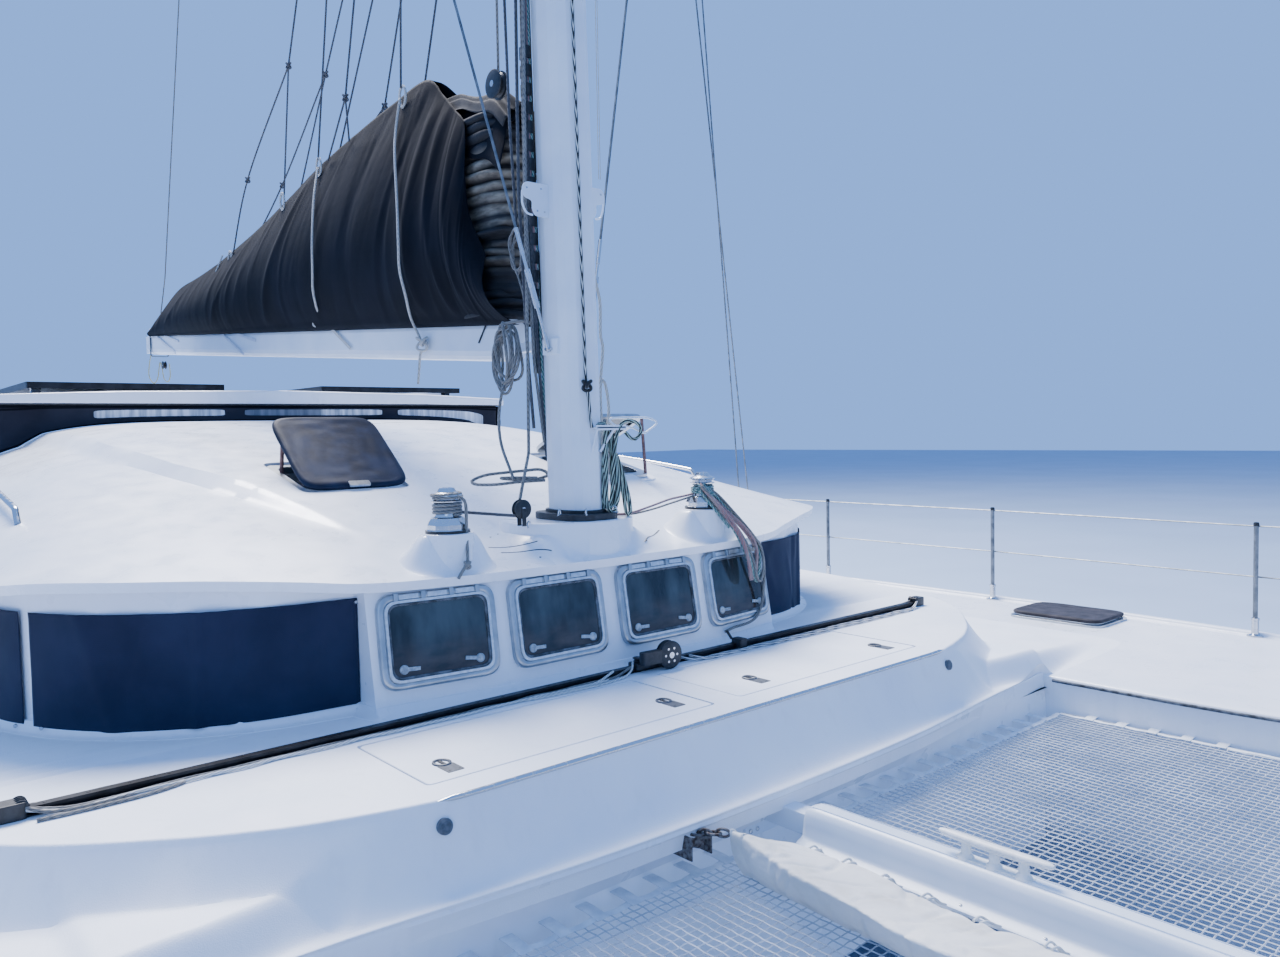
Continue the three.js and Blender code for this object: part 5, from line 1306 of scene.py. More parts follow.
# %% Raised foredeck
PLATFORM_TOP, DECK_Z = 1.745, 1.5
PLATFORM_EDGE = [
    # x and y on the top edge, x and y on the outer line
    (-1.50, 2.700, -1.50, 3.05), (-0.05, 2.620, -0.05, 3.05), (0.664, 2.450, 0.78, 3.03),
    (1.100, 2.290, 1.28, 3.02), (1.320, 2.140, 1.58, 3.01), (1.430, 2.035, 1.76, 3.00),
    (1.510, 1.935, 1.88, 2.90), (1.590, 1.820, 1.92, 2.40), (1.637, 1.750, 1.92, 2.08),
    (1.690, 1.655, 1.883, 1.98), (1.748, 1.530, 1.905, 1.79), (1.804, 1.355, 1.930, 1.52),
    (1.843, 1.200, 1.955, 1.260),
]
edge = spline(PLATFORM_EDGE, 190)
edge = np.concatenate([edge, spline([(1.850, 1.1, 1.970, 1.130), (1.850, 0.8, 2.000, 0.80),
                                     (1.850, 0.4, 2.016, 0.40), (1.850, 0.0, 2.022, 0.0)], 24)])
whole = np.concatenate([edge, (edge * (1, -1, 1, -1))[-2::-1]])
SHELF_FRONT = [(1.5, 1.790), (1.62, 1.800), (1.8, 1.825), (2.0, 1.825), (2.3, 1.780), (3.0, 1.660)]


def edge_ring(z, inset):
    """The top edge's outline drawn in by `inset`, at height z."""
    slope = np.gradient(whole[:, :2], axis=0)
    out = np.stack([-slope[:, 1], slope[:, 0]], axis=1) / np.linalg.norm(slope, axis=1, keepdims=True)
    return at_height(whole[:, :2] - out * inset, z)


def hollow_ring(share):
    """Points a share of the way out. The first 0.3 goes down to the foot: in front as 1 - sin of
    a quarter turn, at the sides nearly straight. The rest is the shelf, which ends in a step."""
    span = whole[:, 2:] - whole[:, :2]
    reach = np.linalg.norm(span, axis=1)
    at_side = ease((np.abs(whole[:, 1]) - 1.18) / 0.36)
    foot = np.minimum(0.110 + 0.140 * (1 - at_side), 0.88 * reach)
    out = foot * share / 0.3 if share <= 0.3 else foot + (reach - foot) * (share - 0.3) / 0.7
    x, y = (whole[:, :2] + span * (out / reach)[:, None]).T
    side = np.abs(y)
    step = 1 - ease((x - np.interp(side, *np.transpose(SHELF_FRONT))) / 0.10)
    shelf = 0.100 * (1 - ease((side - 1.80) / 1.20)) * step * at_side
    low = DECK_Z + 0.003 * (1 - share ** 9) + 0.018 * (1 - ease((side - 2.0) / 0.05)) + shelf
    down = min(share / 0.3, 1)
    fall = (1 - at_side) * (1 - math.sin(down * math.pi / 2)) + at_side * (1 - down) ** 1.25
    return np.column_stack([x, y, low + (PLATFORM_TOP - 0.012 - low) * fall])


rings = [edge_ring(PLATFORM_TOP - 0.012 + 0.012 * math.sin(b), 0.012 * (1 - math.cos(b)))
         for b in np.radians([90, 67, 45, 22])]
rings += [hollow_ring(share) for share in np.linspace(0, 1, 51)]
below = hollow_ring(1.0) - (0, 0, 0.0008)
rings[-1] = below
rings.append(below - (0.004, 0, 0.006))
rings.append(at_height(below[:, :2] - (0.02, 0), 1.44))
rings = np.stack(rings)[::-1]
n, m, _ = rings.shape
faces = [grid_faces(n, m, close_cols=True)]
strips = np.arange(m // 2)
for start in (0, (n - 1) * m):
    faces.append(np.stack([start + strips[:-1], start + strips[1:], start + m - 2 - strips[:-1],
                           start + m - 1 - strips[:-1]], axis=1))
platform = put("foredeck_platform", (rings.reshape(-1, 3), faces), deck_grip, "gelcoat",
               smooth=32, replaces="foredeck_plinth")
LOCKER = {"aft": 1.27, "front": 1.73, "inner": 0.06, "outer": 1.18, "thick": 0.024}


def locker_tool(grow, low, high, radius):
    return slab((LOCKER["aft"] - grow, LOCKER["inner"] - grow, low),
                (LOCKER["front"] + grow, LOCKER["outer"] + grow, high), radius)


saloon_outline = np.array([(-3.0, 2.0), (-0.4, 1.98), (0.12, 1.92), (0.38, 1.82), (0.58, 1.68), (0.75, 1.49),
                           (0.86, 1.25), (0.90, 0.95)])
saloon_outline = np.concatenate([saloon_outline, (saloon_outline * (1, -1))[::-1]])
saloon_hole = loft(np.stack([at_height(saloon_outline, z) for z in (1.3, 2.0)]))
ramp = np.array([(-1.6, 1.52), (-0.5, 1.7465), (-0.5, 1.9), (-1.6, 1.9)])
ramp_tool = loft(np.stack([np.column_stack([ramp[:, 0], np.full(4, y), ramp[:, 1]]) for y in (-3, 3)]))
tools = [saloon_hole, ramp_tool]
for _, sign in SIDES:
    tools.append(on_side(locker_tool(0.0, PLATFORM_TOP - 0.0245, 1.9, 0.02), sign))
    tools.append(on_side(locker_tool(-0.032, 1.2, 1.9, 0.02), sign))
carve(platform, *tools)
platform.data.set_sharp_from_angle(angle=math.radians(32))
print("foredeck platform", triangles(platform), "triangles")

# %% [markdown]
# Below the lip the front of the bridge deck leans back as it drops, and the trampolines are laced
# to it. It is part of the same moulding, so it has the same finish.

# %% Front of the bridge deck
across = np.concatenate([np.linspace(-1.999, -0.05, 60), np.linspace(0.05, 1.999, 60)])
lip = np.interp(np.abs(across), edge[::-1, 3], edge[::-1, 2])
rings = np.stack([np.stack([np.full_like(across, x) if x else lip - back, across,
                            np.full_like(across, z)], axis=-1)
                  for x, back, z in ((0.8, 0, 1.47), (0, 0.03, 1.50), (0, 0.004, 1.508), (0, 0.001, 1.498),
                                     (1.899, 0, 1.36), (1.8992, 0, 0.951), (0.8, 0, 0.951))], axis=1)
nacelle_front = put("bridgedeck_front", loft(rings), gelcoat, "gelcoat", smooth=35)
carve(nacelle_front, slab((0.0, -1.9, 0.97), (1.78, 1.9, 1.6), 0.0))
nacelle_front.data.set_sharp_from_angle(angle=math.radians(35))

# %% Locker lids
for side, sign in SIDES:
    low = (LOCKER["aft"] + 0.008, LOCKER["inner"] + 0.008, PLATFORM_TOP - LOCKER["thick"])
    high = (LOCKER["front"] - 0.008, LOCKER["outer"] - 0.008, PLATFORM_TOP)
    put(f"locker_lid_{side}_skin", on_side(slab(low, high, 0.018), sign), deck_grip, "gelcoat",
        body=f"locker_lid_{side}", bevel=0.004, replaces=f"locker_lid_{side}")
print("lids made")
# %% [markdown]
# ## Walls and portlights
# The saloon's front wall is a shallow bay of three faces, leaning back a little. Its four opening
# portlights are made once, standing at the origin and facing forward, and then turned on to the
# bay. A portlight is a set of rings: each is a rounded rectangle at its own depth.

# %% Placing things on the bay
BAY = {"front": 1.076, "flat": 0.505, "corner": 1.018, "half": 1.005, "z": 1.992, "rake": 0.17}
LIGHTS = {"port_outboard": 0.758, "port_inboard": 0.260, "starboard_inboard": -0.260,
          "starboard_outboard": -0.758}
LIGHT_Z = 1.990


def on_bay(shape, y, off=0.0003):
    """A shape made at the origin, facing +x, moved to the bay's face at y and `off` out of it."""
    fall = (BAY["front"] - BAY["corner"]) / (BAY["half"] - BAY["flat"])
    side = np.sign(y) if abs(y) > BAY["flat"] else 0.0
    out = np.array([1.0, side * fall, BAY["rake"]])
    sideways = np.array([-side * fall, 1.0, 0.0])
    out, sideways = out / np.linalg.norm(out), sideways / np.linalg.norm(sideways)
    drop = fall * (abs(y) - BAY["flat"]) if side else 0.0
    place = np.array([BAY["front"] - drop - (LIGHT_Z - BAY["z"]) * BAY["rake"], y, LIGHT_Z])
    axes = np.stack([out, sideways, np.cross(out, sideways)])
    return shape[0] @ axes + place + out * off, shape[1]


def ring_stack(table, steps=6):
    """Rounded rectangles from rows of half width, half height, corner radius, depth, joined into
    one closed frame: the last ring is joined back to the first."""
    return hollow(np.stack([at_x(rounded(rectangle(wide, high), radius, steps), x)
                            for wide, high, radius, x in table]))


def pane(wide, high, radius, low, top, steps=6):
    outline = rounded(rectangle(wide, high), radius, steps)
    return loft(np.stack([at_x(outline, x) for x in (low, top)]))


# %% Portlights
FRAME_RINGS = [
    # half width, half height, corner radius, depth
    (0.2210, 0.1650, 0.062, 0.0), (0.2210, 0.1650, 0.062, 0.0150), (0.2196, 0.1636, 0.061, 0.0195),
    (0.2160, 0.1600, 0.058, 0.0225), (0.1995, 0.1435, 0.046, 0.0235), (0.1975, 0.1415, 0.045, 0.0215),
    (0.1975, 0.1415, 0.045, 0.0),
]
RIM_RINGS = [
    (0.1972, 0.1412, 0.045, 0.006), (0.1972, 0.1412, 0.045, 0.0255), (0.1958, 0.1398, 0.044, 0.0285),
    (0.1870, 0.1310, 0.040, 0.0285), (0.1856, 0.1296, 0.039, 0.0262), (0.1856, 0.1296, 0.039, 0.006),
]
GASKET_RINGS = [
    (0.1854, 0.1294, 0.039, 0.006), (0.1854, 0.1294, 0.039, 0.0232), (0.1840, 0.1280, 0.038, 0.0246),
    (0.1785, 0.1225, 0.035, 0.0240), (0.1772, 0.1212, 0.034, 0.0225), (0.1772, 0.1212, 0.034, 0.006),
]
frame_rings, rim_rings, gasket_rings = [ring_stack(t) for t in (FRAME_RINGS, RIM_RINGS, GASKET_RINGS)]
hinge_plates = join([slab((0.0236, y - 0.036, 0.143), (0.0262, y + 0.036, 0.159), 0.002)
                     for y in (-0.105, 0.0, 0.105)])
hinge_knuckles = join([slab((0.020, y - 0.008, 0.139), (0.0325, y + 0.008, 0.165), 0.003)
                       for y in (-0.152, -0.0525, 0.0525, 0.152)])


def latch(y, swing):
    """A round boss on the pane with a lever that points inward from it."""
    boss = lathe([(0.016, 0.0), (0.016, 0.005), (0.012, 0.008), (0.004, 0.009)], 20, (0.0186, y, -0.096), "x")
    lever = slab((0.0190, -0.007, -0.0065), (0.0245, 0.058, 0.0065), 0.004)
    lever = rotate(lever, "x", swing)
    return boss, shift(lever, 0.0, y, -0.096)


left_boss, left_lever = latch(-0.142, -2.0)
right_boss, right_lever = latch(0.142, 172.0)
for name, y in LIGHTS.items():
    put(f"portlight_frame_{name}", on_bay(join([frame_rings, hinge_knuckles]), y), anodised, "anodised",
        smooth=50, replaces=f"portlight_{name}")
pane_shape = pane(0.1770, 0.1210, 0.034, 0.007, 0.0186)
for name, shape, finish, slot, smooth, bevel in (
        ("panes", pane_shape, cabin_pane, "tinted_glass", 40, 0),
        ("rims", rim_rings, stainless_satin, "stainless", 50, 0),
        ("gaskets", gasket_rings, sealant, "black_plastic", 50, 0),
        ("hinges", hinge_plates, stainless_satin, "stainless", 30, 0.0008),
        ("latches", join([left_boss, right_boss]), grey_nylon, "black_plastic", 40, 0),
        ("levers", join([left_lever, right_lever]), grey_nylon, "black_plastic", 30, 0.002)):
    put(f"portlight_{name}", join([on_bay(shape, y) for y in LIGHTS.values()]), finish, slot,
        smooth=smooth, bevel=bevel)
print("portlights", len(LIGHTS))

# %% [markdown]
# The wall's foot is rounded out into the deck, as a moulding is, so that it lets go of its mould.

# %% Foot of the wall
WALL = [(-2.30, 2.065), (-0.40, 2.035), (0.12, 1.975), (0.40, 1.875), (0.60, 1.735), (0.77, 1.540),
        (0.88, 1.300), (0.930, 1.020)]
wall_line = spline(WALL, 90)
foot_x = BAY["z"] - PLATFORM_TOP
foot_line = np.concatenate([
    wall_line[wall_line[:, 0] > -0.5],
    [(0.935, 1.012), (0.99, 1.008), (BAY["corner"] + foot_x * BAY["rake"] - 0.004, 1.000)],
    [(BAY["front"] + foot_x * BAY["rake"], 0.505), (BAY["front"] + foot_x * BAY["rake"], 0.0)],
])
foot_line = np.concatenate([foot_line, (foot_line * (1, -1))[-2::-1]])
foot_path = np.column_stack([foot_line, np.full(len(foot_line), PLATFORM_TOP)])
fillet = [(0.006, -0.004), (-0.038, -0.004), (-0.036, 0.002), (-0.018, 0.006), (-0.006, 0.018),
          (-0.001, 0.036), (0.006, 0.038)]
put("wall_foot", sweep(foot_path, fillet), gelcoat, "gelcoat", smooth=50)

# %% [markdown]
# ## Window covers
# The side windows have fitted covers of navy acrylic canvas held by press studs. The cloth is
# sewn flat and pulled round a curved wall, so it stands off a few millimetres between its studs
# and slack runs down from the top edge where the wall turns. It is a single layer on a path.

# %% Canvas over the side windows
def cover_sheet(path, low, high, folds, rows=56, seed=1.0, corner=0.0):
    """Rows go up the wall. out(s, t) = stand-off + belly s(1-s)t(1-t) + slack folds; `corner`
    cuts the lower forward corner off at 45 degrees."""
    s = np.linspace(0, 1, len(path))[None, :]
    t = np.linspace(0, 1, rows)[:, None]
    slope = np.gradient(path, axis=0)
    out = np.stack([-slope[:, 1], slope[:, 0]], axis=1) / np.linalg.norm(slope, axis=1, keepdims=True)
    run = np.concatenate([[0], np.cumsum(np.linalg.norm(np.diff(path, axis=0), axis=1))])[None, :]
    off = 0.0035 + 0.020 * s * (1 - s) * t * (1 - t)
    for at, width, depth, lean, top in folds:
        across = (run - at - lean * (1 - t)) / width
        fade = ease((t - top) / 0.25) if top >= 0 else ease((-top - t) / 0.25)
        off = off + depth * np.exp(-across ** 2) * fade
    off = off + 0.0009 * np.sin(run * 23 + 3 * t + seed) * np.sin(t * 7 + seed) * 4 * t * (1 - t)
    off = off + 0.0012 * np.exp(-((1 - t) / 0.045) ** 2) + 0.0012 * np.exp(-(t / 0.045) ** 2)
    z_low = np.interp(run[0], *low)
    z_high = np.interp(run[0], *high)
    if corner:
        z_low = z_low + np.maximum(corner - (run[0, -1] - run[0]), 0)
    z = z_low[None] + (z_high - z_low)[None] * t
    points = np.stack([path[None, :, 0] + out[None, :, 0] * off, path[None, :, 1] + out[None, :, 1] * off, z],
                      axis=-1)
    return sheet_of(points), run[0, -1]


dense = even(wall_line, 0.008)
GAP = (0.335, 0.375)
front_path = np.concatenate([dense[dense[:, 0] >= GAP[1]], [(0.936, 1.006)]])
aft_path = dense[(dense[:, 0] >= -0.34) & (dense[:, 0] <= GAP[0])]
COVER_TOP = 2.146
for side, sign in SIDES:
    front_sheet, front_run = cover_sheet(
        front_path, ([0, 0.45, 1.2], [1.753, 1.767, 1.780]), ([0, 1.2], [COVER_TOP, COVER_TOP]),
        [(0.60, 0.022, 0.011, -0.02, -1.2), (0.655, 0.030, 0.007, 0.03, 0.55),
         (0.70, 0.02, -0.004, 0.0, -1.2), (0.92, 0.05, 0.004, 0.25, -1.2), (0.30, 0.06, 0.003, 0.0, 0.8),
         (0.20, 0.030, 0.004, 0.12, -1.2), (0.42, 0.025, -0.004, -0.10, 0.3),
         (0.80, 0.022, 0.004, -0.12, -0.9), (1.02, 0.030, 0.004, -0.16, 0.2)],
        corner=0.008)
    aft_sheet, aft_run = cover_sheet(
        aft_path, ([0, 0.8], [1.745, 1.750]), ([0, 0.8], [COVER_TOP, COVER_TOP]),
        [(0.12, 0.03, 0.004, 0.05, -1.2), (0.45, 0.05, 0.003, 0.0, 0.5)], seed=4.0)
    for label, sheet_shape, run in (("front", front_sheet, front_run), ("aft", aft_sheet, aft_run)):
        cover = put(f"window_cover_{label}_{side}", on_side(sheet_shape, sign), navy_canvas, "canvas",
                    smooth=180, replaces=f"window_cover_{side}" if label == "front" else ())
        add_thickness(cover, 0.0012, 0.0)
STUD = [(0, 0.004), (0.0045, 0.004), (0.0065, 0.0015), (0.0065, -0.004), (0, -0.004)]
STUD_PLACES = [(0.9105, 1.010, 1.783), (0.940, 1.012, 2.132), (0.43, 1.877, 1.768), (0.31, 1.932, 1.762)]
stud = rotate(lathe(STUD, 16, (0, 0, 0)), "y", 82)
studs = join([shift(stud, *place) for place in STUD_PLACES])
put("window_cover_studs", both_sides(studs), stainless, "stainless", smooth=40)
print("covers, lengths", round(front_run, 2), round(aft_run, 2))
# %% [markdown]
# ## Hulls
# Each hull is a skin over sections. A section is a polygon whose corners are rounded by parabolas:
# the toe rail at the deck's edge, the topsides, the bilge, and the shoulder that carries the
# bridge deck. Each corner's place along the boat is read from a table with a monotone cubic, so
# the sheer is fair and the stem stays fine.

# %% Hull sections
STATIONS = np.array([
    # x, keel depth, half beam at the water, centre, outer edge, inner edge, deck height
    (-6.95, 0.130, 0.500, 2.960, 3.540, 2.330, 1.450), (-6.00, 0.285, 0.570, 2.990, 3.640, 2.120, 1.480),
    (-4.70, 0.420, 0.620, 3.000, 3.710, 2.000, 1.500), (-2.50, 0.560, 0.650, 3.010, 3.750, 2.000, 1.500),
    (0.95, 0.600, 0.630, 3.010, 3.750, 2.000, 1.500), (2.40, 0.590, 0.570, 2.990, 3.640, 2.000, 1.500),
    (3.60, 0.560, 0.480, 2.970, 3.550, 2.090, 1.512), (4.90, 0.490, 0.350, 2.960, 3.410, 2.360, 1.530),
    (6.13, 0.330, 0.180, 2.960, 3.220, 2.700, 1.550), (6.75, 0.170, 0.060, 2.960, 3.050, 2.870, 1.562),
    (6.95, 0.060, 0.014, 2.960, 2.985, 2.935, 1.566),
])


def hull_line(x, column):
    return smooth_read(x, STATIONS[:, 0], STATIONS[:, column])


def hull_sections(x):
    """Corner polygons at each x: toe rail, topsides, half an ellipse below the water, shoulder."""
    depth, half, centre, outer, inner, deck = [hull_line(x, k) for k in range(1, 7)]
    rail = np.minimum(0.045, (outer - inner) * 0.2)
    bilge = np.linspace(0, np.pi, 15)[1:-1]
    corners = [
        (inner + 0.012, deck), (outer - rail - 0.022, deck), (outer - rail - 0.012, deck + 0.021),
        (outer - 0.014, deck + 0.021), (outer, deck - 0.05),
        (centre + half + (outer - centre - half) * 0.86, np.full_like(x, 0.70)),
        (centre + half, np.zeros_like(x)),
    ]
    radii = [0.03, 0.012, 0.008, 0.012, 0.03, 0.30, 0.2]
    corners += [(centre + half * np.cos(b), -depth * np.sin(b)) for b in bilge]
    radii += [0.02] * len(bilge)
    corners += [(centre - half, np.zeros_like(x)),
                (np.minimum(centre - half * 1.08, inner + 0.33), np.full_like(x, 0.56)),
                (inner, np.full_like(x, 0.74)), (inner, deck - 0.02)]
    radii += [0.2, 0.25, 0.12, 0.03]
    polygon = np.stack([np.stack([x, y, z], axis=1) for y, z in corners], axis=1)
    return rounded(polygon, np.array(radii), 4)


stations = np.concatenate([np.linspace(-6.95, 5.5, 110), np.linspace(5.5, 6.95, 26)[1:]])
hull_shape = loft(hull_sections(stations))
stern = np.array([(-5.35, 1.6), (-5.35, 1.21), (-5.75, 1.21), (-5.75, 0.92), (-6.13, 0.92), (-6.13, 0.63),
                  (-6.48, 0.63), (-6.48, 0.36), (-7.0, 0.36), (-7.0, 1.6)])
sheer = np.array([(-5.25, 1.54), (-6.96, 0.64), (-7.0, 0.64), (-7.0, 1.7), (-5.25, 1.7)])


def side_tool(outline, y0, y1):
    return loft(np.stack([np.column_stack([outline[:, 0], np.full(len(outline), y), outline[:, 1]])
                          for y in (y0, y1)]))


DECK_HATCH = {"aft": 1.08, "front": 1.62, "y": 3.4, "half": 0.2}
hatch_well = slab((DECK_HATCH["aft"] + 0.038, DECK_HATCH["y"] - 0.162, 1.1),
                  (DECK_HATCH["front"] - 0.038, DECK_HATCH["y"] + 0.162, 1.6), 0.03)
stock_hole = lathe([(0.031, -0.7), (0.031, -0.09)], 24, (-5.85, 2.99, 0.0))
for side, sign in SIDES:
    hull = put(f"hull_{side}_skin", on_side(hull_shape, sign), hull_gelcoat, "gelcoat", smooth=38,
               replaces=f"hull_{side}")
    cuts = [side_tool(stern, 2.42, 3.45), side_tool(sheer, 1.5, 4.0), hatch_well, stock_hole]
    carve(hull, *[on_side(tool, sign) for tool in cuts])
    hull.data.set_sharp_from_angle(angle=math.radians(38))
    add_bevel(hull, 0.006, 50)
print("hull", triangles(hull), "triangles")
# %% [markdown]
# ## Deck fittings
# The jib's sheet track crosses the foredeck behind the lockers. It is a T of black anodised
# aluminium on a base, with stop blocks at its ends and a car in the middle. Thin control lines
# lie along it.

# %% Jib track
TRACK = {"x": 1.19, "port": 2.02, "starboard": -2.09, "foot": PLATFORM_TOP + 0.0006}
RAIL_TOP = 0.0245
t_section = np.array([(-0.016, 0), (0.016, 0), (0.016, 0.004), (0.0055, 0.006), (0.0055, 0.014),
                      (0.015, 0.016), (0.015, RAIL_TOP), (-0.015, RAIL_TOP), (-0.015, 0.016),
                      (-0.0055, 0.014), (-0.0055, 0.006), (-0.016, 0.004)])
line = np.column_stack([np.full(60, TRACK["x"]),
                        np.linspace(TRACK["starboard"] + 0.03, TRACK["port"] - 0.03, 60),
                        np.full(60, TRACK["foot"])])
track_parts = [sweep(line, t_section)]
for y in np.arange(TRACK["starboard"] + 0.1, TRACK["port"], 0.1):
    track_parts.append(lathe([(0, 0.0), (0.0055, 0.0), (0.0055, 0.0008), (0, 0.0012)], 12,
                             (TRACK["x"], y, TRACK["foot"] + RAIL_TOP)))
put("jib_track_rail", join(track_parts), black_anodised, "black_plastic", smooth=30, replaces="jib_track")


def sheave_block(centre, radius, thick, axis):
    """Two cheeks with rounded rims, a grooved sheave between them and a bright pin through."""
    cheek = [(0, 0), (radius * 0.86, 0), (radius, thick * 0.08), (radius, thick * 0.16),
             (radius * 0.8, thick * 0.22), (0, thick * 0.22)]
    wheel = [(0, thick * 0.24), (radius * 0.88, thick * 0.26), (radius * 0.66, thick * 0.5),
             (radius * 0.88, thick * 0.74), (0, thick * 0.76)]
    other = [(r, thick - h) for r, h in cheek][::-1]
    place = {"x": (centre[0] - thick / 2, centre[1], centre[2]),
             "y": (centre[0], centre[1] - thick / 2, centre[2]),
             "z": (centre[0], centre[1], centre[2] - thick / 2)}[axis]
    black = join([lathe(cheek, 36, place, axis), lathe(other, 36, place, axis),
                  lathe(wheel, 36, place, axis)])
    pin = lathe([(0, -0.003), (radius * 0.22, -0.003), (radius * 0.22, thick + 0.003), (0, thick + 0.003)],
                16, place, axis)
    return black, pin


blocks, pins, cars = [], [], []
for end, sign in ((TRACK["port"], 1), (TRACK["starboard"], -1)):
    base = slab((-0.029, -0.038, 0.0), (0.029, 0.038, 0.044), 0.014)
    cars.append(shift(base, TRACK["x"], end - sign * 0.020, TRACK["foot"]))
    for dx in (-0.014, 0.014):
        block, pin = sheave_block((TRACK["x"] + dx, end - sign * 0.045, TRACK["foot"] + 0.030), 0.019,
                                  0.020, "x")
        blocks.append(block)
        pins.append(pin)
cars.append(shift(slab((-0.031, -0.105, 0.010), (0.031, 0.075, 0.036), 0.012), TRACK["x"], 0.12,
                  TRACK["foot"]))
cars.append(shift(slab((-0.012, -0.030, 0.034), (0.040, 0.030, 0.066), 0.010), TRACK["x"], 0.14,
                  TRACK["foot"]))
cars.append(shift(slab((-0.030, -0.022, 0.004), (0.030, 0.022, 0.044), 0.008), TRACK["x"] + 0.012, 0.62,
                  TRACK["foot"]))
cars.append(rod((1.178, 0.598, 1.785), (1.165, 0.580, 1.823), 0.006, 12))
for y in (0.045, 0.205):
    block, pin = sheave_block((TRACK["x"] + 0.004, y, TRACK["foot"] + 0.046), 0.024, 0.020, "z")
    blocks.append(block)
    pins.append(pin)
# The sheet's block lies over on the lid in front of the car, its sheave pierced with holes.
SHEET_BLOCK = (1.2485, 0.158, 1.8035)
drum, pin = sheave_block((0, 0, 0), 0.056, 0.038, "x")
holes = join([lathe([(0, -0.001), (0.0048, -0.001), (0.0048, 0.0008), (0, 0.0008)], 10,
                    (0.0187, 0.029 * math.cos(a), 0.029 * math.sin(a)), "x")
              for a in np.arange(0, 2 * np.pi, np.pi / 3)])
arm = slab((-0.018, -0.140, -0.024), (0.018, -0.020, 0.026), 0.012)


def on_block(shape):
    return shift(rotate(shape, "z", -3), *SHEET_BLOCK)


blocks += [on_block(drum), on_block(arm)]
pins += [on_block(pin), on_block(holes)]
put("jib_track_cars", join(cars), black_nylon, "black_plastic", smooth=35, bevel=0.003)
put("jib_track_blocks", join(blocks), black_nylon, "black_plastic", smooth=35)
put("jib_track_pins", join(pins), stainless, "stainless", smooth=35)
LINE_Z = PLATFORM_TOP + 0.0065
random = np.random.default_rng(4)
for k, (dx, y0, y1, cloth) in enumerate(((0.030, -2.04, 0.00, rope_grey), (0.043, -2.05, -0.10, rope_white),
                                         (-0.024, -2.04, 1.97, rope_grey), (0.050, 0.25, 1.97, rope_fleck),
                                         (0.072, 0.30, 1.95, rope_fleck))):
    ys = np.linspace(y0, y1, 22)
    xs = TRACK["x"] + dx + random.normal(0, 0.004, 22)
    zs = np.full(22, LINE_Z)
    xs[0], xs[-1] = TRACK["x"] + 0.4 * dx, TRACK["x"] + 0.5 * dx
    zs[0], zs[-1] = LINE_Z + 0.018, LINE_Z + 0.022
    free_rope(f"track_line_{k}", np.column_stack([xs, ys, zs]), 0.010, cloth,
              sides=6)
free_rope("car_slack", [
    (1.200, 0.010, 1.790), (1.225, -0.02, 1.765), (1.246, -0.08, 1.752), (1.262, -0.20, 1.7505),
    (1.258, -0.32, 1.7505), (1.248, -0.46, 1.7505), (1.232, -0.52, 1.7505), (1.222, -0.46, 1.7505),
    (1.232, -0.34, 1.7505), (1.236, -0.22, 1.7505), (1.230, -0.14, 1.7505),
], 0.008, rope_white, sides=6)
bundle = [(1.21, -2.04, 1.775), (1.235, -1.98, 1.755), (1.24, -1.86, 1.7505), (1.215, -1.72, 1.7505),
          (1.232, -1.66, 1.7505), (1.262, -1.75, 1.7505), (1.268, -1.90, 1.7505), (1.262, -2.02, 1.7505)]
free_rope("track_end_slack", bundle, 0.010, rope_grey, sides=6)
print("jib track made")

# %% [markdown]
# The locker lids have flush latches: a plate with a round dish and a lifting ring. A half-round
# strip of stainless guards the platform's front edge, and drain fittings sit in its face.

# %% Latches, rub strips and drains
LATCHES = [(1.619, 1.060), (1.603, 0.275)]
for side, sign in SIDES:
    plates, pulls, dishes = [], [], []
    for x, y in LATCHES:
        y = y if sign > 0 or y > 0.5 else 0.170
        top = PLATFORM_TOP
        plates.append(shift(slab((-0.008, -0.0265, -0.006), (0.060, 0.0265, 0.0016), 0.004), x, y, top))
        a = np.linspace(0, 2 * np.pi, 40, endpoint=False)
        ring = np.column_stack([x - 0.026 + 0.0270 * np.cos(a), y + 0.0235 * np.sin(a),
                                np.full(40, top + 0.0012)])
        plates.append(sweep(ring, circle(0.0048, 8), closed=True))
        dishes.append(lathe([(0, -0.011), (0.015, -0.010), (0.0215, -0.003), (0.0235, 0.0006),
                             (0.0235, -0.010), (0, -0.012)], 32, (x - 0.026, y, top)))
        pulls.append(shift(slab((-0.044, -0.005, 0.0006), (-0.006, 0.005, 0.0034), 0.001), x, y, top))
        for dy in (-0.016, 0.016):
            pulls.append(lathe([(0, 0), (0.0035, 0), (0.0035, 0.0020), (0, 0.0026)], 12,
                               (x + 0.048, y + dy, top)))
    lid = f"locker_lid_{side}"
    for label, parts, finish, slot in (("plates", plates, slate_nylon, "black_plastic"),
                                       ("dishes", dishes, stainless_satin, "stainless"),
                                       ("pulls", pulls, black_nylon, "black_plastic")):
        put(f"{lid}_{label}", on_side(join(parts), sign), finish, slot, body=lid, smooth=35)
STRIP_HALF = 1.21
ys = np.linspace(-STRIP_HALF, STRIP_HALF, 60)
edge_x = np.interp(np.abs(ys), edge[::-1, 1], edge[::-1, 0])
path = np.column_stack([edge_x - 0.0035, ys, np.full(60, PLATFORM_TOP - 0.0035)])
taper = ease((ys + STRIP_HALF) / 0.015) * ease((STRIP_HALF - ys) / 0.015) * 0.9 + 0.1
put("platform_rub_strip", sweep(path, circle(0.0085, 14), scale=taper), stainless, "stainless", smooth=35)
DRAIN = [(0, 0.006), (0.0145, 0.006), (0.018, 0.0035), (0.0215, 0.0015), (0.0215, -0.01), (0, -0.01)]
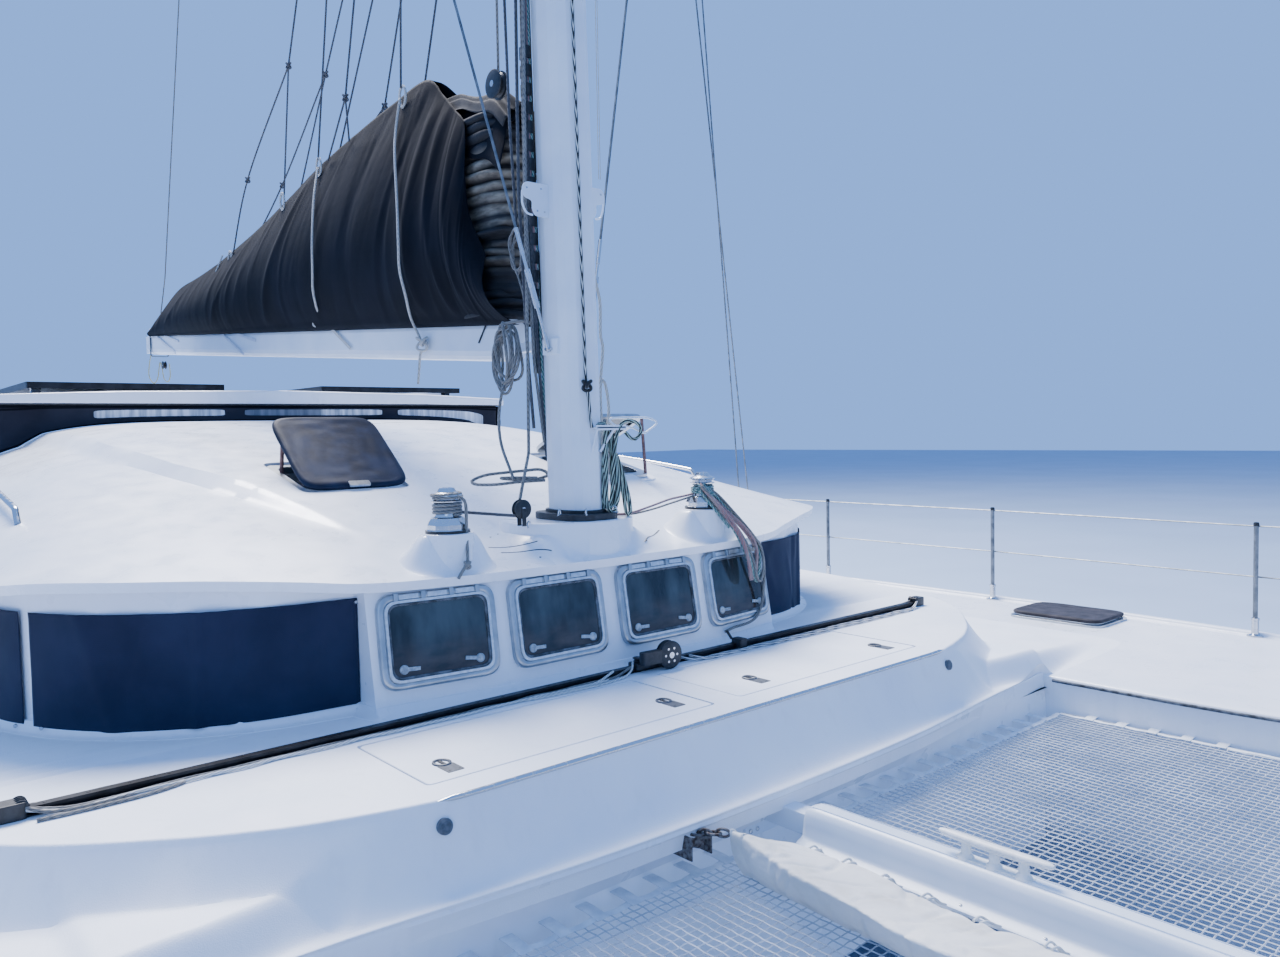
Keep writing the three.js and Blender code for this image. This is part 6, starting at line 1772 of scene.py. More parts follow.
drain = shift(rotate(lathe(DRAIN, 32, (0, 0, 0)), "y", 78), 1.8665, 1.205, 1.682)
put("platform_drains", both_sides(drain), slate_nylon, "black_plastic", smooth=35)
print("locker latches, strip and drains made")

# %% [markdown]
# Each hull has a flush hatch with a dark fitted cover, and stanchions whose bases are bolted to
# the rail. A dark rubbing line follows the inner edge of the deck.

# %% Deck hatches, stanchion bases, inner rubbing line
hatch_mid = ((DECK_HATCH["aft"] + DECK_HATCH["front"]) / 2, DECK_HATCH["y"])
half_long = (DECK_HATCH["front"] - DECK_HATCH["aft"]) / 2
for side, sign in SIDES:
    body = f"deck_hatch_{side}"
    ring = shift(frame_ring(half_long - 0.006, DECK_HATCH["half"] - 0.006, 0.03, 1.5152, 1.532),
                 *hatch_mid, 0)
    put(f"{body}_frame", on_side(ring, sign), anodised, "anodised", body=body, smooth=35, replaces=body)
    pane_shape = slab((hatch_mid[0] - half_long + 0.032, hatch_mid[1] - 0.168, 1.520),
                      (hatch_mid[0] + half_long - 0.032, hatch_mid[1] + 0.168, 1.529), 0.03)
    put(f"{body}_pane", on_side(pane_shape, sign), smoked_acrylic, "tinted_glass", body=body, smooth=35)
    cover_shape = shift(lid_cover(half_long + 0.006, DECK_HATCH["half"] + 0.006, 0.024, 0.014, 0.003),
                        *hatch_mid, 1.5445)
    cover = put(f"{body}_cover", on_side(cover_shape, sign), brown_cloth, "canvas", body=body, smooth=180)
    add_thickness(cover, 0.0012)
    area_of(cover_shape)
    coaming = shift(frame_ring(half_long + 0.014, DECK_HATCH["half"] + 0.014, 0.026, 1.498, 1.5128, 9),
                    *hatch_mid, 0)
    put(f"{body}_coaming", on_side(coaming, sign), anodised, "anodised", smooth=35, bevel=0.002)
    catch = slab((-0.012, -0.020, 0), (0.012, 0.020, 0.009), 0.004)
    catch = shift(catch, DECK_HATCH["front"] + 0.004, hatch_mid[1] + 0.13, 1.5135)
    put(f"{body}_catch", on_side(catch, sign), stainless_satin, "stainless", smooth=35, bevel=0.001)
POSTS = np.array([-4.7, -2.7, -0.7, 0.7, 2.31, 3.9, 5.3, 6.6])
BASE = [(0, 0.0), (0.042, 0.0), (0.042, 0.005), (0.026, 0.009), (0.019, 0.014), (0.018, 0.085),
        (0.0205, 0.088), (0.0205, 0.100), (0.0128, 0.103), (0, 0.103)]
CAP = [(0, 0.0), (0.0145, 0.0), (0.0150, 0.012), (0.0120, 0.020), (0, 0.022)]
posts = np.column_stack([POSTS, hull_line(POSTS, 4) - 0.07, hull_line(POSTS, 6)])
bases = join([lathe(BASE, 28, post + (0, 0, 0.001)) for post in posts])
caps = join([lathe(CAP, 20, post + (0, 0, 0.611)) for post in posts])
put("stanchion_bases", both_sides(bases), stainless, "stainless", smooth=35)
put("stanchion_caps", both_sides(caps), black_nylon, "black_plastic", smooth=35)
xs = np.linspace(1.93, 5.95, 120)
inner = hull_line(xs, 5)
path = np.column_stack([xs, inner + 0.0005, hull_line(xs, 6) - 0.022])
strip = sweep(path, circle(1.0, 12) * (0.0065, 0.0075))
put("inner_rubbing_lines", both_sides(strip), sealant, "black_plastic", smooth=60)
print("hull deck fittings made")
# %% [markdown]
# ## Trampolines
# Each trampoline is a knotted net with a 32 mm square mesh, laced all round. The strands are
# drawn as four-sided tubes in one array, with a small diamond for each knot. The net hangs a
# little between its edges, so the strands' height is -sag sin(pi u) sin(pi v), plus the small
# unevenness of knots tied by hand.

# %% Strands in bundles
def strand_bundle(paths, across, upward):
    """Tubes along many paths (k, n, 3) at once: four points round each, from two short vectors."""
    corners = np.stack([across, upward, -np.asarray(across), -np.asarray(upward)])
    points = paths[:, :, None, :] + corners[None, None]
    k, n, m, _ = points.shape
    faces = grid_faces(n, m, close_cols=True)
    every = (faces[None] + (np.arange(k) * n * m)[:, None, None]).reshape(-1, 4)
    return points.reshape(-1, 3), [every]


def diamonds(places, size):
    """An eight-sided bead at each place."""
    places = np.asarray(places, float)
    corners = np.array([(1, 0, 0), (0, 1, 0), (-1, 0, 0), (0, -1, 0), (0, 0, 0.8), (0, 0, -0.8)]) * size
    points = places[:, None] + corners[None]
    faces = np.array([(0, 1, 4), (1, 2, 4), (2, 3, 4), (3, 0, 4), (1, 0, 5), (2, 1, 5), (3, 2, 5), (0, 3, 5)])
    every = (faces[None] + (np.arange(len(places)) * 6)[:, None, None]).reshape(-1, 3)
    return points.reshape(-1, 3), [every]


NET_Z, CELL, STRAND = 1.339, 0.032, 0.0024
NET_AFT, NET_FORE, NET_INNER = 1.990, 5.960, 0.158


def net_edge(x):
    return hull_line(x, 5) - 0.052


def net_height(x, y):
    u = (x - NET_AFT) / (NET_FORE - NET_AFT)
    v = (y - NET_INNER) / (net_edge(x) - NET_INNER)
    sag = 0.022 * np.sin(np.pi * np.clip(u, 0, 1)) * np.sin(np.pi * np.clip(v, 0, 1))
    return NET_Z - sag + 0.0012 * np.sin(31 * x + 17 * y) * np.sin(23 * y - 11 * x)


def hand_tied(x, y):
    """Moves a crossing by up to 2 mm, the same way for both of its strands."""
    return (x + 0.0020 * np.sin(57 * x + 91 * y), y + 0.0020 * np.sin(83 * x - 47 * y))


xs = np.arange(NET_AFT, NET_FORE + 0.001, CELL)
ys = np.arange(NET_INNER, 2.0, CELL)
strands = []
steps = np.linspace(0, 1, 62)[None, :]
x = np.repeat(xs[:, None], 62, axis=1)
y = NET_INNER + (net_edge(xs)[:, None] - NET_INNER) * steps
px, py = hand_tied(x, y)
strands.append(strand_bundle(np.stack([px, py, net_height(px, py)], axis=-1), (STRAND, 0, 0), (0, 0, STRAND)))
fine_x = np.linspace(NET_AFT, NET_FORE, 800)
ends = np.array([NET_FORE if y0 <= net_edge(NET_FORE) else np.interp(y0, net_edge(fine_x)[::-1], fine_x[::-1])
                 for y0 in ys])
keep = ends > NET_AFT + 0.05
steps = np.linspace(0, 1, 125)[None, :]
x = NET_AFT + (ends[keep][:, None] - NET_AFT) * steps
y = np.repeat(ys[keep][:, None], 125, axis=1)
px, py = hand_tied(x, y)
strands.append(strand_bundle(np.stack([px, py, net_height(px, py)], axis=-1), (0, -STRAND, 0),
                             (0, 0, STRAND)))
gx, gy = np.meshgrid(xs, ys, indexing="ij")
inside = gy < net_edge(gx)
kx, ky = hand_tied(gx[inside], gy[inside])
strands.append(diamonds(np.stack([kx, ky, net_height(kx, ky)], axis=-1), 0.0046))

# %% [markdown]
# The net's edge is a flat webbing with a cord sewn in. Lacing goes from it to a track on the
# bridge deck, the beams and the hull, every 13 cm, and pulls the edge out at each lashing.

# %% Borders and lacing
LACING_STEP = 0.13


def border_path(start, end, outward, step=LACING_STEP):
    """From start to end, pulled out 9 mm at each lashing; returns the path and the lashings."""
    start, end, outward = [np.asarray(v, float) for v in (start, end, outward)]
    length = np.linalg.norm(end - start)
    bays = max(2, int(round(length / step)))
    s = np.linspace(0, 1, bays * 8 + 1)
    pull = np.abs(np.cos(np.pi * s * bays)) ** 1.5 * 0.009
    path = start + (end - start) * s[:, None] + outward * pull[:, None]
    marks = start + (end - start) * np.linspace(0, 1, bays + 1)[1:-1, None]
    return path, marks


borders, lacing = [], []
hull_corners = [NET_AFT, 2.8, 3.6, 4.25, 4.9, 5.45, NET_FORE]
lines = [((NET_AFT, NET_INNER, NET_Z), (NET_AFT, net_edge(NET_AFT), NET_Z), (-1, 0, 0), NET_AFT - 1.905),
         ((NET_AFT, NET_INNER, NET_Z), (NET_FORE, NET_INNER, NET_Z), (0, -1, 0), 0.055),
         ((NET_FORE, NET_INNER, NET_Z), (NET_FORE, net_edge(NET_FORE), NET_Z), (1, 0, 0), 0.052)]
for x0, x1 in zip(hull_corners[:-1], hull_corners[1:]):
    lines.append(((x0, net_edge(x0), NET_Z), (x1, net_edge(x1), NET_Z), (0, 1, 0), 0.050))
strap_profile = rounded(rectangle(0.021, 0.0018), 0.0015, 2)
webbing = [(-0.012, -0.0022), (0.012, -0.0022), (0.012, 0.0022), (0.0, 0.0060), (-0.012, 0.0022)]
for start, end, outward, gap in lines:
    path, marks = border_path(start, end, outward)
    borders.append(sweep(path, webbing))
    forward_dir = np.array(end, float) - start
    forward_dir /= np.linalg.norm(forward_dir)
    for mark in marks:
        fixing = mark + np.array(outward) * gap + (0, 0, 0.004)
        strap = np.array([mark - np.array(outward) * 0.014 + (0, 0, 0.0035), mark + (0, 0, 0.0045),
                          (mark + fixing) / 2 + (0, 0, 0.006),
                          fixing + np.array(outward) * 0.012 + (0, 0, 0.003)])
        lacing.append(sweep(spline(strap, 9), strap_profile))
for side, sign in SIDES:
    put(f"net_{side}", on_side(join(strands), sign), net_cord, "net", smooth=60,
        replaces=f"trampoline_{side}")
    put(f"net_border_{side}", on_side(join(borders), sign), net_webbing, "net", smooth=60)
    put(f"net_lacing_{side}", on_side(join(lacing), sign), net_webbing, "net", smooth=60)
print("net strands", sum(len(f) for s in strands for f in s[1]), "faces; lashings", len(lacing))

# %% [markdown]
# ## Beam, cleat and crossbeam end
# The centre beam is an aluminium extrusion: a round-shouldered box on a flange, with a groove on
# each side of its top. Its section is the same all along, so one ring is drawn and repeated.

# %% Centre beam
BEAM_START, BEAM_END, BEAM_TOP = 2.10, 6.018, 1.480
half_section = np.array([
    # y, z
    (0.098, 1.364), (0.101, 1.368), (0.101, 1.376), (0.094, 1.381), (0.070, 1.388), (0.060, 1.398),
    (0.055, 1.430), (0.050, 1.458), (0.043, 1.472), (0.033, 1.479), (0.028, 1.4805), (0.0265, 1.475),
    (0.0225, 1.475), (0.021, 1.4812), (0.010, 1.4822), (0.0, 1.4825),
])
section = np.concatenate([half_section, (half_section * (-1, 1))[-2::-1]])
xs_beam = np.array([BEAM_START, BEAM_START + 0.004, BEAM_START + 0.02, BEAM_START + 0.05, 2.3, 2.6, 3.2,
                    4.5, BEAM_END])
squeeze = np.array([0.86, 0.93, 0.98, 1.0, 1.0, 1.0, 1.0, 1.0, 1.0])
rings = np.stack([np.column_stack([np.full(len(section), x), section[:, 0] * k,
                                   1.364 + (section[:, 1] - 1.364) * k]) for x, k in zip(xs_beam, squeeze)])
put("centre_beam_extrusion", loft(rings), spar_paint, "spar_paint", smooth=38, replaces="centre_beam")
fittings = [slab((1.8995, -0.118, 1.335), (1.913, 0.118, 1.492), 0.0),
            slab((1.905, -0.034, 1.380), (2.135, 0.034, 1.452), 0.0)]
put("centre_beam_bracket", join(fittings), spar_paint, "spar_paint", bevel=0.004)
bolts = [lathe([(0.008, 0.0), (0.008, 0.004), (0.005, 0.006)], 12, (1.913, y, z), "x")
         for y in (-0.095, -0.062, 0.062, 0.095) for z in (1.358, 1.468)]
bolts += [lathe([(0.0045, 0.0), (0.0045, 0.003), (0.002, 0.004)], 10, (x, sign * 0.085, 1.3835))
          for x in np.arange(2.2, 5.9, 0.24) for sign in (-1, 1)]
put("centre_beam_bolts", join(bolts), stainless, "stainless", smooth=40)

CLEAT_X, CLEAT_Z = 2.733, 1.532
s = np.linspace(-1, 1, 41)
horn_path = np.column_stack([CLEAT_X + 0.1675 * s, np.zeros(41), CLEAT_Z + 0.004 * s ** 2])
horn_scale = 0.45 + 0.55 * (1 - np.abs(s) ** 3.5) ** 0.6
horns = sweep(horn_path, circle(1.0, 20) * (0.0165, 0.0125), scale=horn_scale)
feet = [lathe([(0.026, BEAM_TOP - 0.001), (0.022, BEAM_TOP + 0.006), (0.0145, BEAM_TOP + 0.014),
               (0.0135, CLEAT_Z - 0.008), (0.012, CLEAT_Z)], 20, (CLEAT_X + dx, 0, 0))
        for dx in (-0.085, 0.0, 0.085)]
base = slab((CLEAT_X - 0.115, -0.021, BEAM_TOP), (CLEAT_X + 0.115, 0.021, BEAM_TOP + 0.004), 0.02)
put("beam_cleat", join([horns, *feet, base]), white_nylon, "spar_paint", smooth=40)
print("centre beam made")
# %% [markdown]
# ## Canvas bag
# A headsail lies in a long canvas bag beside the centre beam. Its section has four soft corners:
# under the outer side, along the top crease, at the inner edge and under it. Their places along
# the boat are read from a table. Creases are narrow hollows a exp(-u^2) that slant across the
# cloth, then a cloth simulation swells it a little.

# %% Bag
BAG_TABLE = np.array([
    # x, outer foot, crease across, crease height, inner edge across, its height
    (2.092, -0.322, -0.384, 1.512, -0.300, 1.436), (2.14, -0.326, -0.388, 1.509, -0.235, 1.440),
    (2.20, -0.332, -0.402, 1.504, -0.188, 1.438), (2.40, -0.338, -0.455, 1.498, -0.170, 1.434),
    (2.60, -0.344, -0.482, 1.498, -0.182, 1.432), (2.80, -0.352, -0.512, 1.494, -0.196, 1.432),
    (3.00, -0.356, -0.508, 1.499, -0.186, 1.434), (3.40, -0.360, -0.512, 1.497, -0.196, 1.430),
    (3.75, -0.366, -0.496, 1.488, -0.216, 1.424), (3.95, -0.376, -0.470, 1.465, -0.265, 1.410),
    (4.045, -0.384, -0.440, 1.420, -0.330, 1.385),
])
BAG_FLOOR, BAG_STEPS, BAG_ROUND = 1.3440, 220, 104
bag_x = np.linspace(BAG_TABLE[0, 0], BAG_TABLE[-1, 0], BAG_STEPS)
foot, crease_y, crease_z, edge_y, edge_z = [smooth_read(bag_x, BAG_TABLE[:, 0], BAG_TABLE[:, k])
                                            for k in range(1, 6)]
corners = [(foot, np.full(BAG_STEPS, BAG_FLOOR)),
           ((foot + crease_y) / 2 - 0.022, (crease_z + BAG_FLOOR) / 2 - 0.01),
           (crease_y, crease_z), ((crease_y + edge_y) / 2, (crease_z + edge_z) / 2 - 0.006),
           (edge_y, edge_z), (edge_y - 0.035, np.full(BAG_STEPS, BAG_FLOOR + 0.004))]
polygon = np.stack([np.stack([bag_x, *corner], axis=1) for corner in corners], axis=1)
coarse = rounded(polygon, np.array([0.02, 0.05, 0.016, 0.06, 0.022, 0.025]), 5)
share = np.linspace(0, 1, BAG_ROUND, endpoint=False)
bag_rings = []
for ring in coarse:
    closed = np.concatenate([ring, ring[:1]])
    run = np.concatenate([[0], np.cumsum(np.linalg.norm(np.diff(closed, axis=0), axis=1))])
    bag_rings.append(np.stack([np.interp(share * run[-1], run, closed[:, k]) for k in range(3)], axis=1))
bag_rings = np.stack(bag_rings)
tangent = np.roll(bag_rings, -1, axis=1) - np.roll(bag_rings, 1, axis=1)
outward = np.stack([np.zeros_like(tangent[..., 0]), tangent[..., 2], -tangent[..., 1]], axis=-1)
outward /= np.linalg.norm(outward, axis=-1, keepdims=True)
outward *= np.sign((outward * (bag_rings - bag_rings.mean(axis=1, keepdims=True))).sum())
along_bag, round_bag = bag_x[:, None], share[None, :]
dent = 0.0015 * np.sin(9 * along_bag + 11 * round_bag) + 0.0015 * np.sin(17 * along_bag - 19 * round_bag + 1)
random = np.random.default_rng(21)
for _ in range(110):
    at, around = random.uniform(2.12, 4.0), random.uniform(0.0, 1.0)
    slant, long = random.normal(0.10, 0.35), random.uniform(0.05, 0.20)
    wide, deep = random.uniform(0.005, 0.014), random.uniform(0.003, 0.010)
    turn = (round_bag - around + 0.5) % 1 - 0.5
    dent = dent + deep * np.exp(-((along_bag - at - slant * turn) / wide) ** 2) * np.exp(-(turn / long) ** 2)
above = ease((bag_rings[..., 2] - BAG_FLOOR) / 0.03)
bag_rings = bag_rings - outward * (dent * above * ease((along_bag - 2.09) / 0.05))[..., None]
bag = put("headsail_bag", loft(bag_rings), pale_canvas, "pale_canvas", smooth=180, replaces="canvas_bag")


def inflate(piece, pressure, cap, voxel):
    """Remeshes a copy evenly, runs the cloth for 20 frames, and moves the piece's points with it by
    at most `cap` metres."""
    scene = bpy.context.scene
    copy = piece.copy()
    copy.data = piece.data.copy()
    scene.collection.objects.link(copy)
    remesh = copy.modifiers.new("remesh", "REMESH")
    remesh.mode = "VOXEL"
    remesh.voxel_size = voxel
    remesh.use_smooth_shade = True
    graph = bpy.context.evaluated_depsgraph_get()
    even_mesh = bpy.data.meshes.new_from_object(copy.evaluated_get(graph))
    copy.modifiers.clear()
    copy.data = even_mesh
    start = np.empty(len(even_mesh.vertices) * 3)
    even_mesh.vertices.foreach_get("co", start)
    start = start.reshape(-1, 3)
    cloth = copy.modifiers.new("cloth", "CLOTH")
    settings = cloth.settings
    settings.quality = 5
    settings.mass = 0.4
    settings.effector_weights.gravity = 0.0
    settings.use_pressure = True
    settings.uniform_pressure_force = pressure
    settings.tension_stiffness = settings.compression_stiffness = 30.0
    settings.shear_stiffness = 10.0
    settings.bending_stiffness = 0.4
    cloth.point_cache.frame_start, cloth.point_cache.frame_end = 1, 20
    for frame in range(1, 21):
        scene.frame_set(frame)
    graph = bpy.context.evaluated_depsgraph_get()
    swollen = bpy.data.meshes.new_from_object(copy.evaluated_get(graph))
    end = np.empty(len(swollen.vertices) * 3)
    swollen.vertices.foreach_get("co", end)
    move = end.reshape(-1, 3) - start
    reach = np.linalg.norm(move, axis=1, keepdims=True)
    end = start + move * np.minimum(1, cap / np.maximum(reach, 1e-9))
    end[:, 2] = np.maximum(end[:, 2], start[:, 2].min())
    swollen.vertices.foreach_set("co", end.ravel())
    swollen.materials.clear()
    swollen.materials.append(piece.data.materials[0])
    swollen.shade_smooth()
    scene.frame_set(1)
    piece.data = swollen
    bpy.data.objects.remove(copy)
    return float(reach.max())


print("bag swollen by", round(inflate(bag, 4.0, 0.006, 0.006) * 1000, 1), "mm")

# %% [markdown]
# The near end has a doubled hem, the inner edge is lashed to the beam's flange with thin cord, and
# an anchor roller sits under the lip beside it.

# %% Bag's hem and lashings, anchor roller
hem = sweep(even(np.concatenate([bag_rings[1], bag_rings[1][:1]]), 0.008)[:-1], circle(0.0035, 8),
            (1, 0, 0), closed=True)
seam = sweep(even(np.concatenate([bag_rings[6], bag_rings[6][:1]]), 0.008)[:-1], circle(0.0022, 6),
             (1, 0, 0), closed=True)
put("bag_hems", join([hem, seam]), pale_canvas, "pale_canvas", smooth=60)
lashings = []
for x in (2.25, 2.37, 2.50, 2.64, 2.80, 2.98, 3.2, 3.45, 3.7):
    y0, z0 = float(np.interp(x, bag_x, edge_y)), float(np.interp(x, bag_x, edge_z))
    for dx, dz in ((0.0, 0.0), (0.018, 0.006)):
        path = spline([(x + dx, y0 - 0.030, z0 + 0.004), (x + dx, y0 + 0.006, z0 + 0.002 - dz),
                       (x + dx * 0.5 + 0.01, -0.150, 1.405), (x + 0.015, -0.118, 1.388)], 24)
        lashings.append(tube(even(path, 0.008), 0.0036, 8))
put("bag_lashings", join(lashings), rope_white, "pale_canvas", smooth=60)
roller = [lathe([(0, -0.030), (0.032, -0.030), (0.020, 0.0), (0.032, 0.030), (0, 0.030)], 24,
                (1.985, -0.440, 1.452), "y")]
roller += [slab((1.93, y, 1.415), (2.035, y + 0.006, 1.487), 0.0) for y in (-0.484, -0.402)]
put("anchor_roller", join(roller), weathered_steel, "stainless", smooth=35, bevel=0.002)
turn = np.linspace(0, 2 * np.pi, 18, endpoint=False)
ring = np.column_stack([0.021 * np.cos(turn), 0.012 * np.sin(turn), np.zeros(18)])
link = sweep(ring, circle(0.0048, 8), (0, 0, 1), closed=True)
chain = [shift(rotate(rotate(link, "x", 90 * (i % 2)), "z", 35), 2.010 + 0.0225 * i, -0.440 + 0.0155 * i,
               1.482 + 0.003 * i)
         for i in range(4)]
put("anchor_chain", join(chain), weathered_steel, "stainless", smooth=50)
print("bag made", triangles(bag), "triangles")
# %% [markdown]
# ## Mainsail under its cover
# The sail lies flaked on the boom under a dark cloth cover, hung from a ridge and tied under the
# boom. Each column of the surface runs from a point on the boom to a point on the ridge, and
# forward of the peak to a point on the cover's open front edge, so slack fans out from the peak
# as it does in cloth. Folds are ridges a exp(-|u|^1.4) along such columns, with small leans.

# %% Sail cover
def boom_z(x):
    """The boom's centre line rises 78 mm a metre going aft."""
    return 3.115 + (0.44 - x) * 0.0783


def boom_top(x):
    return boom_z(x) + 0.094


COVER_TOP_LINE = [
    # x and z of the ridge from the boom's end to the peak, then of the open front edge
    (-5.20, 3.700), (-4.85, 3.850), (-4.45, 3.945), (-3.95, 3.975), (-3.50, 4.010), (-3.00, 4.070),
    (-2.56, 4.130), (-2.05, 4.220), (-1.56, 4.315), (-1.10, 4.375), (-0.62, 4.425), (-0.24, 4.445),
    (-0.03, 4.310), (0.12, 4.200), (0.265, 4.085), (0.310, 3.860), (0.335, 3.670), (0.430, 3.480),
]
COVER_FOOT_X = [-5.22, -4.95, -4.62, -4.20, -3.80, -3.38, -2.95, -2.48, -2.02, -1.55, -1.05, -0.62, -0.25,
                0.0, 0.18, 0.34, 0.47, 0.585]
COLUMNS, ROWS = 420, 90
top_line = spline(COVER_TOP_LINE, COLUMNS)
foot_x = spline(np.array(COVER_FOOT_X)[:, None], COLUMNS)[:, 0]
column = np.linspace(0, 1, COLUMNS)[None, :]
t = np.linspace(0, 1, ROWS)[:, None]


def cover_side(seed):
    """One side of the cover, from the boom (t = 0) to the ridge (t = 1), facing port."""
    random = np.random.default_rng(seed)
    low = np.stack([foot_x, boom_top(foot_x) - 0.03], axis=1)
    x = low[:, 0] + (top_line[:, 0] - low[:, 0]) * t
    z = low[:, 1] + (top_line[:, 1] - low[:, 1]) * t ** 1.04
    tall = top_line[:, 1] - low[:, 1]
    belly = np.interp(low[:, 0], [-5.2, -3.5, -1.6, -0.2, 0.6], [0.035, 0.105, 0.150, 0.160, 0.115])
    top_half = np.interp(np.arange(COLUMNS), np.linspace(0, COLUMNS - 1, len(COVER_TOP_LINE)),
                         [0.02] * 12 + [0.05, 0.085, 0.12, 0.155, 0.150, 0.13])
    y = 0.066 + (top_half - 0.066) * t ** 1.6 + belly * np.sin(np.pi * t ** 0.75)
    folds = np.zeros((ROWS, COLUMNS))
    for _ in range(110):
        at, width = random.uniform(0.02, 0.99), random.uniform(0.0022, 0.009)
        lean = random.normal(0.010, 0.016) * (1.6 if at > 0.6 else 1.0)
        curl = random.normal(0.0, 0.006)
        depth = random.uniform(0.001, 0.0055) * random.choice([1.0, -0.7])
        start, end = ((random.uniform(-0.2, 0.4), 1.2) if random.random() < 0.55
                      else (-0.2, random.uniform(0.6, 1.2)))
        u = (column - at - lean * (1 - t) - curl * np.sin(np.pi * t)) / width
        folds += depth * np.exp(-np.abs(u) ** 1.4) * ease((t - start) / 0.25) * ease((end - t) / 0.25)
    for at, lean, width, depth in ((0.70, 0.030, 0.016, 0.018), (0.735, 0.085, 0.014, 0.014),
                                   (0.79, 0.10, 0.016, 0.010), (0.665, -0.01, 0.010, -0.010),
                                   (0.46, -0.02, 0.007, 0.012), (0.34, -0.05, 0.008, 0.011),
                                   (0.16, -0.06, 0.010, 0.014), (0.10, -0.05, 0.007, 0.010)):
        u = (column - at - lean * (1 - t) ** 1.5) / width
        folds += depth * np.exp(-np.abs(u) ** 1.5) * ease(t / 0.12) * ease((1.04 - t) / 0.2)
    pinned = ease(t / 0.08) * (0.35 + 0.65 * ease((1 - t) / 0.06)) * np.clip(tall / 0.9, 0.25, 1.0)
    y = y + folds * pinned
    y = y + 0.010 * np.exp(-((t - 0.02) / 0.02) ** 2)
    return np.stack([x, np.maximum(y, 0.018), z], axis=-1)


port, starboard = cover_side(11), cover_side(29) * (1, -1, 1)
surface = np.concatenate([starboard, port[::-1]], axis=0)
ridge_cut = int(COLUMNS * 11.2 / 17)
quads = grid_faces(len(surface), COLUMNS)
row_of, column_of = quads[:, 0] // COLUMNS, quads[:, 0] % COLUMNS
quads = quads[~((row_of == ROWS - 1) & (column_of >= ridge_cut))]
cover_shape = (surface.reshape(-1, 3), [quads])
sail_cover = put("sail_cover", cover_shape, black_canvas, "canvas", body="boom", smooth=180,
                 replaces="sail_bag")
add_thickness(sail_cover, 0.0016, 0.0)
area_of(cover_shape)
print("sail cover", round(area_of(cover_shape), 2), "square metres")

# %% [markdown]
# Forward of the cover the flaked luff of the sail can be seen: a stack of flat folds 5 cm deep,
# each reaching out a little more or less than the last, with painted shade in the creases between
# them. The outline at height z is an oval whose half lengths grow and shrink as |sin|^0.5 of the height.

# %% Flaked sail
random = np.random.default_rng(17)
z = np.linspace(3.215, 4.120, 420)
fold_at = z / 0.049 + 0.30 * np.sin(z * 9.0) + 0.15 * np.sin(z * 23.0)
bulge = np.abs(np.sin(np.pi * fold_at)) ** 0.5
number = np.floor(fold_at).astype(int) - int(fold_at.min())
reach_x, reach_y, tilt = (random.normal(0, size, number.max() + 1)[number] for size in (0.016, 0.010, 0.011))
swing = random.uniform(0, 2 * np.pi, number.max() + 1)[number]
a = np.linspace(0, 2 * np.pi, 96, endpoint=False)
rise = (z - z[0]) / (z[-1] - z[0])
half_x = 0.165 + (0.034 + reach_x) * bulge + 0.030 * np.sin(z * 7)
half_y = 0.092 + (0.030 + reach_y) * bulge * (1 - 0.2 * rise)
wave = 0.010 * np.sin(3 * a[None] + swing[:, None]) + 0.006 * np.sin(7 * a[None] - 2 * swing[:, None])
wave = wave * bulge[:, None]
blunt_x, blunt_y = (np.sign(turn) * np.abs(turn) ** 0.8 for turn in (np.cos(a), np.sin(a)))
flake_x = 0.315 - 0.03 * rise[:, None] + (half_x[:, None] + wave) * blunt_x
flake_y = (half_y[:, None] + wave * 0.6) * blunt_y
flake_z = z[:, None] + tilt[:, None] * np.sin(a[None] + swing[:, None]) * ease((z[-1] - z) / 0.05)[:, None]
flakes = loft(np.stack([flake_x, flake_y, flake_z], axis=-1))
# Painted shade: the sail is dark outside a band from 3.60 to 3.965 m and half as light in a band from 3.41 to
# 3.56 m; the UV's first value paints shade into each crease.
lit = (ease((z - 3.60) / 0.05) * ease((3.965 - z) / 0.05)
       + 0.45 * ease((z - 3.41) / 0.03) * ease((3.56 - z) / 0.03))
flake_uv = np.stack(np.broadcast_arrays((bulge ** 2)[:, None], lit[:, None], a[None])[:2],
                    axis=-1).reshape(-1, 2)
put("flaked_mainsail", flakes, flaked_sail, "sailcloth", body="boom", smooth=70, uv=flake_uv)


def head_sheet(drop_side, drop_front, lower, wide, reach):
    """Cloth laid over the top of the flakes: it hangs down at both sides as |v|^2.2."""
    u, v = np.linspace(0, 1, 60)[:, None], np.linspace(-1, 1, 60)[None, :]
    x = -0.07 + reach * u + 0.010 * np.sin(9 * v + 3) + 0.012 * np.sin(5 * v) * u
    y = v * (0.055 + wide * u ** 0.7) + 0.006 * np.sin(14 * u + 3 * v)
    drop = drop_side * np.abs(v) ** 2.2 + drop_front * ease((u - 0.70) / 0.4) * (0.4 + 0.6 * np.abs(v))
    z = 4.310 - lower - 0.13 * u - drop + 0.012 * np.sin(11 * u + 2.5 * v) + 0.008 * np.sin(17 * v + 4 * u)
    return sheet_of(np.stack([x + 0 * v, y + 0 * u, z], axis=-1))


def cloth_size(shape, rows, columns):
    """The longest line of the grid each way, in metres, rounded up to a centimetre."""
    grid = shape[0].reshape(rows, columns, 3)
    along = np.linalg.norm(np.diff(grid, axis=0), axis=2).sum(axis=0).max()
    across = np.linalg.norm(np.diff(grid, axis=1), axis=2).sum(axis=1).max()
    return float(np.ceil(along * 100) / 100), float(np.ceil(across * 100) / 100)


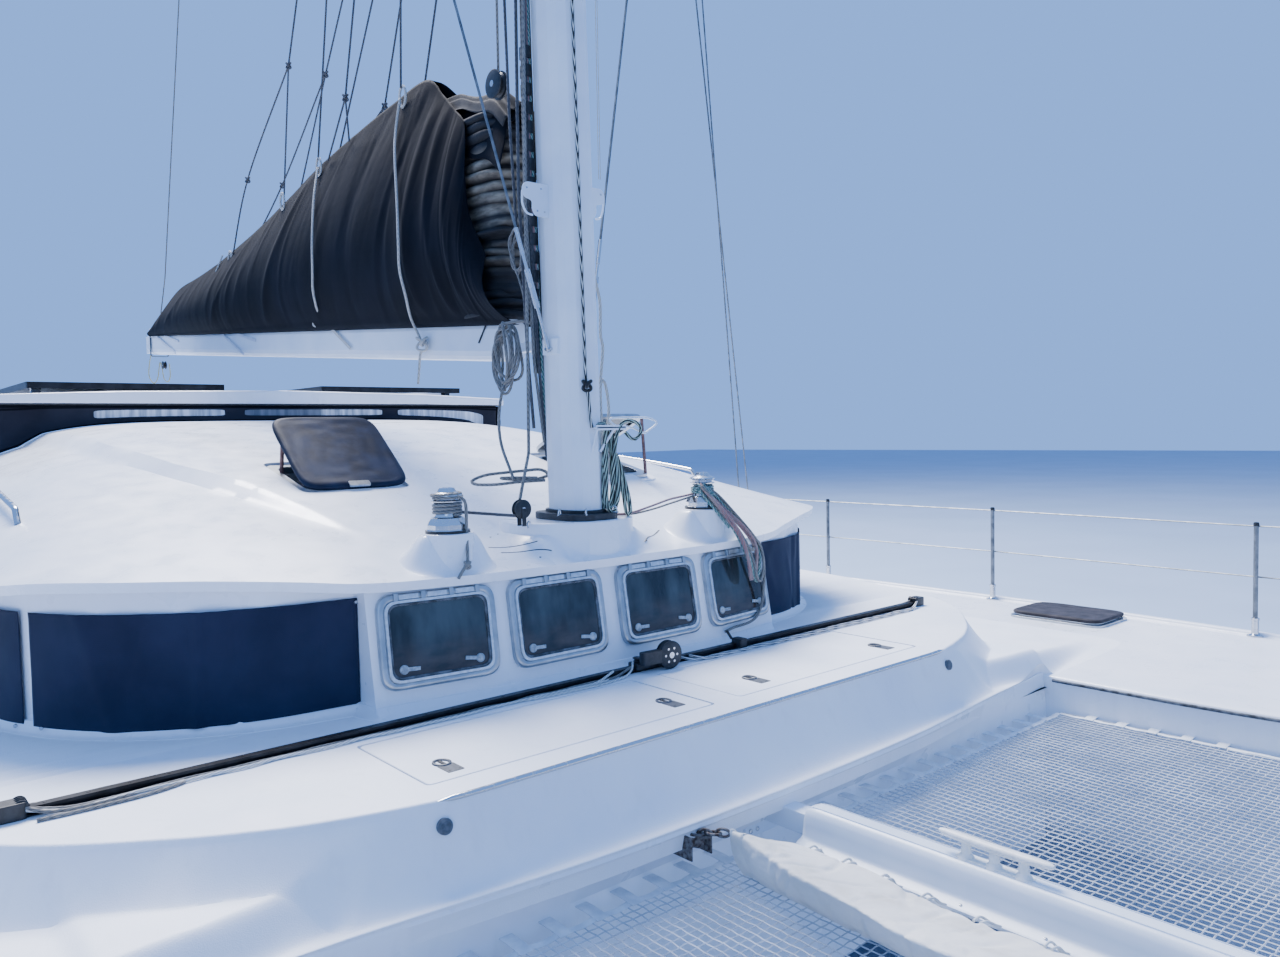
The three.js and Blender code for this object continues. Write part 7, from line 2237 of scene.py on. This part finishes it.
for name, finish, slot, shape in (
        ("sail_cover_hood", black_canvas, "canvas", head_sheet(0.25, 0.10, 0.040, 0.080, 0.62)),
        ("mainsail_head", sail_grey, "sailcloth", head_sheet(0.085, 0.12, 0.000, 0.060, 0.63))):
    piece = put(name, shape, finish, slot, body="boom", smooth=180)
    add_thickness(piece, 0.0016)
    size = cloth_size(shape, 60, 60)
    area_of(shape)
    print(name, size, "metres")
# %% [markdown]
# ## Rig
# What holds and hoists the sails: the mast's foot and fittings, the halyards that run down it,
# the lines that keep the sail cover up, and the straps round the boom. Tight lines run straight.

# %% Mast fittings
def mast_x(z):
    return 0.865 - (z - 2.343) * 0.0209


collar = shift(frame_ring(0.180, 0.130, 0.050, 0.0008, 0.027, 3.2), 0.865, 0, 2.343)
lip = shift(frame_ring(0.150, 0.096, 0.016, 0.020, 0.040, 2.6), 0.865, 0, 2.343)
put("mast_foot_band", join([collar, lip]), black_nylon, "black_plastic", smooth=35, bevel=0.002)
shackles, plates = [], []
a = np.linspace(0, np.pi, 16)
for x, y, turn in ((0.955, -0.150, 30), (1.030, -0.075, 60), (1.035, 0.070, 115), (0.90, -0.262, 20)):
    bow = np.column_stack([np.zeros(16), 0.011 * np.cos(a), 0.022 * np.sin(a) + 0.004])
    pin = rod((0, -0.016, 0.002), (0, 0.016, 0.002), 0.0035, 10)
    shackle = rotate(join([tube(bow, 0.0032, 8), pin]), "z", turn)
    shackles.append(shift(shackle, x, y, 2.369 if y > -0.2 else 2.325))
for side, sign in SIDES:
    foot = np.array([mast_x(3.052) - 0.010, 0.1026, 3.042])
    tip = np.array([mast_x(8.7) - 0.41, 1.449, 8.7])
    line = (tip - foot) / np.linalg.norm(tip - foot)
    parts = []
    for start, end, radius in ((-0.012, 0.070, 0.0095), (0.07, 0.17, 0.0065), (0.17, 0.33, 0.0125),
                               (0.33, 0.39, 0.0065), (0.39, 0.50, 0.0088)):
        parts.append(rod(foot + line * start, foot + line * end, radius, 16))
    parts.append(rod(foot - (0.020, 0, 0), foot + (0.020, 0, 0), 0.007, 12))
    shackles += [on_side(part, sign) for part in parts]
    for z in (3.64 if sign < 0 else 3.665, 6.1, 9.6, 12.4):
        outline = rounded([(0.070, -0.066), (0.150, -0.066), (0.166, -0.040), (0.163, -0.006),
                           (0.204, 0.004), (0.214, 0.040), (0.196, 0.066), (0.070, 0.066)],
                          [0.002, 0.012, 0.02, 0.012, 0.014, 0.02, 0.018, 0.002], 4)
        step = loft(np.stack([at_x(outline, x) for x in (-0.0022, 0.0022)]))
        bail = spline([(0, 0.162, -0.064), (-0.004, 0.190, -0.055), (-0.006, 0.207, -0.02),
                       (-0.002, 0.209, 0.03)], 24)
        plates += [on_side(shift(step, mast_x(z), 0, z), sign),
                   on_side(shift(tube(bail, 0.0045, 8), mast_x(z), 0, z), sign)]
        for y, up in ((0.105, -0.045), (0.140, -0.045), (0.120, 0.045), (0.190, 0.042)):
            rivet = lathe([(0, 0.0018), (0.0045, 0.0018), (0.004, 0.0042), (0, 0.0048)], 12, (0, 0, 0), "x")
            shackles.append(on_side(shift(rivet, mast_x(z), y, z + up), sign))
put("mast_steps", join(plates), spar_paint, "spar_paint", smooth=35)
GOOSENECK_PIN = [(0, 0), (0.022, 0), (0.024, 0.003), (0.022, 0.008), (0.011, 0.010), (0.010, 0.016),
                 (0, 0.016)]
shackles.append(lathe(GOOSENECK_PIN, 20, (0.635, 0, 3.1125)))
shackles.append(slab((0.712, -0.048, 3.012), (0.722, 0.048, 3.142), 0.004))
put("mast_rigging_screws", join(shackles), stainless, "stainless", smooth=40)

bracket = [slab((0.995, -0.010, 2.714), (1.028, 0.148, 2.719), 0.004),
           slab((1.024, -0.010, 2.706), (1.028, 0.148, 2.727), 0.001)]
bracket.append(rod((1.022, 0.088, 2.712), (0.998, 0.030, 2.618), 0.0055, 10))
bracket.append(rod((1.022, -0.002, 2.712), (0.995, -0.010, 2.618), 0.0055, 10))
bail = closed_spline([(1.00, 0.085, 2.752), (1.00, 0.20, 2.756), (1.00, 0.290, 2.754), (1.00, 0.342, 2.735),
                      (1.00, 0.300, 2.705), (1.00, 0.262, 2.692), (1.00, 0.20, 2.715),
                      (1.00, 0.12, 2.722)], 60)
bracket.append(sweep(bail, circle(0.0045, 8), (1, 0, 0), closed=True))
put("halyard_bracket", join(bracket), spar_paint, "spar_paint", smooth=40)
turning, turning_pin = sheave_block((0.905, -0.298, 2.402), 0.038, 0.030, "x")
cheek_strap = join([slab((0.886, -0.308, 2.335), (0.890, -0.288, 2.405), 0.002),
                    slab((0.920, -0.308, 2.335), (0.924, -0.288, 2.405), 0.002)])
put("turning_block", join([turning, cheek_strap]), black_nylon, "black_plastic", smooth=35)
put("turning_block_pin", turning_pin, stainless, "stainless", smooth=35)
head_block, head_pin = sheave_block((0.535, -0.120, 4.185), 0.060, 0.046, "y")
put("head_block", head_block, black_nylon, "black_plastic", body="boom", smooth=35)
put("head_block_pin", head_pin, stainless, "stainless", body="boom", smooth=35)
print("mast fittings made")

# %% Halyards on the mast
halyard_fleck = make_rope("braid_black_fleck", "#16191B", "#D3D6D2", "#3B3E40", share=0.42, plait=0.034)
crease = [(mast_x(z) + 0.1415, -0.034, z) for z in (2.905, 4.0, 6.0, 9.0, 13.0, 17.3)]
rope("jib_halyard", crease, 0.014, halyard_fleck, smooth=False)
tail_knot = knot(np.array([mast_x(2.89) + 0.152, -0.036, 2.888]), 0.046, 0.015)
put("jib_halyard_knot", tail_knot, halyard_fleck, "black_plastic", smooth=60)
free_rope("jib_halyard_tail", [(mast_x(2.86) + 0.149, -0.034, 2.872), (mast_x(2.8) + 0.153, -0.030, 2.82),
                               (mast_x(2.75) + 0.151, -0.026, 2.76), (mast_x(2.72) + 0.154, -0.020, 2.716)],
          0.014, halyard_fleck)
rope("main_halyard_down", [(0.875, -0.292, 2.41), (0.795, -0.182, 2.62), (0.775, -0.161, 3.0),
                           (0.760, -0.143, 3.65), (0.742, -0.116, 4.45), (0.62, -0.10, 10.0),
                           (0.49, -0.07, 19.2)], 0.014, rope_grey, smooth=False)
LINES = [
    # name, finish, thickness, across at heights 2.6, 3.0, 3.7, 4.48 and at the mast's head
    ("a", rope_dark, 0.013, (-0.050, -0.088, -0.100, -0.088, -0.04)),
    ("b", rope_teal, 0.012, (-0.045, -0.070, -0.078, -0.072, -0.03)),
    ("c", rope_grey, 0.013, (-0.060, -0.110, -0.122, -0.104, -0.05)),
    ("d", rope_red, 0.011, (-0.040, -0.062, -0.092, -0.082, -0.02)),
    ("e", rope_dark, 0.014, (-0.110, -0.140, -0.152, -0.130, -0.06)),
]
for i, (name, finish, thick, across) in enumerate(LINES):
    path = [(mast_x(z) - back, y, z)
            for y, z, back in zip(across, (2.60 + 0.03 * i, 3.0, 3.7, 4.48, 19.2),
                                  (0.124, 0.105, 0.110, 0.112, 0.10))]
    rope(f"spare_halyard_{name}", path, thick, finish, smooth=False)
rope("reef_pennant", [(0.70, -0.150, 3.56), (0.70, -0.170, 3.98), (0.695, -0.176, 4.463),
                      (0.47, -0.09, 19.0)], 0.012, rope_dark, smooth=False)
track = sweep(np.array([(mast_x(z) - 0.122, -0.078, z) for z in (2.95, 4.0, 8.0, 13.0, 18.5)]),
              rectangle(0.013, 0.016), (0, 1, 0))
cars = [slab((mast_x(z) - 0.150, -0.100, z), (mast_x(z) - 0.100, -0.070, z + 0.05), 0.008)
        for z in np.linspace(3.25, 4.25, 14)]
put("sail_track", join([track, *cars]), black_nylon, "black_plastic", smooth=35)
rope("sail_halyard", [(0.520, -0.100, 4.250), (0.515, -0.095, 4.6), (0.48, -0.05, 19.3)], 0.012, rope_grey,
     body=("boom", "root", (0.52, -0.1, 4.25), (0.52, -0.1, 5.2)), smooth=False)
port_thin = [(0.90, 0.132, 3.75), (0.90, 0.135, 4.55), (0.84, 0.12, 8.6)]
rope("flag_halyard_a", port_thin, 0.004, rope_white, smooth=False, sides=6)
rope("flag_halyard_b", [(x, y + 0.009, z) for x, y, z in port_thin], 0.004, rope_white, smooth=False, sides=6)
rope("winch_lead_starboard", [(0.905, -0.612, 2.415), (0.905, -0.330, 2.378)], 0.013, rope_dark, smooth=False)
free_rope("port_rope_loops", [(0.885, 0.104, 3.36), (0.880, 0.140, 3.25), (0.880, 0.140, 3.11),
                              (0.885, 0.147, 3.05), (0.88, 0.135, 2.92), (0.885, 0.118, 2.80),
                              (0.885, 0.115, 2.60), (0.890, 0.130, 2.49), (0.893, 0.150, 2.52),
                              (0.890, 0.162, 2.70), (0.885, 0.172, 2.80), (0.882, 0.164, 2.88),
                              (0.880, 0.148, 2.92), (0.884, 0.130, 2.88), (0.890, 0.127, 2.70),
                              (0.895, 0.128, 2.53), (0.90, 0.120, 2.45)], 0.013, rope_pale)
rope("winch_lead_port", [(0.955, 0.115, 2.352), (0.985, 0.20, 2.356), (0.985, 0.31, 2.376),
                         (0.975, 0.43, 2.398), (0.955, 0.53, 2.405), (0.945, 0.606, 2.412)], 0.010, rope_red)
rope("winch_lead_port_b", [(0.950, 0.120, 2.350), (0.975, 0.22, 2.350), (0.970, 0.34, 2.362),
                           (0.965, 0.45, 2.380), (0.950, 0.60, 2.402)],
     0.009, rope_grey)
print("halyards made")

# %% [markdown]
# Under the boom, short straps of white webbing and black cord pull the cover's edges together.
# Each hangs a little clear of the boom in a flat V, and the outermost strap goes round it.

# %% Straps and ties at the boom
def boom_band(x, low, high, side, wide, thick):
    """A flat strap round the boom at x, `low` under its middle and `high` above it."""
    ring = rounded([(-side, -low), (side, -low), (side, high), (-side, high)], 0.02, 4)
    path = np.column_stack([np.full(len(ring), x), ring[:, 0], ring[:, 1] + boom_z(x)])
    return sweep(path, rectangle(thick / 2, wide / 2), (1, 0, 0), closed=True)


def webbing(points, wide, thick=0.0022):
    """A flat strap along a path in the boom's side plane; its width stands across the path."""
    path = even(spline(points, 24 * len(points)), 0.02)
    return sweep(path, rectangle(wide / 2, thick / 2), (0, 1, 0))


webbing_finish = make_cloth("webbing_white", "#B9C3D4", "#DCE3EF", 0.0014, 0.8, patch=0.15, sheen=0.1)
straps = []
for x0, x1, x2 in ((-5.22, -4.375, -4.448), (-3.43, -2.607, -2.84)):
    for side in (-1, 1):
        y = side * 0.069
        top = boom_z(x0) + 0.125
        straps.append(webbing([(x0, y, top), (x1, y, boom_z(x1) + 0.012)], 0.018))
        straps.append(webbing([(x0 - 0.01, y * 1.02, top - 0.01), (x2, y * 1.02, boom_z(x2) - 0.082)], 0.018))
put("cover_straps", join(straps), webbing_finish, "canvas", body="boom", smooth=30)
ties = []
for x0, z0, x1, z1 in ((0.336, 3.222, 0.246, 3.117), (-0.66, 3.31, -0.63, 3.285),
                       (-0.21, 3.28, -0.17, 3.25), (0.02, 3.26, 0.06, 3.235)):
    ties += [rod((x0, s * 0.0655, z0), (x1, s * 0.0665, z1), 0.004, 8) for s in (-1, 1)]
put("boom_ties", join(ties), black_nylon, "black_plastic", body="boom", smooth=40)
print("boom straps made")

# %% Lazy jacks
def jack(name, top, points, diameter=0.011, finish=None):
    """A taut line from the spreader down to the boom."""
    return rope(name, [top, *points], diameter, finish or rope_dark, smooth=False,
                body=("root", "boom", top, points[0]))


SPREADER = (0.66, 0.30, 8.68)
for side, sign in SIDES:
    hold = (SPREADER[0], SPREADER[1] * sign, SPREADER[2])
    y = 0.115 * sign
    jack(f"jack_long_{side}", hold, [(-1.737, y, 4.936)])
    jack(f"jack_mid_{side}", (0.5, 0.45 * sign, 8.70), [(-1.49, y * 0.5, 4.33)])
    jack(f"jack_short_{side}", (0.66, 0.24 * sign, 8.68), [(-0.965, y, 4.538)])
    jack(f"jack_front_{side}", (0.5, 0.40 * sign, 8.70), [(-0.43, y * 0.55, 4.45)])
    legs = [
        [(-1.737, y, 4.936), (-2.503, y, 4.418), (-3.081, 0.045 * sign, 3.985)],
        [(-1.737, y, 4.936), (-2.069, 0.045 * sign, 4.215)],
        [(-0.965, y, 4.538), (-1.366, 0.05 * sign, 4.30)],
        [(-0.965, y, 4.538), (-1.077, 0.05 * sign, 4.34)],
    ]
    shapes = [rope_tube(even(spline(leg, 60), 0.02), 0.0052, 8)[0] for leg in legs]
    shapes += [knot(np.array(at), 0.040, 0.011)
               for at in ((-1.737, y, 4.936), (-0.965, y, 4.538), (-2.503, y, 4.418))]
    put(f"jack_legs_{side}", join(shapes), rope_dark, "black_plastic", body="boom", smooth=60)
    loops = []
    turn = np.linspace(0, 2 * np.pi, 24, endpoint=False)
    for x, z in ((-0.43, 4.41), (-1.49, 4.29), (-2.071, 4.20), (-3.09, 3.99)):
        ring = np.column_stack([x + 0.032 * np.cos(turn), np.full(24, 0.055 * sign),
                                z + 0.052 * np.sin(turn)])
        loops.append(sweep(ring, circle(0.007, 8), (0, 1, 0), closed=True))
    put(f"jack_loops_{side}", join(loops), rope_pale, "black_plastic", body="boom", smooth=60)
free_rope("jack_tail_front", [(-0.42, -0.075, 4.395), (-0.400, -0.113, 4.232), (-0.322, -0.164, 4.083),
                              (-0.182, -0.232, 3.791), (-0.120, -0.264, 3.619), (-0.148, -0.248, 3.489),
                              (-0.175, -0.207, 3.372), (-0.262, -0.137, 3.278), (-0.289, -0.083, 3.200),
                              (-0.251, -0.083, 3.150), (-0.20, -0.090, 3.162), (-0.215, -0.083, 3.122),
                              (-0.272, -0.083, 3.110), (-0.298, -0.080, 3.036), (-0.315, -0.080, 2.957)],
          0.013, rope_pale, body="boom")
free_rope("jack_tail_mid", [(-1.49, -0.062, 4.285), (-1.345, -0.154, 4.055), (-1.222, -0.223, 3.80),
                            (-1.224, -0.226, 3.643), (-1.270, -0.209, 3.536), (-1.310, -0.178, 3.454),
                            (-1.44, -0.105, 3.405), (-1.546, -0.083, 3.400), (-1.477, -0.090, 3.370),
                            (-1.36, -0.083, 3.372)],
          0.013, rope_pale, body="boom")
jack_knots = [knot(np.array(at), 0.075, 0.013) for at in ((-1.50, -0.092, 3.392), (-0.235, -0.095, 3.155))]
jack_knots.append(webbing([(-1.477, -0.078, 3.40), (-0.902, -0.078, 3.297)], 0.018))
jack_knots.append(webbing([(-1.477, -0.076, 3.40), (-1.10, -0.074, 3.195)], 0.018))
jack_knots.append(rod((-3.31, -0.035, 4.05), (-3.35, -0.075, 3.93), 0.006, 8))
put("jack_knots", join(jack_knots), rope_pale, "black_plastic", body="boom", smooth=60)
topping = [(-4.209, 0.0, 6.201), (-4.405, 0.0, 5.631), (-4.934, 0.0, 4.102), (-5.15, 0.0, 3.745)]
rope("topping_lift", [(0.42, 0, 19.3), *topping], 0.010, rope_grey, smooth=False,
     body=("root", "boom", (0.42, 0, 19.3), topping[-1]))
block, block_pin = sheave_block((-4.998, -0.02, 3.355), 0.035, 0.030, "y")
end_parts = [boom_band(-5.20, 0.112, 0.118, 0.072, 0.030, 0.004), block]
put("boom_end_block", join(end_parts), black_nylon, "black_plastic", body="boom", smooth=35)
put("boom_end_block_pin", block_pin, stainless, "stainless", body="boom", smooth=35)
free_rope("outhaul_loops", [(-5.325, -0.040, 3.475), (-5.345, -0.055, 3.36), (-5.35, -0.055, 3.27),
                            (-5.31, -0.03, 3.215), (-5.26, -0.01, 3.255), (-5.25, 0.005, 3.36),
                            (-5.24, 0.012, 3.40), (-5.22, 0.02, 3.34), (-5.21, 0.03, 3.25),
                            (-5.17, 0.05, 3.222), (-5.13, 0.06, 3.27), (-5.12, 0.055, 3.38)], 0.008,
                            rope_yellow, body="boom")
print("jacks made", rope_lengths)
# %% [markdown]
# ## Floor and light
# The boat floats, so the studio's floor is where the water would be, at height zero. A wide soft
# lamp overhead stands for a bright overcast sky, and a pale blue world fills the shadows, which
# is why the upright white faces look a little blue, as they do on a boat outdoors.

# %% Floor
FLOOR_HALF = 90.0
floor_finish = two_tone("studio_floor", "#98ACC4", 3.0, "#95A9C1", "#9BAFC7", Roughness=0.75)
floor_mesh = bpy.data.meshes.new("studio_floor")
corners = [(-1, -1), (1, -1), (1, 1), (-1, 1)]
floor_mesh.from_pydata([(FLOOR_HALF * x, FLOOR_HALF * y, 0.0) for x, y in corners], [], [(0, 1, 2, 3)])
floor_mesh.materials.append(floor_finish)
floor = bpy.data.objects.new("studio_floor", floor_mesh)
bpy.context.scene.collection.objects.link(floor)

# %% Light
def area_lamp(name, place, target, size, power, colour):
    data = bpy.data.lights.new(name, "AREA")
    data.shape = "DISK"
    data.size = size
    data.energy = power
    data.color = srgb(colour)[:3]
    lamp = bpy.data.objects.new(name, data)
    bpy.context.scene.collection.objects.link(lamp)
    aim = (Vector(target) - Vector(place)).to_track_quat("-Z", "Y")
    lamp.matrix_world = Matrix.Translation(place) @ aim.to_matrix().to_4x4()
    return lamp


area_lamp("sky_lamp", (-16.0, 4.0, 28.0), (0.0, 0.0, 1.5), 16.0, 33000.0, "#FCF9FC")
area_lamp("side_lamp", (24.0, -20.0, 12.0), (0.0, 0.0, 2.0), 14.0, 900.0, "#A8C8F5")

world = bpy.data.worlds.new("soft_sky")
bpy.context.scene.world = world
world.use_nodes = True
sky = world.node_tree.nodes["Background"]
sky.inputs["Color"].default_value = srgb("#76A4F0")
sky.inputs["Strength"].default_value = 1.5
print("stage ready")
